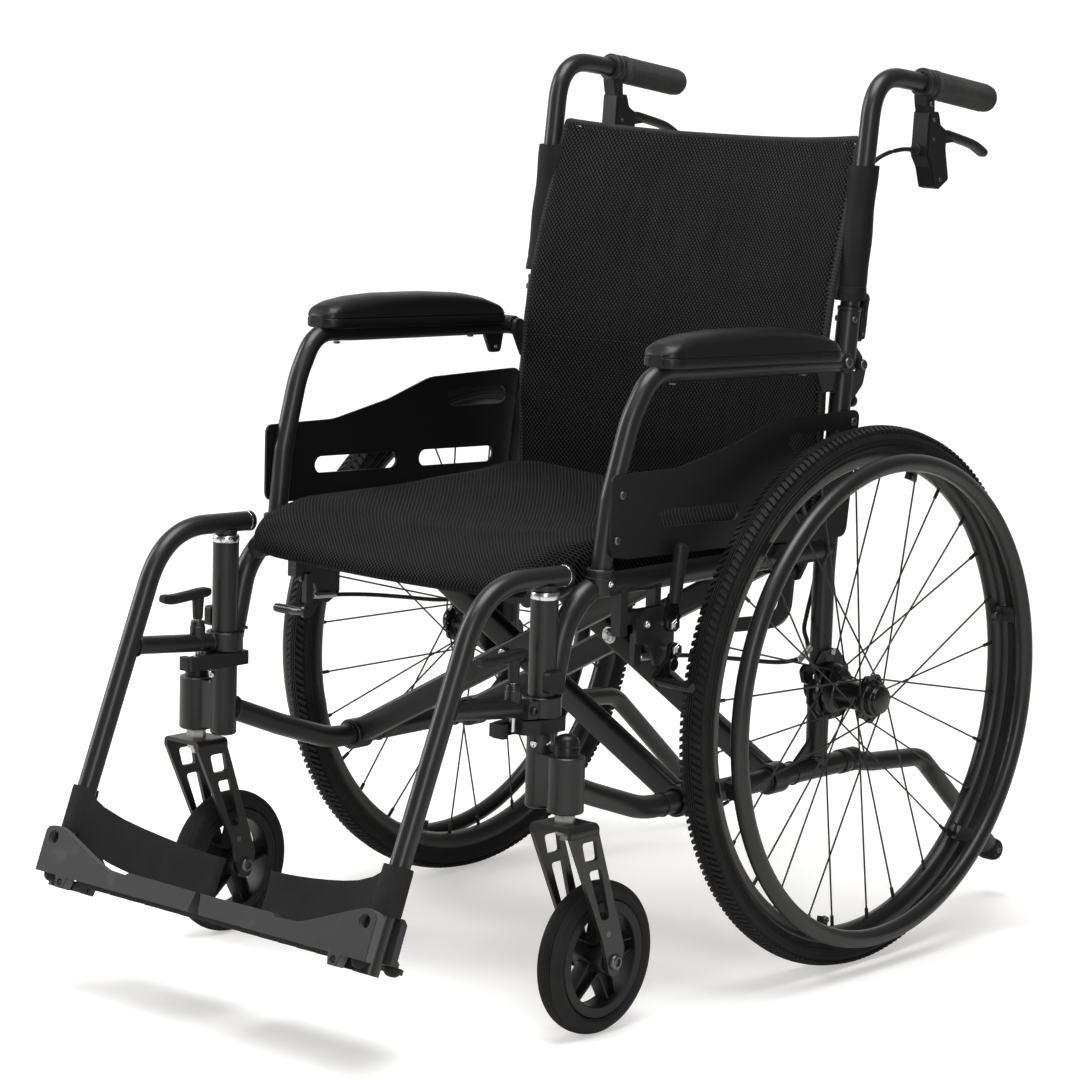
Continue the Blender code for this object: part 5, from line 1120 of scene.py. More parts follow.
jaw = flat_line([(0.216, -0.449), (0.216, -0.498), (0.220, -0.526), (0.225, -0.534), (0.240, -0.534),
                 (0.240, -0.5250),
                 (0.229, -0.5250), (0.229, -0.5035), (0.240, -0.5035), (0.252, -0.488), (0.252, -0.449)],
                [0.004, 0.01, 0.006, 0.003, 0.002, 0.002, 0.004, 0.004, 0.006, 0.008, 0.004], 4)
corner.plate(jaw, 0.0150, Matrix.Translation((0, 0, 0.3220)))
corner.block((0.2200, -0.5330, 0.3225), (0.2290, -0.4900, 0.3365))
stop_edge = flat_line([(-0.4820, 0.3640), (-0.4580, 0.3640), (-0.4580, 0.3860), (-0.4820, 0.3860)], 0.004, 4)
corner.upright(stop_edge, FRAME_X + 0.0110, 0.0095)
for word, side in SIDES:
    piece(f"{word}_front_post", corner, f"{word}_side", [frame_paint, bright_steel, satin_plastic,
                                                         lever_plastic],
          "frame_paint", [f"{word}_front_post"], bevel=0.0008, side=side)

# %% [markdown]
# Each leg rest swings out on the front post. Its tube is one length, bent over the knee and welded to a
# short cross tube, whose collar turns round the post. A T-handle lifts a sprung pin out of the catch. At the
# foot the tube is flattened and cut slantwise to clear the footplate's hinge, and a black plug closes its
# upper end.

# %% Leg tube
LATCH_Y = -0.5127
foot = tilted(LEG_ACROSS, -0.0120, LEG_X)
leg_run = [(LEG_X + 0.003, -0.4360, 0.4798), (LEG_X + 0.003, -0.5640, 0.4835), foot]
leg = Shape()
leg.tube(arc_points(leg_run, 0.092, 16), ARM_TUBE, 28)
cross = [(LEG_X, -0.6120, 0.3600), (FRAME_X, FRONT_Y - 0.0150, 0.3480)]
leg.tube(cross, 0.0100, 24)
leg.turned(((0.0157, 0.3380), (0.0198, 0.3380), (0.0206, 0.3388), (0.0206, 0.3584), (0.0198, 0.3592),
            (0.0157, 0.3592)),
           40, Matrix.Translation((FRAME_X, FRONT_Y, 0)), closed=True)
ear_edge = flat_line([(-0.4905, 0.3390), (-0.4905, 0.3580), (-0.5060, 0.3560), (-0.5060, 0.3400)], 0.003, 4)
leg.upright(ear_edge, FRAME_X + 0.0040, 0.0100)
leg.rod((0.2335, LATCH_Y, 0.3440), (0.2335, LATCH_Y, 0.3700), 0.0086, 24)
leg.turned(((0.0045, 0.3690), (0.0078, 0.3690), (0.0078, 0.3740), (0.0070, 0.3760), (0.0045, 0.3760)), 24,
           Matrix.Translation((0.2335, LATCH_Y, 0)), closed=True)
for t, radius in ((0.05, 0.0128), (0.93, 0.0118)):
    start, end = Vector(cross[0]), Vector(cross[1])
    spot, along = start.lerp(end, t), (end - start).normalized()
    outward = along.cross(Vector((1, 0, 0))).normalized()
    bead = [spot + (outward * math.cos(a) + Vector((1, 0, 0)) * math.sin(a)) * (radius - 0.0018)
            for a in (2 * math.pi * k / 24 for k in range(24))]
    leg.tube(bead, 0.0016, 8, side=along, closed=True)
leg.mark = 1
end_way = (Vector(leg_run[0]) - Vector(leg_run[1])).normalized()
cap_at = Vector(leg_run[0])
leg.rod(cap_at - end_way * 0.004, cap_at + end_way * 0.0016, 0.0114, 28)
leg.mark = 2
leg.rod(cap_at - end_way * 0.0052, cap_at - end_way * 0.0036, 0.01135, 28)
leg.mark = 0
leg.rod((FRAME_X, FRONT_Y, 0.4676), (FRAME_X, FRONT_Y, 0.4738), 0.0122, 32)
leg.screw((FRAME_X + 0.0138, -0.4975, 0.3480), (1, 0, 0), 0.0046, 0.0038)
leg.mark = 0
hinge_x, hinge_n = 0.2035, -0.0060
lug_edge = flat_line(((hinge_x - 0.0062, hinge_n - 0.0057), (LEG_X + 0.004, hinge_n - 0.0045),
                      (LEG_X + 0.004, -0.0012),
                      (hinge_x - 0.0062, -0.0012)), 0.0022, 4)
leg.plate(lug_edge, 0.0208, plane_at(tilted(LEG_ACROSS + 0.0104, 0), (1, 0, 0), PLATE_UP))
leg.mark = 1
leg.rod(tilted(-0.0046, hinge_n, hinge_x), tilted(0.0460, hinge_n, hinge_x), 0.0030, 16)
both("hanger", leg, "hanger", [frame_paint, satin_plastic, bright_steel], "frame_paint", ["hanger"],
     bevel=0.0006)

# %% [markdown]
# The latch is a sprung pin with a moulded T-handle. Lifting the handle draws the pin out of the catch on the
# post, and then the leg rest swings out.

# %% Latch handle
latch = Shape()
latch.mark = 1
latch.rod((0.2335, LATCH_Y, 0.3265), (0.2335, LATCH_Y, 0.3990), 0.0031, 16)
latch.mark = 0
latch.turned(((0, 0.3775), (0.0050, 0.3775), (0.0056, 0.3790), (0.0064, 0.3960), (0.0070, 0.4030),
              (0, 0.4032)), 24,
             Matrix.Translation((0.2335, LATCH_Y, 0)))
bar_line = smooth_line([(0.2335, -0.5665, 0.4062), (0.2335, -0.5520, 0.4040), (0.2335, -0.5300, 0.4052),
                        (0.2335, LATCH_Y, 0.4066), (0.2335, -0.4965, 0.4070)], 24)
bar_section = flat_line([(-0.0064, -0.0050), (0.0064, -0.0050), (0.0064, 0.0056), (-0.0064, 0.0056)], 0.0042,
                        5)
latch.sweep(bar_line, bar_section, scale=lambda t: (0.72 + 0.28 * min(1, 12 * t, 12 * (1 - t)),) * 2)
both("latch_handle", latch, "hanger_latch", [lever_plastic, bright_steel], "black_plastic", ["latch_handle"],
     bevel=0.0008)

# %% [markdown]
# The footplate is an injection moulding. Its deep front lip is low near the middle of the chair and climbs
# to a tall outer cheek with a screw sunk in it, and a second cheek behind holds the tube between them. The
# tread is a thin ribbed sheet, and rubber bumpers under the outer corners stop it knocking. The plates
# nearly touch in the middle when they are down.

# %% Footplate
plate_inner, plate_outer = 0.0034, 0.2450
lip_low = hinge_n - 0.0062
knuckle = [(hinge_x - 0.0090, 0.0), (hinge_x - 0.0056, lip_low), (hinge_x + 0.0056, lip_low),
           (hinge_x + 0.0090, 0.0)]
knuckle = [knuckle[0]] + flat_line([(hinge_x - 0.0056, lip_low), (hinge_x + 0.0056, lip_low)],
                                   0) + [knuckle[-1]]
lip_top = smooth_line([(0.2370, 0.0500, 0), (0.2300, 0.0512, 0), (0.2210, 0.0490, 0), (0.1900, 0.0370, 0),
                       (0.1560, 0.0240, 0), (0.1440, 0.0205, 0)], 12)
lip_edge = [(plate_inner + 0.0044, 0.0), *knuckle, (plate_outer, 0.0), (plate_outer, 0.0440),
            (0.2420, 0.0485)]
lip_edge += [(p.x, p.y) for p in lip_top] + [(0.1120, 0.0190), (0.1060, 0.0225), (plate_inner, 0.0215)]
bore = ring_line(0.0038, 20, (hinge_x, hinge_n))
recess = ring_line(0.0072, 24, (LEG_X, 0.0380))
cheek_edge = [(0.1110, 0.0), *knuckle, (plate_outer, 0.0), (plate_outer, 0.0440), (0.2420, 0.0485)]
cheek_edge += [(p.x, p.y) for p in lip_top] + [(0.1120, 0.0190)]
strip_edge = [(plate_inner + 0.0044, 0.0), (0.1106, 0.0), (0.1110, 0.0195), (0.1060, 0.0225),
              (plate_inner, 0.0215)]
plate = Shape()
plate.mark = 1
plate.plate(cheek_edge, 0.0105, plane_at(tilted(0.0070, 0), (1, 0, 0), PLATE_UP), [bore, recess])
plate.mark = 0
plate.plate(strip_edge, 0.0110, plane_at(tilted(0.0070, 0), (1, 0, 0), PLATE_UP))
plate.plate(lip_edge, 0.0020, plane_at(tilted(-0.0035, 0), (1, 0, 0), PLATE_UP), [bore, recess])
plate.mark = 2
plate.rod(tilted(0.0064, 0.0380, LEG_X), tilted(0.0020, 0.0380, LEG_X), 0.0070, 24)
plate.screw(tilted(0.0022, 0.0380, LEG_X), -PLATE_BACK, 0.0046, 0.0030, "hex", 2)
plate.mark = 0
rear_edge = [(0.1880, 0.0030), *[(x, min(n, 0.0029)) for x, n in knuckle], (plate_outer, 0.0030),
             (plate_outer, 0.0450),
             (0.2400, 0.0498), (0.2240, 0.0500), (0.1880, 0.0200)]
plate.plate(rear_edge, 0.0095, plane_at(tilted(0.0425, 0), (1, 0, 0), PLATE_UP), [bore])
brace_edge = flat_line([(0.2050, 0.0420), (0.1760, 0.0600), (0.1560, 0.0560), (0.1560, 0.0500),
                        (0.1860, 0.0400)], 0.004, 4)
plate.plate(brace_edge, 0.0100, plane_at(tilted(0, 0.0050), (1, 0, 0), PLATE_BACK))
sheet_edge = [(plate_inner + 0.0030, 0.0060), (0.1980, 0.0060), (0.1980, 0.0980), (0.1850, 0.1150),
              (0.0300, 0.1150),
              (plate_inner + 0.0030, 0.0980)]
sheet_edge = flat_line(sheet_edge, [0, 0, 0.012, 0.012, 0.012, 0.012], 6)
plate.plate(sheet_edge, 0.0052, plane_at(tilted(0, 0.0010), (1, 0, 0), PLATE_BACK))
for k in range(9):
    u = 0.0430 + 0.0082 * k
    plate.plate(flat_line([(0.0200, u), (0.1860, u), (0.1860, u + 0.0036), (0.0200, u + 0.0036)], 0.0015, 3),
                0.0026,
                plane_at(tilted(0, 0.0052), (1, 0, 0), PLATE_BACK))
for k in range(7):
    x = 0.0300 + 0.0270 * k
    plate.plate([(x, 0.0100), (x + 0.0030, 0.0100), (x + 0.0030, 0.1120), (x, 0.1120)], 0.0060,
                plane_at(tilted(0, -0.0050), (1, 0, 0), PLATE_BACK))
plate.mark = 3
for u, x in ((0.0060, 0.2290), (0.0560, 0.2290)):
    plate.turned(((0, -0.0085), (0.0046, -0.0078), (0.0078, -0.0054), (0.0092, -0.0015), (0.0094, 0.0020),
                  (0, 0.0022)), 28, plane_at(tilted(u, 0, x), (1, 0, 0), PLATE_BACK))
both("footplate", plate, "footplate", [plate_plastic, cheek_plastic, satin_plastic, tyre_rubber],
     "grey_plastic",
     ["footplate"], bevel=0.0010)

# %% [markdown]
# Four aluminium tubes are notched and welded into each side frame. The top rail sweeps down at the front to
# meet the post, and it carries a socket for the armrest's foot, two lugs for the wheel lock and a lug for
# the folding link. TIG weld beads ring the joints. The lugs of the two sides differ by an arm's thickness,
# so this piece is drawn once for each side.

# %% Top rail
TOP_Z, LOWER_Z, REAR_Y = 0.4635, 0.2130, 0.0050
LINK_Y = {1: -0.0385, -1: -0.0945}
LINK_THICK = 0.0060
LINK_TOP, LINK_FOOT = (0.2180, 0.4400), (0.0922, 0.3927)
LOCK_AT, SHOE_AT = (-0.2960, 0.4162), (-0.2910, 0.3890)
ARM_FOOT_X = 0.239


def top_rail(side):
    rail = Shape()
    run = [(FRAME_X, -0.4580, 0.3520), (FRAME_X, -0.4400, 0.4280), (FRAME_X, -0.4050, TOP_Z),
           (FRAME_X, REAR_Y, TOP_Z)]
    rail.tube(arc_points(run, 0.075, 12), FRAME_TUBE, 28)
    rail.bead((FRAME_X, -0.4545, 0.3640), (0, 0.35, 1), 0.0132, 0.0017)
    rail.bead((FRAME_X, REAR_Y - 0.0120, TOP_Z), (0, 1, 0), 0.0128, 0.0016)
    socket = Vector((ARM_FOOT_X, -0.3885, 0))
    rail.turned(((0.0113, 0.4565), (0.0138, 0.4565), (0.0140, 0.4780), (0.0148, 0.4788), (0.0148, 0.4822),
                 (0.0140, 0.4830), (0.0113, 0.4830)), 32, Matrix.Translation(socket), closed=True)
    rail.bead((ARM_FOOT_X, -0.3885, 0.4735), (0, 0, 1), 0.0144, 0.0014)
    rail.block((0.2335, -0.3620, 0.4080), (0.2465, -0.3505, 0.4600))
    rail.block((0.2338, -0.3560, 0.4195), (0.2462, -0.2900, 0.4325))
    rail.block((0.2335, -0.3060, 0.4230), (0.2465, -0.2965, 0.4600))
    plate_edge = flat_line(((-0.3400, 0.3980), (-0.3420, 0.4240), (-0.3260, 0.4345), (-0.2860, 0.4345),
                            (-0.2780, 0.4220), (-0.2780, 0.3800), (-0.2960, 0.3700), (-0.3080, 0.3720),
                            (-0.3200, 0.3960)),
                           [0.006, 0.004, 0.006, 0.006, 0.004, 0.006, 0.006, 0.006, 0.006], 5)
    rail.upright(plate_edge, 0.2462, 0.0048, [ring_line(0.0030, 16, (-0.3240, 0.4180)),
                                              ring_line(0.0026, 16, (-0.2860, 0.3800))])
    rail.block((0.2400, -0.3380, 0.3745), (0.2470, -0.3270, 0.4080))
    rail.mark = 1
    for y, z in (LOCK_AT, SHOE_AT):
        rail.turned(((0, 0.2480), (0.0038, 0.2480), (0.0038, 0.2645), (0.0068, 0.2647), (0.0072, 0.2653),
                     (0.0072, 0.2674), (0.0066, 0.2682), (0.0044, 0.2683), (0.0040, 0.2700), (0, 0.2703)), 6,
                    about_x((0, y, z)))
    rail.screw((0.2510, -0.3240, 0.4180), (1, 0, 0), 0.0040, 0.0026)
    rail.screw((0.2530, -0.3885, 0.4680), (1, 0, 0), 0.0036, 0.0024)
    rail.mark = 0
    half = LINK_THICK / 2
    y = LINK_Y[side]
    lug_y = y + half + 0.001 if side == 1 else y - half - 0.007
    lug_edge = flat_line(((0.2085, 0.4300), (0.2275, 0.4300), (0.2420, 0.4600), (0.2085, 0.4540)),
                         [0.007, 0.007, 0, 0.004], 5)
    rail.plate([(x, -z) for x, z in lug_edge], 0.0060, plane_at((0, lug_y, 0), (1, 0, 0), (0, 0, -1)))
    rail.mark = 1
    back = 1 if side == 1 else -1
    px, pz = LINK_TOP
    rail.rod((px, y + back * (half + 0.008), pz), (px, y - back * (half + 0.0004), pz), 0.0036, 16)
    rail.screw((px, y - back * (half + 0.0002), pz), (0, -back, 0), 0.0062, 0.0036)
    return rail


for word, side in SIDES:
    piece(f"{word}_top_rail", top_rail(side), f"{word}_side", [frame_paint, bright_steel], "frame_paint",
          [f"{word}_top_rail"], bevel=0.0007, side=side)

# %% [markdown]
# The lower rail rises to the front post and ends behind in a socket for the anti-tip bar, which bends down
# to a small rubber tip. A sprung button holds the bar, and pressing it lets the bar slide out.

# %% Lower rail and anti-tip bar
lower = Shape()
lower_run = [(FRAME_X, -0.4600, 0.2710), (FRAME_X, -0.3850, 0.2420), (FRAME_X, -0.3000, LOWER_Z),
             (FRAME_X, 0.0600, LOWER_Z)]
lower.tube(arc_points(lower_run, 0.140, 12), FRAME_TUBE, 28)
lower.bead((FRAME_X, -0.4560, 0.2694), (0, 1, -0.39), 0.0130, 0.0017)
gusset = [(-0.0380, LOWER_Z + 0.0110), (-0.0070, LOWER_Z + 0.0110), (-0.0070, LOWER_Z + 0.0360)]
lower.upright(flat_line(gusset, [0.001, 0, 0.001], 3), FRAME_X - 0.0024, 0.0048)
lower.turned(((0.0118, 0.0480), (0.0136, 0.0480), (0.0140, 0.0486), (0.0140, 0.0604), (0.0136, 0.0610),
              (0.0118, 0.0610)),
             32, Matrix.Translation((FRAME_X, 0, LOWER_Z)) @ Matrix.Rotation(-math.pi / 2, 4, "X"),
             closed=True)
for y in (-0.236, -0.076, -0.256, -0.056):
    lower.bead((FRAME_X, y + (0.0145 if y in (-0.236, -0.056) else -0.0145), LOWER_Z), (0, 1, 0), 0.0127,
               0.0010)
both("lower_rail", lower, "side", [frame_paint], "frame_paint", ["lower_rail"], bevel=0.0006)

tipper = Shape()
tipper_run = [(FRAME_X, 0.0620, LOWER_Z), (FRAME_X, 0.1120, 0.2040), (FRAME_X, 0.2090, 0.1960),
              (FRAME_X, 0.3560, 0.0680)]
tipper.tube(arc_points(tipper_run, [0, 0.05, 0.050, 0], 12), ARM_TUBE, 28)
tipper.turned(((0.0110, 0.0628), (0.0132, 0.0628), (0.0138, 0.0636), (0.0138, 0.0780), (0.0130, 0.0790),
               (0.0110, 0.0790)),
              32, Matrix.Translation((FRAME_X, 0, LOWER_Z)) @ Matrix.Rotation(-math.pi / 2, 4, "X"),
              closed=True)
tipper.mark = 1
tipper.turned(((0, 0.2470), (0.0034, 0.2470), (0.0034, 0.2500), (0.0026, 0.2512), (0, 0.2515)), 20,
              about_x((0, 0.0690, LOWER_Z - 0.0008)))
tipper.mark = 2
tipper.turned(((0, -0.0130), (0.0100, -0.0128), (0.0122, -0.0105), (0.0134, -0.0060), (0.0135, 0.0),
               (0.0134, 0.0060),
               (0.0122, 0.0105), (0.0100, 0.0128), (0, 0.0130)), 40, about_x((FRAME_X, 0.3650, 0.0590)))
tipper.mark = 0
tip_end, tip_way = Vector((FRAME_X, 0.3560, 0.0680)), Vector((0, 0.147, -0.128)).normalized()
tipper.rod(tip_end - tip_way * 0.014, tip_end + tip_way * 0.003, 0.0122, 28)
tipper.mark = 1
tipper.screw((FRAME_X + 0.0128, 0.3650, 0.0590), (1, 0, 0), 0.0038, 0.0018)
both("anti_tipper", tipper, "side", [frame_paint, dark_steel, tyre_rubber], "frame_paint", ["anti_tipper"],
     bevel=0.0006)

# %% [markdown]
# The rear post stands upright to the seat and then leans back. Two ears at its top hold the pin that the
# back folds on. The armrest's pivot is a plate welded to its side, and two black hand knobs behind hold the
# axle's adjusting plate.

# %% Rear post
CANE_X, POST_TOP, RECLINE_FROM = 0.231, 0.6635, 0.440
BACK_AT, ARM_AT = (0.0520, 0.6680), (0.0020, 0.6750)


def post_y(z):
    return REAR_Y + max(0.0, z - RECLINE_FROM) * math.tan(RECLINE)


post = Shape()
post_run = [(FRAME_X, REAR_Y, LOWER_Z + 0.004), (FRAME_X, REAR_Y, RECLINE_FROM), (CANE_X, post_y(POST_TOP),
    POST_TOP)]
post.tube(arc_points(post_run, 0.10, 8), FRAME_TUBE, 28)
post.bead((FRAME_X, REAR_Y, LOWER_Z + 0.0128), (0, 0, 1), 0.0130, 0.0017)
by, bz = BACK_AT
ear = flat_line(((post_y(0.620), 0.6200), (0.0540, 0.6460), (by + 0.0076, bz - 0.002),
                 (by + 0.004, bz + 0.0076),
                 (by - 0.0068, bz + 0.005), (by - 0.0068, bz - 0.0055), (post_y(0.655), 0.6560)),
                [0.002, 0.01, 0.006, 0.006, 0.005, 0.004, 0], 5)
for x in (CANE_X - 0.0110, CANE_X + 0.0065):
    post.upright(ear, x, 0.0045, [ring_line(0.0034, 16, BACK_AT)])
ay, az = ARM_AT
bracket = flat_line(((ay - 0.0090, az - 0.006), (ay - 0.005, az + 0.0088), (ay + 0.006, az + 0.0082),
                     (0.0200, 0.6620),
                     (0.0240, 0.6400), (0.0100, 0.6380)), [0.006, 0.007, 0.006, 0.010, 0.004, 0.004], 5)
post.upright(bracket, 0.2290, 0.0055)
post.turned(((0, 0.2230), (0.0135, 0.2230), (0.0145, 0.2240), (0.0145, 0.2465), (0.0135, 0.2475),
             (0, 0.2475)), 32,
            about_x((0, REAR_Y, WHEEL_AT.z)))
post.mark = 1
post.rod((CANE_X - 0.0130, by, bz), (CANE_X + 0.0118, by, bz), 0.0033, 16)
post.screw((CANE_X + 0.0110, by, bz), (1, 0, 0), 0.0062, 0.0034)
post.screw((CANE_X - 0.0110, by, bz), (-1, 0, 0), 0.0060, 0.0040, "nut")
post.rod((0.2300, ay, az), (0.2590, ay, az), 0.0033, 16)
post.screw((0.2584, ay, az), (1, 0, 0), 0.0062, 0.0030)
post.screw((FRAME_X + 0.0118, post_y(0.5900), 0.5900), (1, 0, 0), 0.0044, 0.0026)
post.mark = 2
for z in (0.6280, 0.6060):
    root = Vector((FRAME_X - 0.002, post_y(z) + 0.0100, z))
    place = Matrix.Translation(root) @ Matrix.Rotation(-math.pi / 2 - 0.09, 4, "X")
    post.turned(((0, 0), (0.0038, 0), (0.0042, 0.0040), (0.0066, 0.0050), (0.0072, 0.0070), (0.0070, 0.0120),
                 (0.0058, 0.0135), (0, 0.0138)), 12, place)
both("rear_post", post, "side", [frame_paint, dark_steel, satin_plastic], "frame_paint", ["rear_post"],
     bevel=0.0006)

# %% [markdown]
# A drum brake sits between the post and the wheel. Its backing plate is pressed steel with clipped corners,
# and the cable pulls the arm at its front. The brake cable meets the wheel lock's cable at that arm.

# %% Hub brake
drum_z = WHEEL_AT.z
brake = Shape()
octagon = flat_line([(0.0395 * math.cos(math.radians(22.5 + 45 * k)) + 0.0010,
                      0.0435 * math.sin(math.radians(22.5 + 45 * k)) + drum_z + 0.0060) for k in range(8)],
                    0.005, 4)
brake.upright(octagon, 0.2478, 0.0034, [ring_line(0.0075, 24, (0, drum_z))])
inner_edge = flat_line([(0.0330 * math.cos(math.radians(22.5 + 45 * k)),
                         0.0350 * math.sin(math.radians(22.5 + 45 * k)) + drum_z)
                        for k in range(8)], 0.005, 4)
brake.upright(inner_edge, 0.2510, 0.0016, [ring_line(0.0075, 24, (0, drum_z))])
brake.turned(((0.0070, 0.2505), (0.0318, 0.2505), (0.0320, 0.2575), (0.0300, 0.2600), (0.0240, 0.2604),
              (0.0070, 0.2604)),
             48, about_x((0, 0, drum_z)), closed=True)
arm_edge = flat_line(((-0.0240, drum_z + 0.0060), (-0.0490, drum_z + 0.0150), (-0.0545, drum_z + 0.0300),
                      (-0.0450, drum_z + 0.0365), (-0.0240, drum_z + 0.0300)), [0.004, 0.006, 0.006, 0.006,
                          0.004], 5)
brake.upright(arm_edge, 0.2500, 0.0050, [ring_line(0.0022, 14, (-0.0480, drum_z + 0.0270))])
brake.mark = 1
brake.screw((0.2512, 0.0040, drum_z + 0.0440), (1, 0, 0), 0.0044, 0.0034, "nut")
brake.screw((0.2526, -0.0310, drum_z + 0.0200), (1, 0, 0), 0.0040, 0.0034, "hexhead")
brake.screw((0.2512, 0.0300, drum_z + 0.0100), (1, 0, 0), 0.0036, 0.0028)
both("hub_brake", brake, "side", [gloss_black, bright_steel], "gloss_black", ["hub_brake"], bevel=0.0006)

# %% [markdown]
# The armrest is one tube, bent twice, that drops into the socket in front and turns on the pivot bolt
# behind, so that it flips up and back. Its pad is moulded foam with a tough skin: a straight band at the
# bottom, a groove, and then a crowned top whose side crease climbs from the front tip. The cross-sections
# are drawn one by one along the pad and then skinned.

# %% Armrest tube
ARM_X, GUARD_X = 0.247, 0.2525
GUARD_BOLTS = ((-0.3765, 0.5600), (-0.3830, 0.5130))
arm_run = [(ARM_FOOT_X, -0.3870, 0.4816), (0.2410, -0.3780, 0.5550), (0.2440, -0.3540, 0.6350),
           (ARM_X, -0.3250, 0.6840), (ARM_X, -0.2600, 0.6810), (ARM_X, ARM_AT[0] - 0.0020, ARM_AT[1])]
arm_tube = Shape()
arm_tube.tube(arc_points(arm_run, [0, 0.04, 0.12, 0.055, 0.04, 0], 12), ARM_TUBE, 28)
arm_tube.upright(flat_line([(-0.0420, 0.6670), (-0.0080, 0.6670), (-0.0130, 0.6430), (-0.0300, 0.6430)],
                           [0, 0, 0.006, 0.006], 5), ARM_X - 0.0022, 0.0044,
                 [ring_line(0.0026, 14, (-0.0210, 0.6500))])
pivot_boss = about_x((0, *ARM_AT))
arm_tube.turned(((0.0042, 0.2365), (0.0105, 0.2365), (0.0112, 0.2372), (0.0112, 0.2568), (0.0105, 0.2575),
                 (0.0042, 0.2575)), 28, pivot_boss, closed=True)
for y, z in GUARD_BOLTS:
    arm_tube.rod((0.2400, y, z), (GUARD_X - 0.0002, y, z), 0.0052, 20)
arm_tube.mark = 1
for y in (-0.2900, -0.0650):
    arm_tube.screw((ARM_X, y, 0.6704 - 0.0200 * (y + 0.2900)), (0, 0, -1), 0.0040, 0.0022)
both("armrest", arm_tube, "armrest", [frame_paint, dark_steel], "frame_paint", ["armrest"], bevel=0.0006)

# %% [markdown]
# The arm pad is self-skinned foam on a stiff base. Its skin rolls over the edge in one smooth crown, which
# is fullest towards the front, and a shallow groove shows where the foam's mould met the base.

# %% Arm pad
PAD_ENDS, PAD_HALF, PAD_X = (-0.3220, -0.0185), 0.0252, 0.2485
PAD_CROWN = ((-0.3220, 0.0030), (-0.3140, 0.0120), (-0.3000, 0.0180), (-0.2740, 0.0228), (-0.2300, 0.0258),
             (-0.1500, 0.0265), (-0.0900, 0.0240), (-0.0560, 0.0190), (-0.0340, 0.0118), (-0.0185, 0.0030))
pad = Shape()
pad_rings = []
for k in range(61):
    y = PAD_ENDS[0] + (PAD_ENDS[1] - PAD_ENDS[0]) * (1 - math.cos(math.pi * k / 60)) / 2
    round_at = 0.0190
    depth = max(min(y - PAD_ENDS[0], PAD_ENDS[1] - y, round_at), 0.0003)
    half = PAD_HALF - round_at + math.sqrt(max(round_at ** 2 - (round_at - depth) ** 2, 0))
    base = 0.6880 - (y - PAD_ENDS[0]) * 0.0300
    band = base + 0.0112
    crown = float(np.interp(y, *zip(*PAD_CROWN)))
    share = min(max((y - PAD_ENDS[0]) / 0.16, 0), 1)
    crease = crown * (0.10 + 0.42 * share * share * (3 - 2 * share))
    lean = half * (0.975 - 0.13 * share)
    side_line = [(half - 0.0022, base), (half - 0.0006, base + 0.0008), (half, base + 0.0026),
                 (half, band - 0.0014),
                 (half - 0.0004, band - 0.0006), (half - 0.0016, band - 0.0002),
                 (half - 0.0016, band + 0.0006),
                 (half * 0.985, band + 0.0012), (half * 0.5 * 0.985 + lean * 0.5,
                                                 band + 0.0012 + crease * 0.5),
                 (lean, band + 0.0012 + crease)]
    for j in range(1, 9):
        a = math.pi / 2 * j / 8
        side_line.append((lean * math.cos(a) ** 0.78,
                          band + 0.0012 + crease + (crown - crease) * math.sin(a) ** 0.92))
    ring = [(x, z) for x, z in side_line] + [(-x, z) for x, z in side_line[-2::-1]]
    pad_rings.append([(PAD_X + x, y, z) for x, z in ring])
pad.skin(pad_rings)
both("arm_pad", pad, "armrest", [satin_plastic], "black_plastic", ["arm_pad"], sharp=50)

# %% [markdown]
# The skirt guard keeps clothes off the wheel. It is sheet, cut to a wave along the top with two long slots
# below and one above, and held to the armrest by three pan-head screws.

# %% Skirt guard
guard_edge = flat_line(((-0.3930, 0.5820), (-0.3930, 0.4970), (-0.3640, 0.4920), (-0.2000, 0.4880),
                        (0.0150, 0.4790), (0.0330, 0.6210), (-0.0560, 0.6200), (-0.1250, 0.6190),
                        (-0.1950, 0.5980), (-0.2850, 0.5810)),
                       [0.010, 0.012, 0.03, 0.1, 0.014, 0.012, 0.03, 0.07, 0.11, 0.10], 8)
guard_slots = [slot_line((-0.3060, 0.5300), (-0.1900, 0.5260), 0.0095, 10),
               slot_line((-0.1330, 0.5240), (-0.0230, 0.5200), 0.0095, 10),
               slot_line((-0.0850, 0.5920), (-0.0030, 0.5900), 0.0105, 10)]
guard = Shape()
guard.upright(guard_edge, GUARD_X, 0.0030, guard_slots)
guard.mark = 1
for y, z in (*GUARD_BOLTS, (0.0200, 0.6080)):
    guard.screw((GUARD_X + 0.0029, y, z), (1, 0, 0), 0.0046, 0.0026)
both("skirt_guard", guard, "armrest", [guard_plastic, dark_steel], "black_plastic", ["skirt_guard"],
     bevel=0.0008)

# %% [markdown]
# The wheel lock is a toggle. The hand lever turns on the upper bolt and its link pushes the cranked arm on
# the lower bolt, whose bar presses into the tyre. The parts are stamped plate, painted gloss black, with a
# moulded cap on the lever.

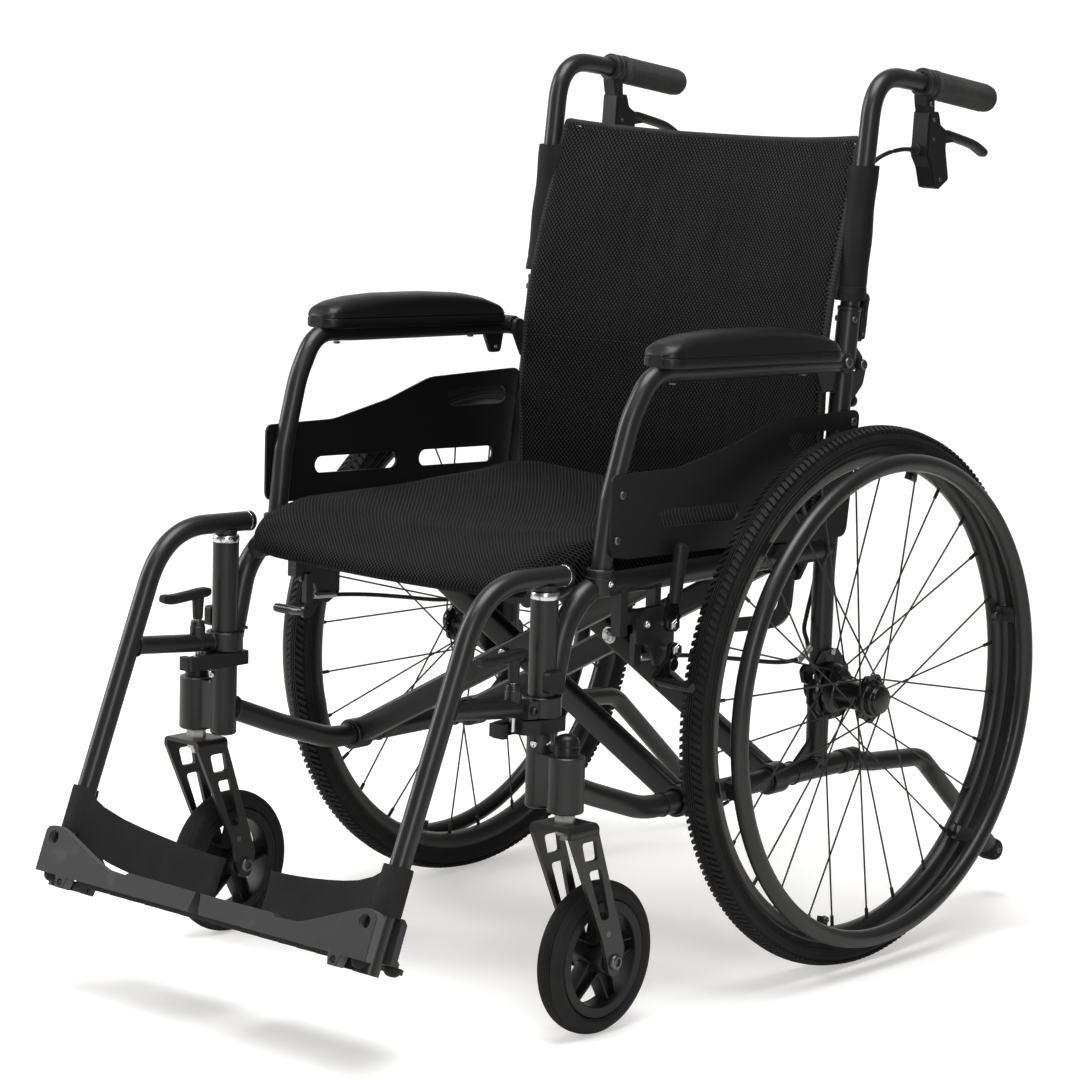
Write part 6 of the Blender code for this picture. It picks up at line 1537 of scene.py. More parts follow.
# %% Wheel lock
ly, lz = LOCK_AT
lever = Shape()
blade_edge = flat_line([(ly - 0.0088, lz - 0.0070), (ly + 0.0095, lz - 0.0070), (ly + 0.0110, lz + 0.0060),
                        (ly + 0.0060, lz + 0.0340), (ly - 0.0050, lz + 0.0340), (ly - 0.0120, lz + 0.0080)],
                       [0.007, 0.007, 0.007, 0.004, 0.004, 0.007], 6)
lever.upright(blade_edge, 0.2592, 0.0046, [ring_line(0.0047, 20, LOCK_AT)])
lever.rod((0.2590, ly + 0.0065, lz + 0.0080), (0.2665, ly + 0.0065, lz + 0.0080), 0.0036, 16)
handle = [(0.2652, ly, lz + 0.0240), (0.2662, ly + 0.0006, lz + 0.0420), (0.2668, ly + 0.0028, lz + 0.0640),
          (0.2670, ly + 0.0060, lz + 0.0840), (0.2670, ly + 0.0068, lz + 0.0872)]
lever.mark = 1
section = [(0.0068 * math.copysign(abs(math.cos(a)) ** 0.7, math.cos(a)),
            0.0084 * math.copysign(abs(math.sin(a)) ** 0.7, math.sin(a)))
           for a in (2 * math.pi * k / 24 for k in range(24))]
lever.sweep(smooth_line(handle, 22), section,
            scale=lambda t: ((0.80 + 0.20 * t) * (1 if t < 0.9
                                                  else math.sqrt(max(1 - ((t - 0.9) / 0.104) ** 2, 0.02))),
                             ) * 2)
both("wheel_lock_lever", lever, "wheel_lock_lever", [gloss_black, lever_plastic], "gloss_black",
     ["wheel_lock_lever"], bevel=0.0006)

sy, sz = SHOE_AT
shoe = Shape()
arm_edge = flat_line([(sy + 0.0080, sz + 0.0072), (sy - 0.0075, sz + 0.0072), (sy - 0.0095, sz - 0.0080),
                      (sy - 0.0320, sz - 0.0250), (sy - 0.0325, sz - 0.0370), (sy - 0.0200, sz - 0.0362),
                      (sy + 0.0062, sz - 0.0100)], [0.006, 0.006, 0.012, 0.006, 0.005, 0.010, 0.008], 6)
shoe.upright(arm_edge, 0.2590, 0.0046, [ring_line(0.0047, 20, SHOE_AT)])
bar_y, bar_z = sy - 0.0268, sz - 0.0302
shoe.tube(arc_points([(0.2595, bar_y, bar_z), (0.2700, bar_y, bar_z),
                      (0.2800, bar_y + 0.0008, bar_z - 0.0008),
                      (0.3095, bar_y + 0.0004, bar_z - 0.0010)], 0.01, 4), 0.0050, 24, side=(0, 1, 0))
shoe.turned(((0, 0.2628), (0.0068, 0.2628), (0.0072, 0.2636), (0.0072, 0.2676), (0.0066, 0.2684),
             (0.0030, 0.2686),
             (0, 0.2680)), 24, about_x((0, sy - 0.0060, sz - 0.0150)))
for k in range(7):
    x = 0.2860 + 0.0030 * k
    shoe.turned(((0.0046, x), (0.0054, x + 0.0005), (0.0054, x + 0.0013), (0.0046, x + 0.0018)), 24,
                about_x((0, bar_y + 0.0006, bar_z - 0.0010)), closed=True)
both("wheel_lock_shoe", shoe, "wheel_lock_shoe", [gloss_black], "gloss_black", ["wheel_lock_shoe"],
     bevel=0.0005)

# %% [markdown]
# The folding frame is this chair's cleverest part. Two braces cross at a bolt, like scissors. Each starts at
# a sleeve that turns on one lower rail, and ends at the seat rail of the other side. J-shaped links tie the
# braces to the top rails, so that lifting the seat draws both wheels in at once. The arms are rounded
# rectangular tube.

# %% Cross braces and seat rails
PIVOT_Z, RAIL_AT = 0.342, (0.200, 0.470)
ARM_ROWS = {-1: (-0.236, -0.076), 1: (-0.256, -0.056)}
ARM_THICK, ARM_DEEP = 0.018, 0.028


def brace(side):
    made = Shape()
    start = Vector((-side * FRAME_X, 0, LOWER_Z))
    along = (Vector((0, 0, PIVOT_Z)) - start).normalized()
    above = Vector((-side * along.z, 0, abs(along.x)))
    reach = (Vector((side * RAIL_AT[0], 0, RAIL_AT[1])) - start).dot(along)
    outline = flat_line(((-ARM_THICK / 2, -ARM_DEEP / 2), (ARM_THICK / 2, -ARM_DEEP / 2),
                         (ARM_THICK / 2, ARM_DEEP / 2),
                         (-ARM_THICK / 2, ARM_DEEP / 2)), 0.0055, 5)
    rail_x, rail_z = side * RAIL_AT[0], RAIL_AT[1]
    rail = [(rail_x, -0.4580, rail_z - 0.0150), (rail_x, -0.4200, rail_z - 0.0130),
            (rail_x, -0.3700, rail_z),
            (rail_x, -0.0170, rail_z)]
    made.tube(arc_points(rail, [0, 0.06, 0.06, 0], 8), ARM_TUBE, 28)
    for k, y in enumerate(ARM_ROWS[side]):
        row = Vector((0, y, 0))
        made.mark = 0
        made.sweep([start + row + along * 0.0120, start + row + along * (reach - 0.012)], outline, (0, 1, 0))
        neck = flat_line([(-0.0080, -0.0050), (0.0080, -0.0050), (0.0080, 0.0050), (-0.0080, 0.0050)],
                         0.0015, 3)
        made.sweep([start + row + along * (reach - 0.040) + above * 0.0070,
                    start + row + along * (reach - 0.002) + above * 0.0120], neck, (0, 1, 0))
        place = Matrix.Translation(start + row) @ Matrix.Rotation(math.pi / 2, 4, "X")
        made.turned(((0.0138, -0.0125), (0.0168, -0.0125), (0.0176, -0.0116), (0.0176, 0.0116),
                     (0.0168, 0.0125),
                     (0.0138, 0.0125)), 36, place, closed=True)
        centre = row + Vector((0, 0, PIVOT_Z))
        made.mark = 1
        if side > 0:
            toward = 1 if k == 0 else -1
            made.rod(centre + Vector((0, toward * 0.005, 0)), centre + Vector((0, toward * 0.0325, 0)),
                     0.0040, 20)
            made.screw(centre + Vector((0, toward * 0.0302, 0)), (0, toward, 0), 0.0082, 0.0036, "nut")
            made.turned(((0.0042, 0), (0.0100, 0), (0.0100, 0.0010), (0.0042, 0.0010)), 28,
                        plane_at(centre + Vector((0, toward * 0.0292, 0)), (1, 0, 0), (0, 0, -toward)),
                        closed=True)
            made.screw(centre - Vector((0, toward * 0.0088, 0)), (0, -toward, 0), 0.0078, 0.0044)
    made.mark = 2
    made.rod((rail_x, -0.4600, rail_z - 0.0150), (rail_x, -0.4560, rail_z - 0.0148), 0.0112, 28)
    made.rod((rail_x, -0.0180, rail_z), (rail_x, -0.0152, rail_z), 0.0112, 28)
    return made


for name, side in (("brace_a", -1), ("brace_b", 1)):
    piece(name, brace(side), name, [frame_paint, bright_steel, satin_plastic], "frame_paint", [name],
          bevel=0.0006)

# %% [markdown]
# A J-shaped link joins each seat rail to the opposite top rail. It keeps both side frames upright while the
# two braces scissor, and its hook lets it pass the brace's own tube.

# %% Folding links
for word, side in SIDES:
    (ax, az), (bx, bz) = LINK_TOP, LINK_FOOT
    middle = arc_points([(ax, az, 0), (ax - 0.0040, az - 0.0560, 0), (bx + 0.0420, bz - 0.0260, 0),
                         (bx, bz, 0)], 0.032, 14)
    half = 0.0080
    left, right = [], []
    for i, point in enumerate(middle):
        along = (middle[min(i + 1, len(middle) - 1)] - middle[max(i - 1, 0)]).normalized()
        across = Vector((-along.y, along.x, 0)) * half
        left.append(point + across)
        right.append(point - across)
    low_y = LINK_Y[side] - LINK_THICK / 2
    to_side = plane_at((0, low_y + LINK_THICK, 0), (1, 0, 0), (0, 0, 1))
    link = Shape()
    link.plate([(p.x, p.y) for p in left + right[::-1]], LINK_THICK, to_side)
    for x, z, radius in ((ax, az, 0.0100), (bx, bz, 0.0100)):
        hole = [ring_line(0.0044, 20, (x, z))] if z == az else []
        link.plate(ring_line(radius, 32, (x, z)), LINK_THICK - 0.0004,
                   to_side @ Matrix.Translation((0, 0, 0.0002)), hole)
    spacer = (low_y - 0.0050, low_y + 0.001) if side == 1 else (low_y + LINK_THICK - 0.001,
                                                                low_y + LINK_THICK + 0.0058)
    link.rod((bx, spacer[0], bz), (bx, spacer[1], bz), 0.0070, 24)
    link.mark = 1
    out = 1 if side == 1 else -1
    link.screw((bx, LINK_Y[side] + out * LINK_THICK / 2, bz), (0, out, 0), 0.0062, 0.0040)
    piece(f"{word}_fold_link", link, f"{word}_fold_link", [frame_paint, dark_steel], "frame_paint",
          [f"{word}_fold_link"], bevel=0.0007, side=side)

# %% [markdown]
# The seat and back are spacer mesh: two knitted faces held apart by upright threads, so the cloth breathes.
# Each face is a net of small upright holes, and every second row is shifted by half a step. Two ellipses
# repeated over the plane draw it. The holes are sunk in the bump and coloured near black, which is painted
# shade in the openings, and the threads between them are a lighter grey.

# %% Woven and knitted finishes
# Holes to the metre: 5 mm apart across and 6.2 mm apart along.
HOLES_ACROSS, HOLES_ALONG = 200.0, 161.3


def spacer_mesh(name, upright):
    """A net of holes on an upright face, or on a lying one that rolls down."""
    finish = Finish(name)
    x, y, z = finish.axes()
    across = (x * HOLES_ACROSS).folded(0.5)
    along = ((z if upright else y + z) * HOLES_ALONG).folded(0.5)

    def spot(p, q):
        p, q = p * 3.5, q * 2.65
        return p * p + q * q

    hole = 1.0 - spot(across, along).least(spot(0.5 - across, 0.5 - along)).between(0.60, 1.15)
    drift = finish.grain(14, 4)
    fuzz = finish.grain(1800, 2)
    thread = finish.blend(drift * 0.6 + fuzz * 0.3, grey(0.014), grey(0.042))
    # The near-black colour of the holes is painted shade in the sunk openings.
    tone = finish.blend(hole, thread, grey(0.0012))
    height = (1.0 - hole) * 0.85 + fuzz * 0.25
    return finish.surface(Base_Color=tone, Roughness=0.70, Specular_IOR_Level=0.07,
                          Normal=finish.bump(height, 0.0009, 0.9))


def woven(name, base, pitch, slant, depth, rough=0.72):
    """Ribbed tape: slanting ribs of one pitch, crossed by finer threads."""
    finish = Finish(name)
    x, y, z = finish.axes()
    turn = 6.2832 / pitch
    ribs = ((x + y) * turn + z * (turn * slant)).wave() * 0.5 + 0.5
    threads = ((x - y) * (turn * 1.7) - z * (turn * 2.1)).wave() * 0.5 + 0.5
    drift = finish.grain(40, 4)
    height = ribs * 0.8 + threads * 0.25
    # The colour follows the bump's height, darker in the grooves and lighter on the rib tops. That is painted shade and
    # painted highlight, and the drift adds random tone.
    tone = finish.blend(height * 0.5 + drift * 0.4, grey(base * 0.45), grey(base * 1.5))
    return finish.surface(Base_Color=tone, Roughness=rough, Normal=finish.bump(height, depth, 0.9),
                          Specular_IOR_Level=0.08)


def leather_cloth(name, base):
    finish = Finish(name)
    grain_relief_and_shade = finish.cells(1100, "DISTANCE_TO_EDGE").between(0.0, 0.28)
    crease = finish.grain(60, 5, 0.6)
    # The colour follows the bump: it darkens into the grain's grooves and the low creases, which is painted shade.
    tone = finish.blend(grain_relief_and_shade * 0.6 + crease * 0.3, grey(base * 0.6), grey(base * 1.3))
    return finish.surface(Base_Color=tone, Roughness=crease * 0.16 + 0.44,
                          Normal=finish.bump(grain_relief_and_shade * 0.6 + crease * 0.8, 0.0003, 0.7),
                          Specular_IOR_Level=0.16)


back_mesh = spacer_mesh("back_spacer_mesh", True)
seat_mesh = spacer_mesh("seat_spacer_mesh", False)
binding_tape = woven("binding_tape", 0.030, 0.0016, 0.5, 0.0002)
webbing = woven("heel_webbing", 0.026, 0.0024, 0.9, 0.0005)
stitch_thread = woven("stitch_thread", 0.050, 0.0006, 1.0, 0.0001)
sleeve_cloth = leather_cloth("sleeve_cloth", 0.010)

# %% [markdown]
# Upholstery gets its fullness from what is inside it. Each pad is drawn slightly thin, remeshed evenly, and
# then a cloth simulation blows it up from within for CLOTH_FRAMES frames. Its bound edges are pinned, and no
# point may move further than a cap, so that the pad keeps to its frame.

# %% Simulated padding
CLOTH_FRAMES = 20


def puffed(name, shape, pinned, cap, voxel=0.0060, pressure=4.0):
    """The closed shape as an even mesh, swollen by a cloth simulation. pinned weighs each point."""
    rough = bpy.data.meshes.new(name + "_start")
    rough.from_pydata([tuple(p) for p in shape.points], [], shape.faces)
    rough.transform(TO_FRAME)
    work = bmesh.new()
    work.from_mesh(rough)
    bmesh.ops.recalc_face_normals(work, faces=work.faces)
    work.to_mesh(rough)
    work.free()
    cloth = bpy.data.objects.new(name + "_cloth", rough)
    bpy.context.scene.collection.objects.link(cloth)
    even = cloth.modifiers.new("even", "REMESH")
    even.mode, even.voxel_size, even.use_smooth_shade = "VOXEL", voxel, True
    graph = bpy.context.evaluated_depsgraph_get()
    mesh = bpy.data.meshes.new_from_object(cloth.evaluated_get(graph))
    cloth.modifiers.remove(even)
    cloth.data = mesh
    start = np.array([v.co for v in mesh.vertices])
    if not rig.quick():
        held = cloth.vertex_groups.new(name="held")
        for i, weight in enumerate(pinned(start)):
            if weight > 0.01:
                held.add([i], float(weight), "REPLACE")
        sim = cloth.modifiers.new("cloth", "CLOTH")
        sim.settings.quality = 6
        sim.settings.mass = 0.25
        sim.settings.tension_stiffness = sim.settings.compression_stiffness = 12
        sim.settings.bending_stiffness = 0.8
        sim.settings.use_pressure = True
        sim.settings.uniform_pressure_force = pressure
        sim.settings.vertex_group_mass = "held"
        sim.settings.effector_weights.gravity = 0
        sim.point_cache.frame_start, sim.point_cache.frame_end = 1, CLOTH_FRAMES
        for frame_number in range(1, CLOTH_FRAMES + 1):
            bpy.context.scene.frame_set(frame_number)
        graph = bpy.context.evaluated_depsgraph_get()
        swollen = cloth.evaluated_get(graph).to_mesh()
        move = np.array([v.co for v in swollen.vertices]) - start
        cloth.modifiers.remove(sim)
        bpy.context.scene.frame_set(1)
        far = np.linalg.norm(move, axis=1, keepdims=True)
        move *= np.minimum(1.0, cap / np.maximum(far, 1e-9))
        mesh.vertices.foreach_set("co", (start + move).ravel())
        print(name, len(start), "points, moved up to", round(float(np.minimum(far, cap).max()), 4), "m")
    bpy.data.objects.remove(cloth)
    mesh.shade_smooth()
    return mesh


def upholstery(name, mesh, body, finish, smooth=1):
    """Puts a soft mesh in the scene, one step smoother, as final points, riding on the body."""
    made = bpy.data.objects.new(name, mesh)
    bpy.context.scene.collection.objects.link(made)
    if smooth:
        finer = made.modifiers.new("finer", "SUBSURF")
        finer.levels = finer.render_levels = smooth
        graph = bpy.context.evaluated_depsgraph_get()
        fine = bpy.data.meshes.new_from_object(made.evaluated_get(graph))
        made.modifiers.clear()
        made.data = fine
    made.data.materials.clear()
    made.data.materials.append(finish)
    made.data.shade_smooth()
    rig.ride(made, body)
    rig.slot(made, "mesh_fabric")
    return made

# %% [markdown]
# The seat is a padded sling. Its sides wrap round the seat rails, its front edge rolls down, and the middle
# sinks a little between the rails. A seam runs round it where the top meets the sides.

# %% Seat
SEAT_HALF = 0.2150
SEAT_ROWS = ((-0.4735, -0.0010, -0.0100), (-0.4710, 0.0090, -0.0170), (-0.4620, 0.0190, -0.0195),
             (-0.4450, 0.0270, -0.0180), (-0.4150, 0.0340, -0.0150), (-0.3800, 0.0375, -0.0130),
             (-0.2400, 0.0400, -0.0120), (-0.1200, 0.0440, -0.0110), (-0.0400, 0.0500, -0.0100),
             (-0.0180, 0.0490, -0.0100), (-0.0100, 0.0440, -0.0060))
seat_shape = Shape()
seat_rings = []
for y in np.linspace(SEAT_ROWS[0][0], SEAT_ROWS[-1][0], 70):
    top = float(np.interp(y, [r[0] for r in SEAT_ROWS], [r[1] for r in SEAT_ROWS]))
    low = float(np.interp(y, [r[0] for r in SEAT_ROWS], [r[2] for r in SEAT_ROWS]))
    depth = max(min(y - SEAT_ROWS[0][0], SEAT_ROWS[-1][0] - y, 0.030), 0.0004)
    half = SEAT_HALF - 0.030 + math.sqrt(max(0.030 ** 2 - (0.030 - depth) ** 2, 0))
    half -= 0.0080 * min(max((-0.380 - y) / 0.050, 0), 1)
    ring = []
    for t in np.linspace(-1, 1, 49):
        edge = max(abs(t) - 0.93, 0) / 0.07
        sink = 0.0100 * math.cos(t * math.pi / 2) + 0.0170 * edge ** 2.6
        ring.append((t * half, y, RAIL_AT[1] + top - sink))
    for t in np.linspace(1, -1, 49):
        edge = max(abs(t) - 0.86, 0) / 0.14
        hollow = 0.0050 * math.cos(t * math.pi / 2)
        ring.append((t * half * (1 - 0.004 * edge), y, RAIL_AT[1] + min(low - hollow + 0.004 * edge,
            top - 0.014)))
    seat_rings.append(ring)
seat_shape.skin(seat_rings)


def seat_pins(points):
    """The underside and the rims stay, and the top may rise."""
    rim = np.clip((np.abs(points[:, 0]) - (SEAT_HALF - 0.014)) / 0.008, 0, 1)
    under = np.clip((RAIL_AT[1] + 0.004 - points[:, 2]) / 0.008, 0, 1)
    return np.maximum(rim, under)


SEAT_KEPT, BACK_KEPT = 0.219, 0.248
seat_piece = upholstery("seat_cushion", puffed("seat_cushion", seat_shape, seat_pins, 0.0060), "left_side",
                        seat_mesh)
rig.replaces(seat_piece, "seat")
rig.padded(seat_piece, 0.5)
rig.squash(seat_piece, "frame_fold", (1, 0, 0), (SEAT_HALF, 0, 0.47), SEAT_KEPT)

# %% [markdown]
# The back is the same sling, standing up between two sleeves that slip over the canes. Its edge is bound
# with tape and overcast by hand-like slanting stitches. The back folds at the post joint, so the panel is
# cut there into an upper part, which turns with the canes, and a short lower one.

# %% Back panel
BACK_LOW, BACK_HIGH, BACK_SPLIT = 0.4700, 0.9110, 0.6680
# Height, half width, and how far the front edge stands before the posts' line: the pad is fullest at mid
# height.
BACK_ROWS = ((0.4700, 0.2140, 0.0110), (0.5250, 0.2205, 0.0180), (0.6000, 0.2230, 0.0270),
             (0.6900, 0.2215, 0.0335), (0.7500, 0.2205, 0.0300), (0.8000, 0.2200, 0.0230),
             (0.8600, 0.2180, 0.0120), (0.9250, 0.2150, 0.0010))
ROW_HEIGHTS, ROW_HALVES, ROW_LIFTS = zip(*BACK_ROWS)
BACK_WIDE = max(ROW_HALVES)


def back_half(z):
    return float(np.interp(z, ROW_HEIGHTS, ROW_HALVES))


def back_slack(t):
    """How far the panel sags back between the canes, t being -1 at the right edge and 1 at the left."""
    return 0.0310 * (1 - t * t)


def back_y(t, z):
    """The front face of the panel."""
    corner = min(max((abs(t) - 0.97) / 0.03, 0), 1)
    return post_y(z) - float(np.interp(z, ROW_HEIGHTS, ROW_LIFTS)) + back_slack(t) + 0.0040 * corner ** 2


def back_top(t):
    """The top edge dips between its corners."""
    return BACK_HIGH + 0.0090 * abs(t) ** 2.5


back_shape = Shape()
back_rings = []
for v in np.linspace(0, 1, 72):
    middle = BACK_LOW + v * (BACK_HIGH - BACK_LOW)
    depth = max(min(middle - BACK_LOW, BACK_HIGH - middle, 0.010), 0.0003)
    half = back_half(middle) - 0.002 + 0.002 * math.sqrt(max(1 - (1 - depth / 0.010) ** 2, 0))
    full = 0.35 + 0.65 * min(min(middle - BACK_LOW, BACK_HIGH - middle) / 0.020, 1)
    front, rear = [], []
    for t in np.linspace(-1, 1, 61):
        z = BACK_LOW + v * (back_top(t) - BACK_LOW)
        at_edge = max(float(np.interp(z, ROW_HEIGHTS, ROW_LIFTS)) - 0.0145, 0.0085)
        thick = (at_edge * t * t + 0.0150 * (1 - t * t)) * full
        front.append((t * half, back_y(t, z), z))
        rear.append((t * half, back_y(t, z) + thick, z))
    back_rings.append(front + rear[::-1])
back_shape.skin(back_rings)


def back_pins(points):
    """The bound rim stays where the binding grips it."""
    half = np.interp(points[:, 2], ROW_HEIGHTS, ROW_HALVES)
    rim = np.clip((np.abs(points[:, 0]) - (half - 0.016)) / 0.008, 0, 1)
    ends = np.clip(np.maximum(BACK_LOW + 0.014 - points[:, 2], points[:, 2] - (BACK_HIGH - 0.014)) / 0.007,
                   0, 1)
    return np.maximum(rim, ends)


def cut_at(mesh, height, keep_above):
    """A capped copy of the mesh above or below the height."""
    work = bmesh.new()
    work.from_mesh(mesh)
    found = bmesh.ops.bisect_plane(work, geom=work.verts[:] + work.edges[:] + work.faces[:],
                                   plane_co=(0, 0, height),
                                   plane_no=(0, 0, 1), clear_inner=keep_above, clear_outer=not keep_above)
    rim = [e for e in found["geom_cut"] if isinstance(e, bmesh.types.BMEdge)]
    bmesh.ops.contextual_create(work, geom=rim)
    made = bpy.data.meshes.new("cut_panel")
    work.to_mesh(made)
    work.free()
    return made


whole_back = puffed("back_panel", back_shape, back_pins, 0.0050)
lower_back = upholstery("back_panel_lower", whole_back.copy(), "left_side", back_mesh)
upper_back = upholstery("back_panel_upper", whole_back, "left_back", back_mesh)
upper_back.data = cut_at(upper_back.data, BACK_SPLIT, True)
lower_back.data = cut_at(lower_back.data, BACK_SPLIT, False)
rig.replaces(upper_back, "backrest")
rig.replaces(lower_back, "backrest")
for made in (upper_back, lower_back):
    made.data.shade_smooth()
    made.data.materials.clear()
    made.data.materials.append(back_mesh)
    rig.padded(made, 0.4)
    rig.squash(made, "frame_fold", (1, 0, 0), (BACK_WIDE, 0, 0.7), BACK_KEPT)

# %% [markdown]
# Tape is folded over the panel's front edge and overcast: each stitch goes round the tape and slants down
# over its face to the next. A long run of short loops draws that better than any bump.

# %% Binding and stitches
def back_rim(t, z):
    """The middle of the panel's edge."""
    return Vector((t * back_half(z), back_y(t, z) + 0.0042, z))


def rim_points(low, high, with_top, with_bottom):
    """The edge from the left side's lower end, over the top if asked, to the right side's lower end."""
    left = [back_rim(1, z) for z in np.linspace(low, high + (0.005 if with_top else 0), 40)]
    right = [Vector((-p.x, p.y, p.z)) for p in reversed(left)]
    over = [back_rim(t, back_top(t) - 0.0015) for t in np.linspace(0.99, -0.99, 60)] if with_top else None
    under = [back_rim(t, BACK_LOW) for t in np.linspace(-0.94, 0.94, 60)] if with_bottom else None
    return left, over, right, under


def trim(name, low, high, with_top, with_bottom, body):
    left, over, right, under = rim_points(low, high, with_top, with_bottom)
    if with_top:
        lines = [left + over + right]
    else:
        lines = [right + under + left]
    tape_section = [(0.0040 * math.copysign(abs(math.cos(a)) ** 0.8, math.cos(a)),
                     0.0036 * math.copysign(abs(math.sin(a)) ** 0.8, math.sin(a)))
                    for a in (2 * math.pi * k / 20 for k in range(20))]
    tape, stitches = Shape(), Shape()
    for line in lines:
        line = arc_points(line, 0.004, 2)
        tape.sweep(line, tape_section, (0, 1, 0))
        fine = smooth_line(line, int(sum((b - a).length for a, b in zip(line, line[1:])) / 0.0040))
        for a, b in zip(fine, fine[1:]):
            along = (b - a).normalized()
            outward = along.cross(Vector((0, 1, 0))).normalized()
            if outward.dot(a - Vector((0, a.y, 0.70))) < 0:
                outward = -outward
            loop = [a + Vector((0, 0.0042 * math.cos(q),
                                0)) + outward * 0.0037 * math.sin(q) + along * (0.0030 * q / math.pi)
                    for q in np.linspace(math.pi * -0.10, math.pi * 1.10, 8)]
            front = [a + along * 0.0030 + outward * s + Vector((0, -0.0040 + 0.0003 * (s < -0.003), 0))
                     for s in (0.0012, -0.0016, -0.0048)]
            stitches.tube(loop + front, 0.00055, 5, side=along)
    made = []
    for label, shape, finish in (("binding", tape, binding_tape), ("stitches", stitches, stitch_thread)):
        made.append(piece(f"{name}_{label}", shape, body, [finish], "mesh_fabric", sharp=60))
        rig.squash(made[-1], "frame_fold", (1, 0, 0), (BACK_WIDE, 0, 0.7), BACK_KEPT)
    return made


trim("back_upper", BACK_SPLIT, BACK_HIGH, True, False, "left_back")
trim("back_lower", BACK_LOW, BACK_SPLIT, False, True, "left_side")

# %% [markdown]
# Each sleeve is a pocket of leather cloth round its cane, with a flat tail that runs in behind the panel's
# edge. A belt round two pulleys has the same outline. A row of stitches closes the hem a finger's breadth
# above its end.

# %% Cane sleeves
def belt_line(big, tail, small, sides=44):
    """The outline of a belt round a circle at the origin and a smaller one at the tail."""
    turn = math.atan2(tail[1], tail[0])
    spread = math.acos((big - small) / math.hypot(*tail))
    count = sides * 3 // 4
    made = [(big * math.cos(a), big * math.sin(a))
            for a in np.linspace(turn + spread, turn + 2 * math.pi - spread, count)]
    made += [(tail[0] + small * math.cos(a), tail[1] + small * math.sin(a))
             for a in np.linspace(turn - spread, turn + spread, sides - count)]
    return made


SLEEVE_LOW, SLEEVE_HIGH = 0.7410, 0.8900
sleeve = Shape()
outer, inner = [], []
for z in np.linspace(SLEEVE_LOW, SLEEVE_HIGH, 50):
    hem = 0.0007 * math.exp(-((z - SLEEVE_LOW - 0.0150) / 0.0012) ** 2)
    ease = 0.0005 * math.sin(z * 95) + 0.0004 * math.sin(z * 41 + 1)
    flare = 0.0010 * max(0, 1 - (z - SLEEVE_LOW) / 0.012)
    centre = Vector((CANE_X, post_y(z), z))
    for rings, big, small in ((outer, 0.0162 + ease - hem + flare, 0.0030), (inner, 0.0150 + ease, 0.0016)):
        line = belt_line(big, (-0.0330, 0.0110), small)
        rings.append([centre + Vector((x, y, 0)) for x, y in line])
sleeve.skin(outer + inner[::-1], closed=True)
sleeve.mark = 1
for k in range(26):
    a = -2.6 + 4.9 * k / 25
    z = SLEEVE_LOW + 0.0150
    centre = Vector((CANE_X, post_y(z), z))
    spot = [centre + Vector((0.0161 * math.cos(a + d), 0.0161 * math.sin(a + d), 0))
            for d in (-0.055, 0, 0.055)]
    sleeve.tube(spot, 0.0004, 5, side=(0, 0, 1))
for word, side in SIDES:
    made = piece(f"{word}_back_sleeve", sleeve, f"{word}_back", [sleeve_cloth, stitch_thread], "mesh_fabric",
                 ["backrest"], side=side, sharp=60)
    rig.sheet(made, flat=(0.134, 0.149), held="stretched", rests_on=[f"{word}_cane"])

# %% [markdown]
# A heel strap of wide webbing loops round each leg tube and runs inward behind the heels, almost level. Its
# inner end is folded back on itself, so that the cut edge can't fray.

# %% Heel straps
STRAP_HALF, STRAP_THICK = 0.0250, 0.0020
STRAP_LOOP, STRAP_BACK = 0.0148, 0.0018
loop_line = [(LEG_X + STRAP_LOOP * math.cos(a), LEG_ACROSS + STRAP_BACK + STRAP_LOOP * math.sin(a))
             for a in (math.radians(d) for d in range(100, -166, -14))]
strap_path = ((0.2120, 0.0205, 0.0640), (0.2000, 0.0245, 0.0580), (0.1750, 0.0325, 0.0510),
              (0.1500, 0.0390, 0.0470), (0.1250, 0.0435, 0.0440), (0.1000, 0.0465, 0.0415),
              (0.0800, 0.0485, 0.0400), (0.0620, 0.0500, 0.0390), (0.0430, 0.0505, 0.0385),
              (0.0370, 0.0520, 0.0385), (0.0355, 0.0550, 0.0385), (0.0375, 0.0580, 0.0385),
              (0.0430, 0.0592, 0.0385), (0.0660, 0.0570, 0.0388))
strap_line = loop_line + [(x, u) for x, u, n in strap_path]
strap_heights = [0.0735] * len(loop_line) + [n for x, u, n in strap_path]
strap = Shape()
strap_rings = []
for i, ((x, u), n) in enumerate(zip(strap_line, strap_heights)):
    ahead = Vector(strap_line[min(i + 1, len(strap_line) - 1)]) - Vector(strap_line[max(i - 1, 0)])
    out = Vector((ahead.y, -ahead.x)).normalized()
    ring = []
    widths = list(np.linspace(-1, 1, 13))
    for w, t in [(w, 1) for w in widths] + [(w, -1) for w in reversed(widths)]:
        bow = 0.0016 * (1 - w * w) * (i > len(loop_line))
        thick = STRAP_THICK / 2 * (1 if abs(w) < 0.97 else 0.6)
        ring.append(tilted(u + out.y * (t * thick + bow), n + w * STRAP_HALF, x + out.x * (t * thick + bow)))
    strap_rings.append(ring)
strap.skin(strap_rings)
strap_long = sum((Vector(b) - Vector(a)).length for a, b in zip(strap_line, strap_line[1:]))
for word, side in SIDES:
    made = piece(f"{word}_heel_strap", strap, f"{word}_hanger", [webbing], "webbing", [f"{word}_heel_strap"],
                 side=side, sharp=60)
    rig.sheet(made, flat=(strap_long, 0.050), held="stretched", rests_on=[f"{word}_hanger",
        f"{word}_footplate"])
print("heel strap", round(strap_long, 3), "m long")

# %% [markdown]
# A cane is drawn steel tube, bent cold through a right angle so that its end becomes the push handle. Its
# foot is swaged into a socket with a tongue, and the tongue turns on the post's pin when the back folds
# down.

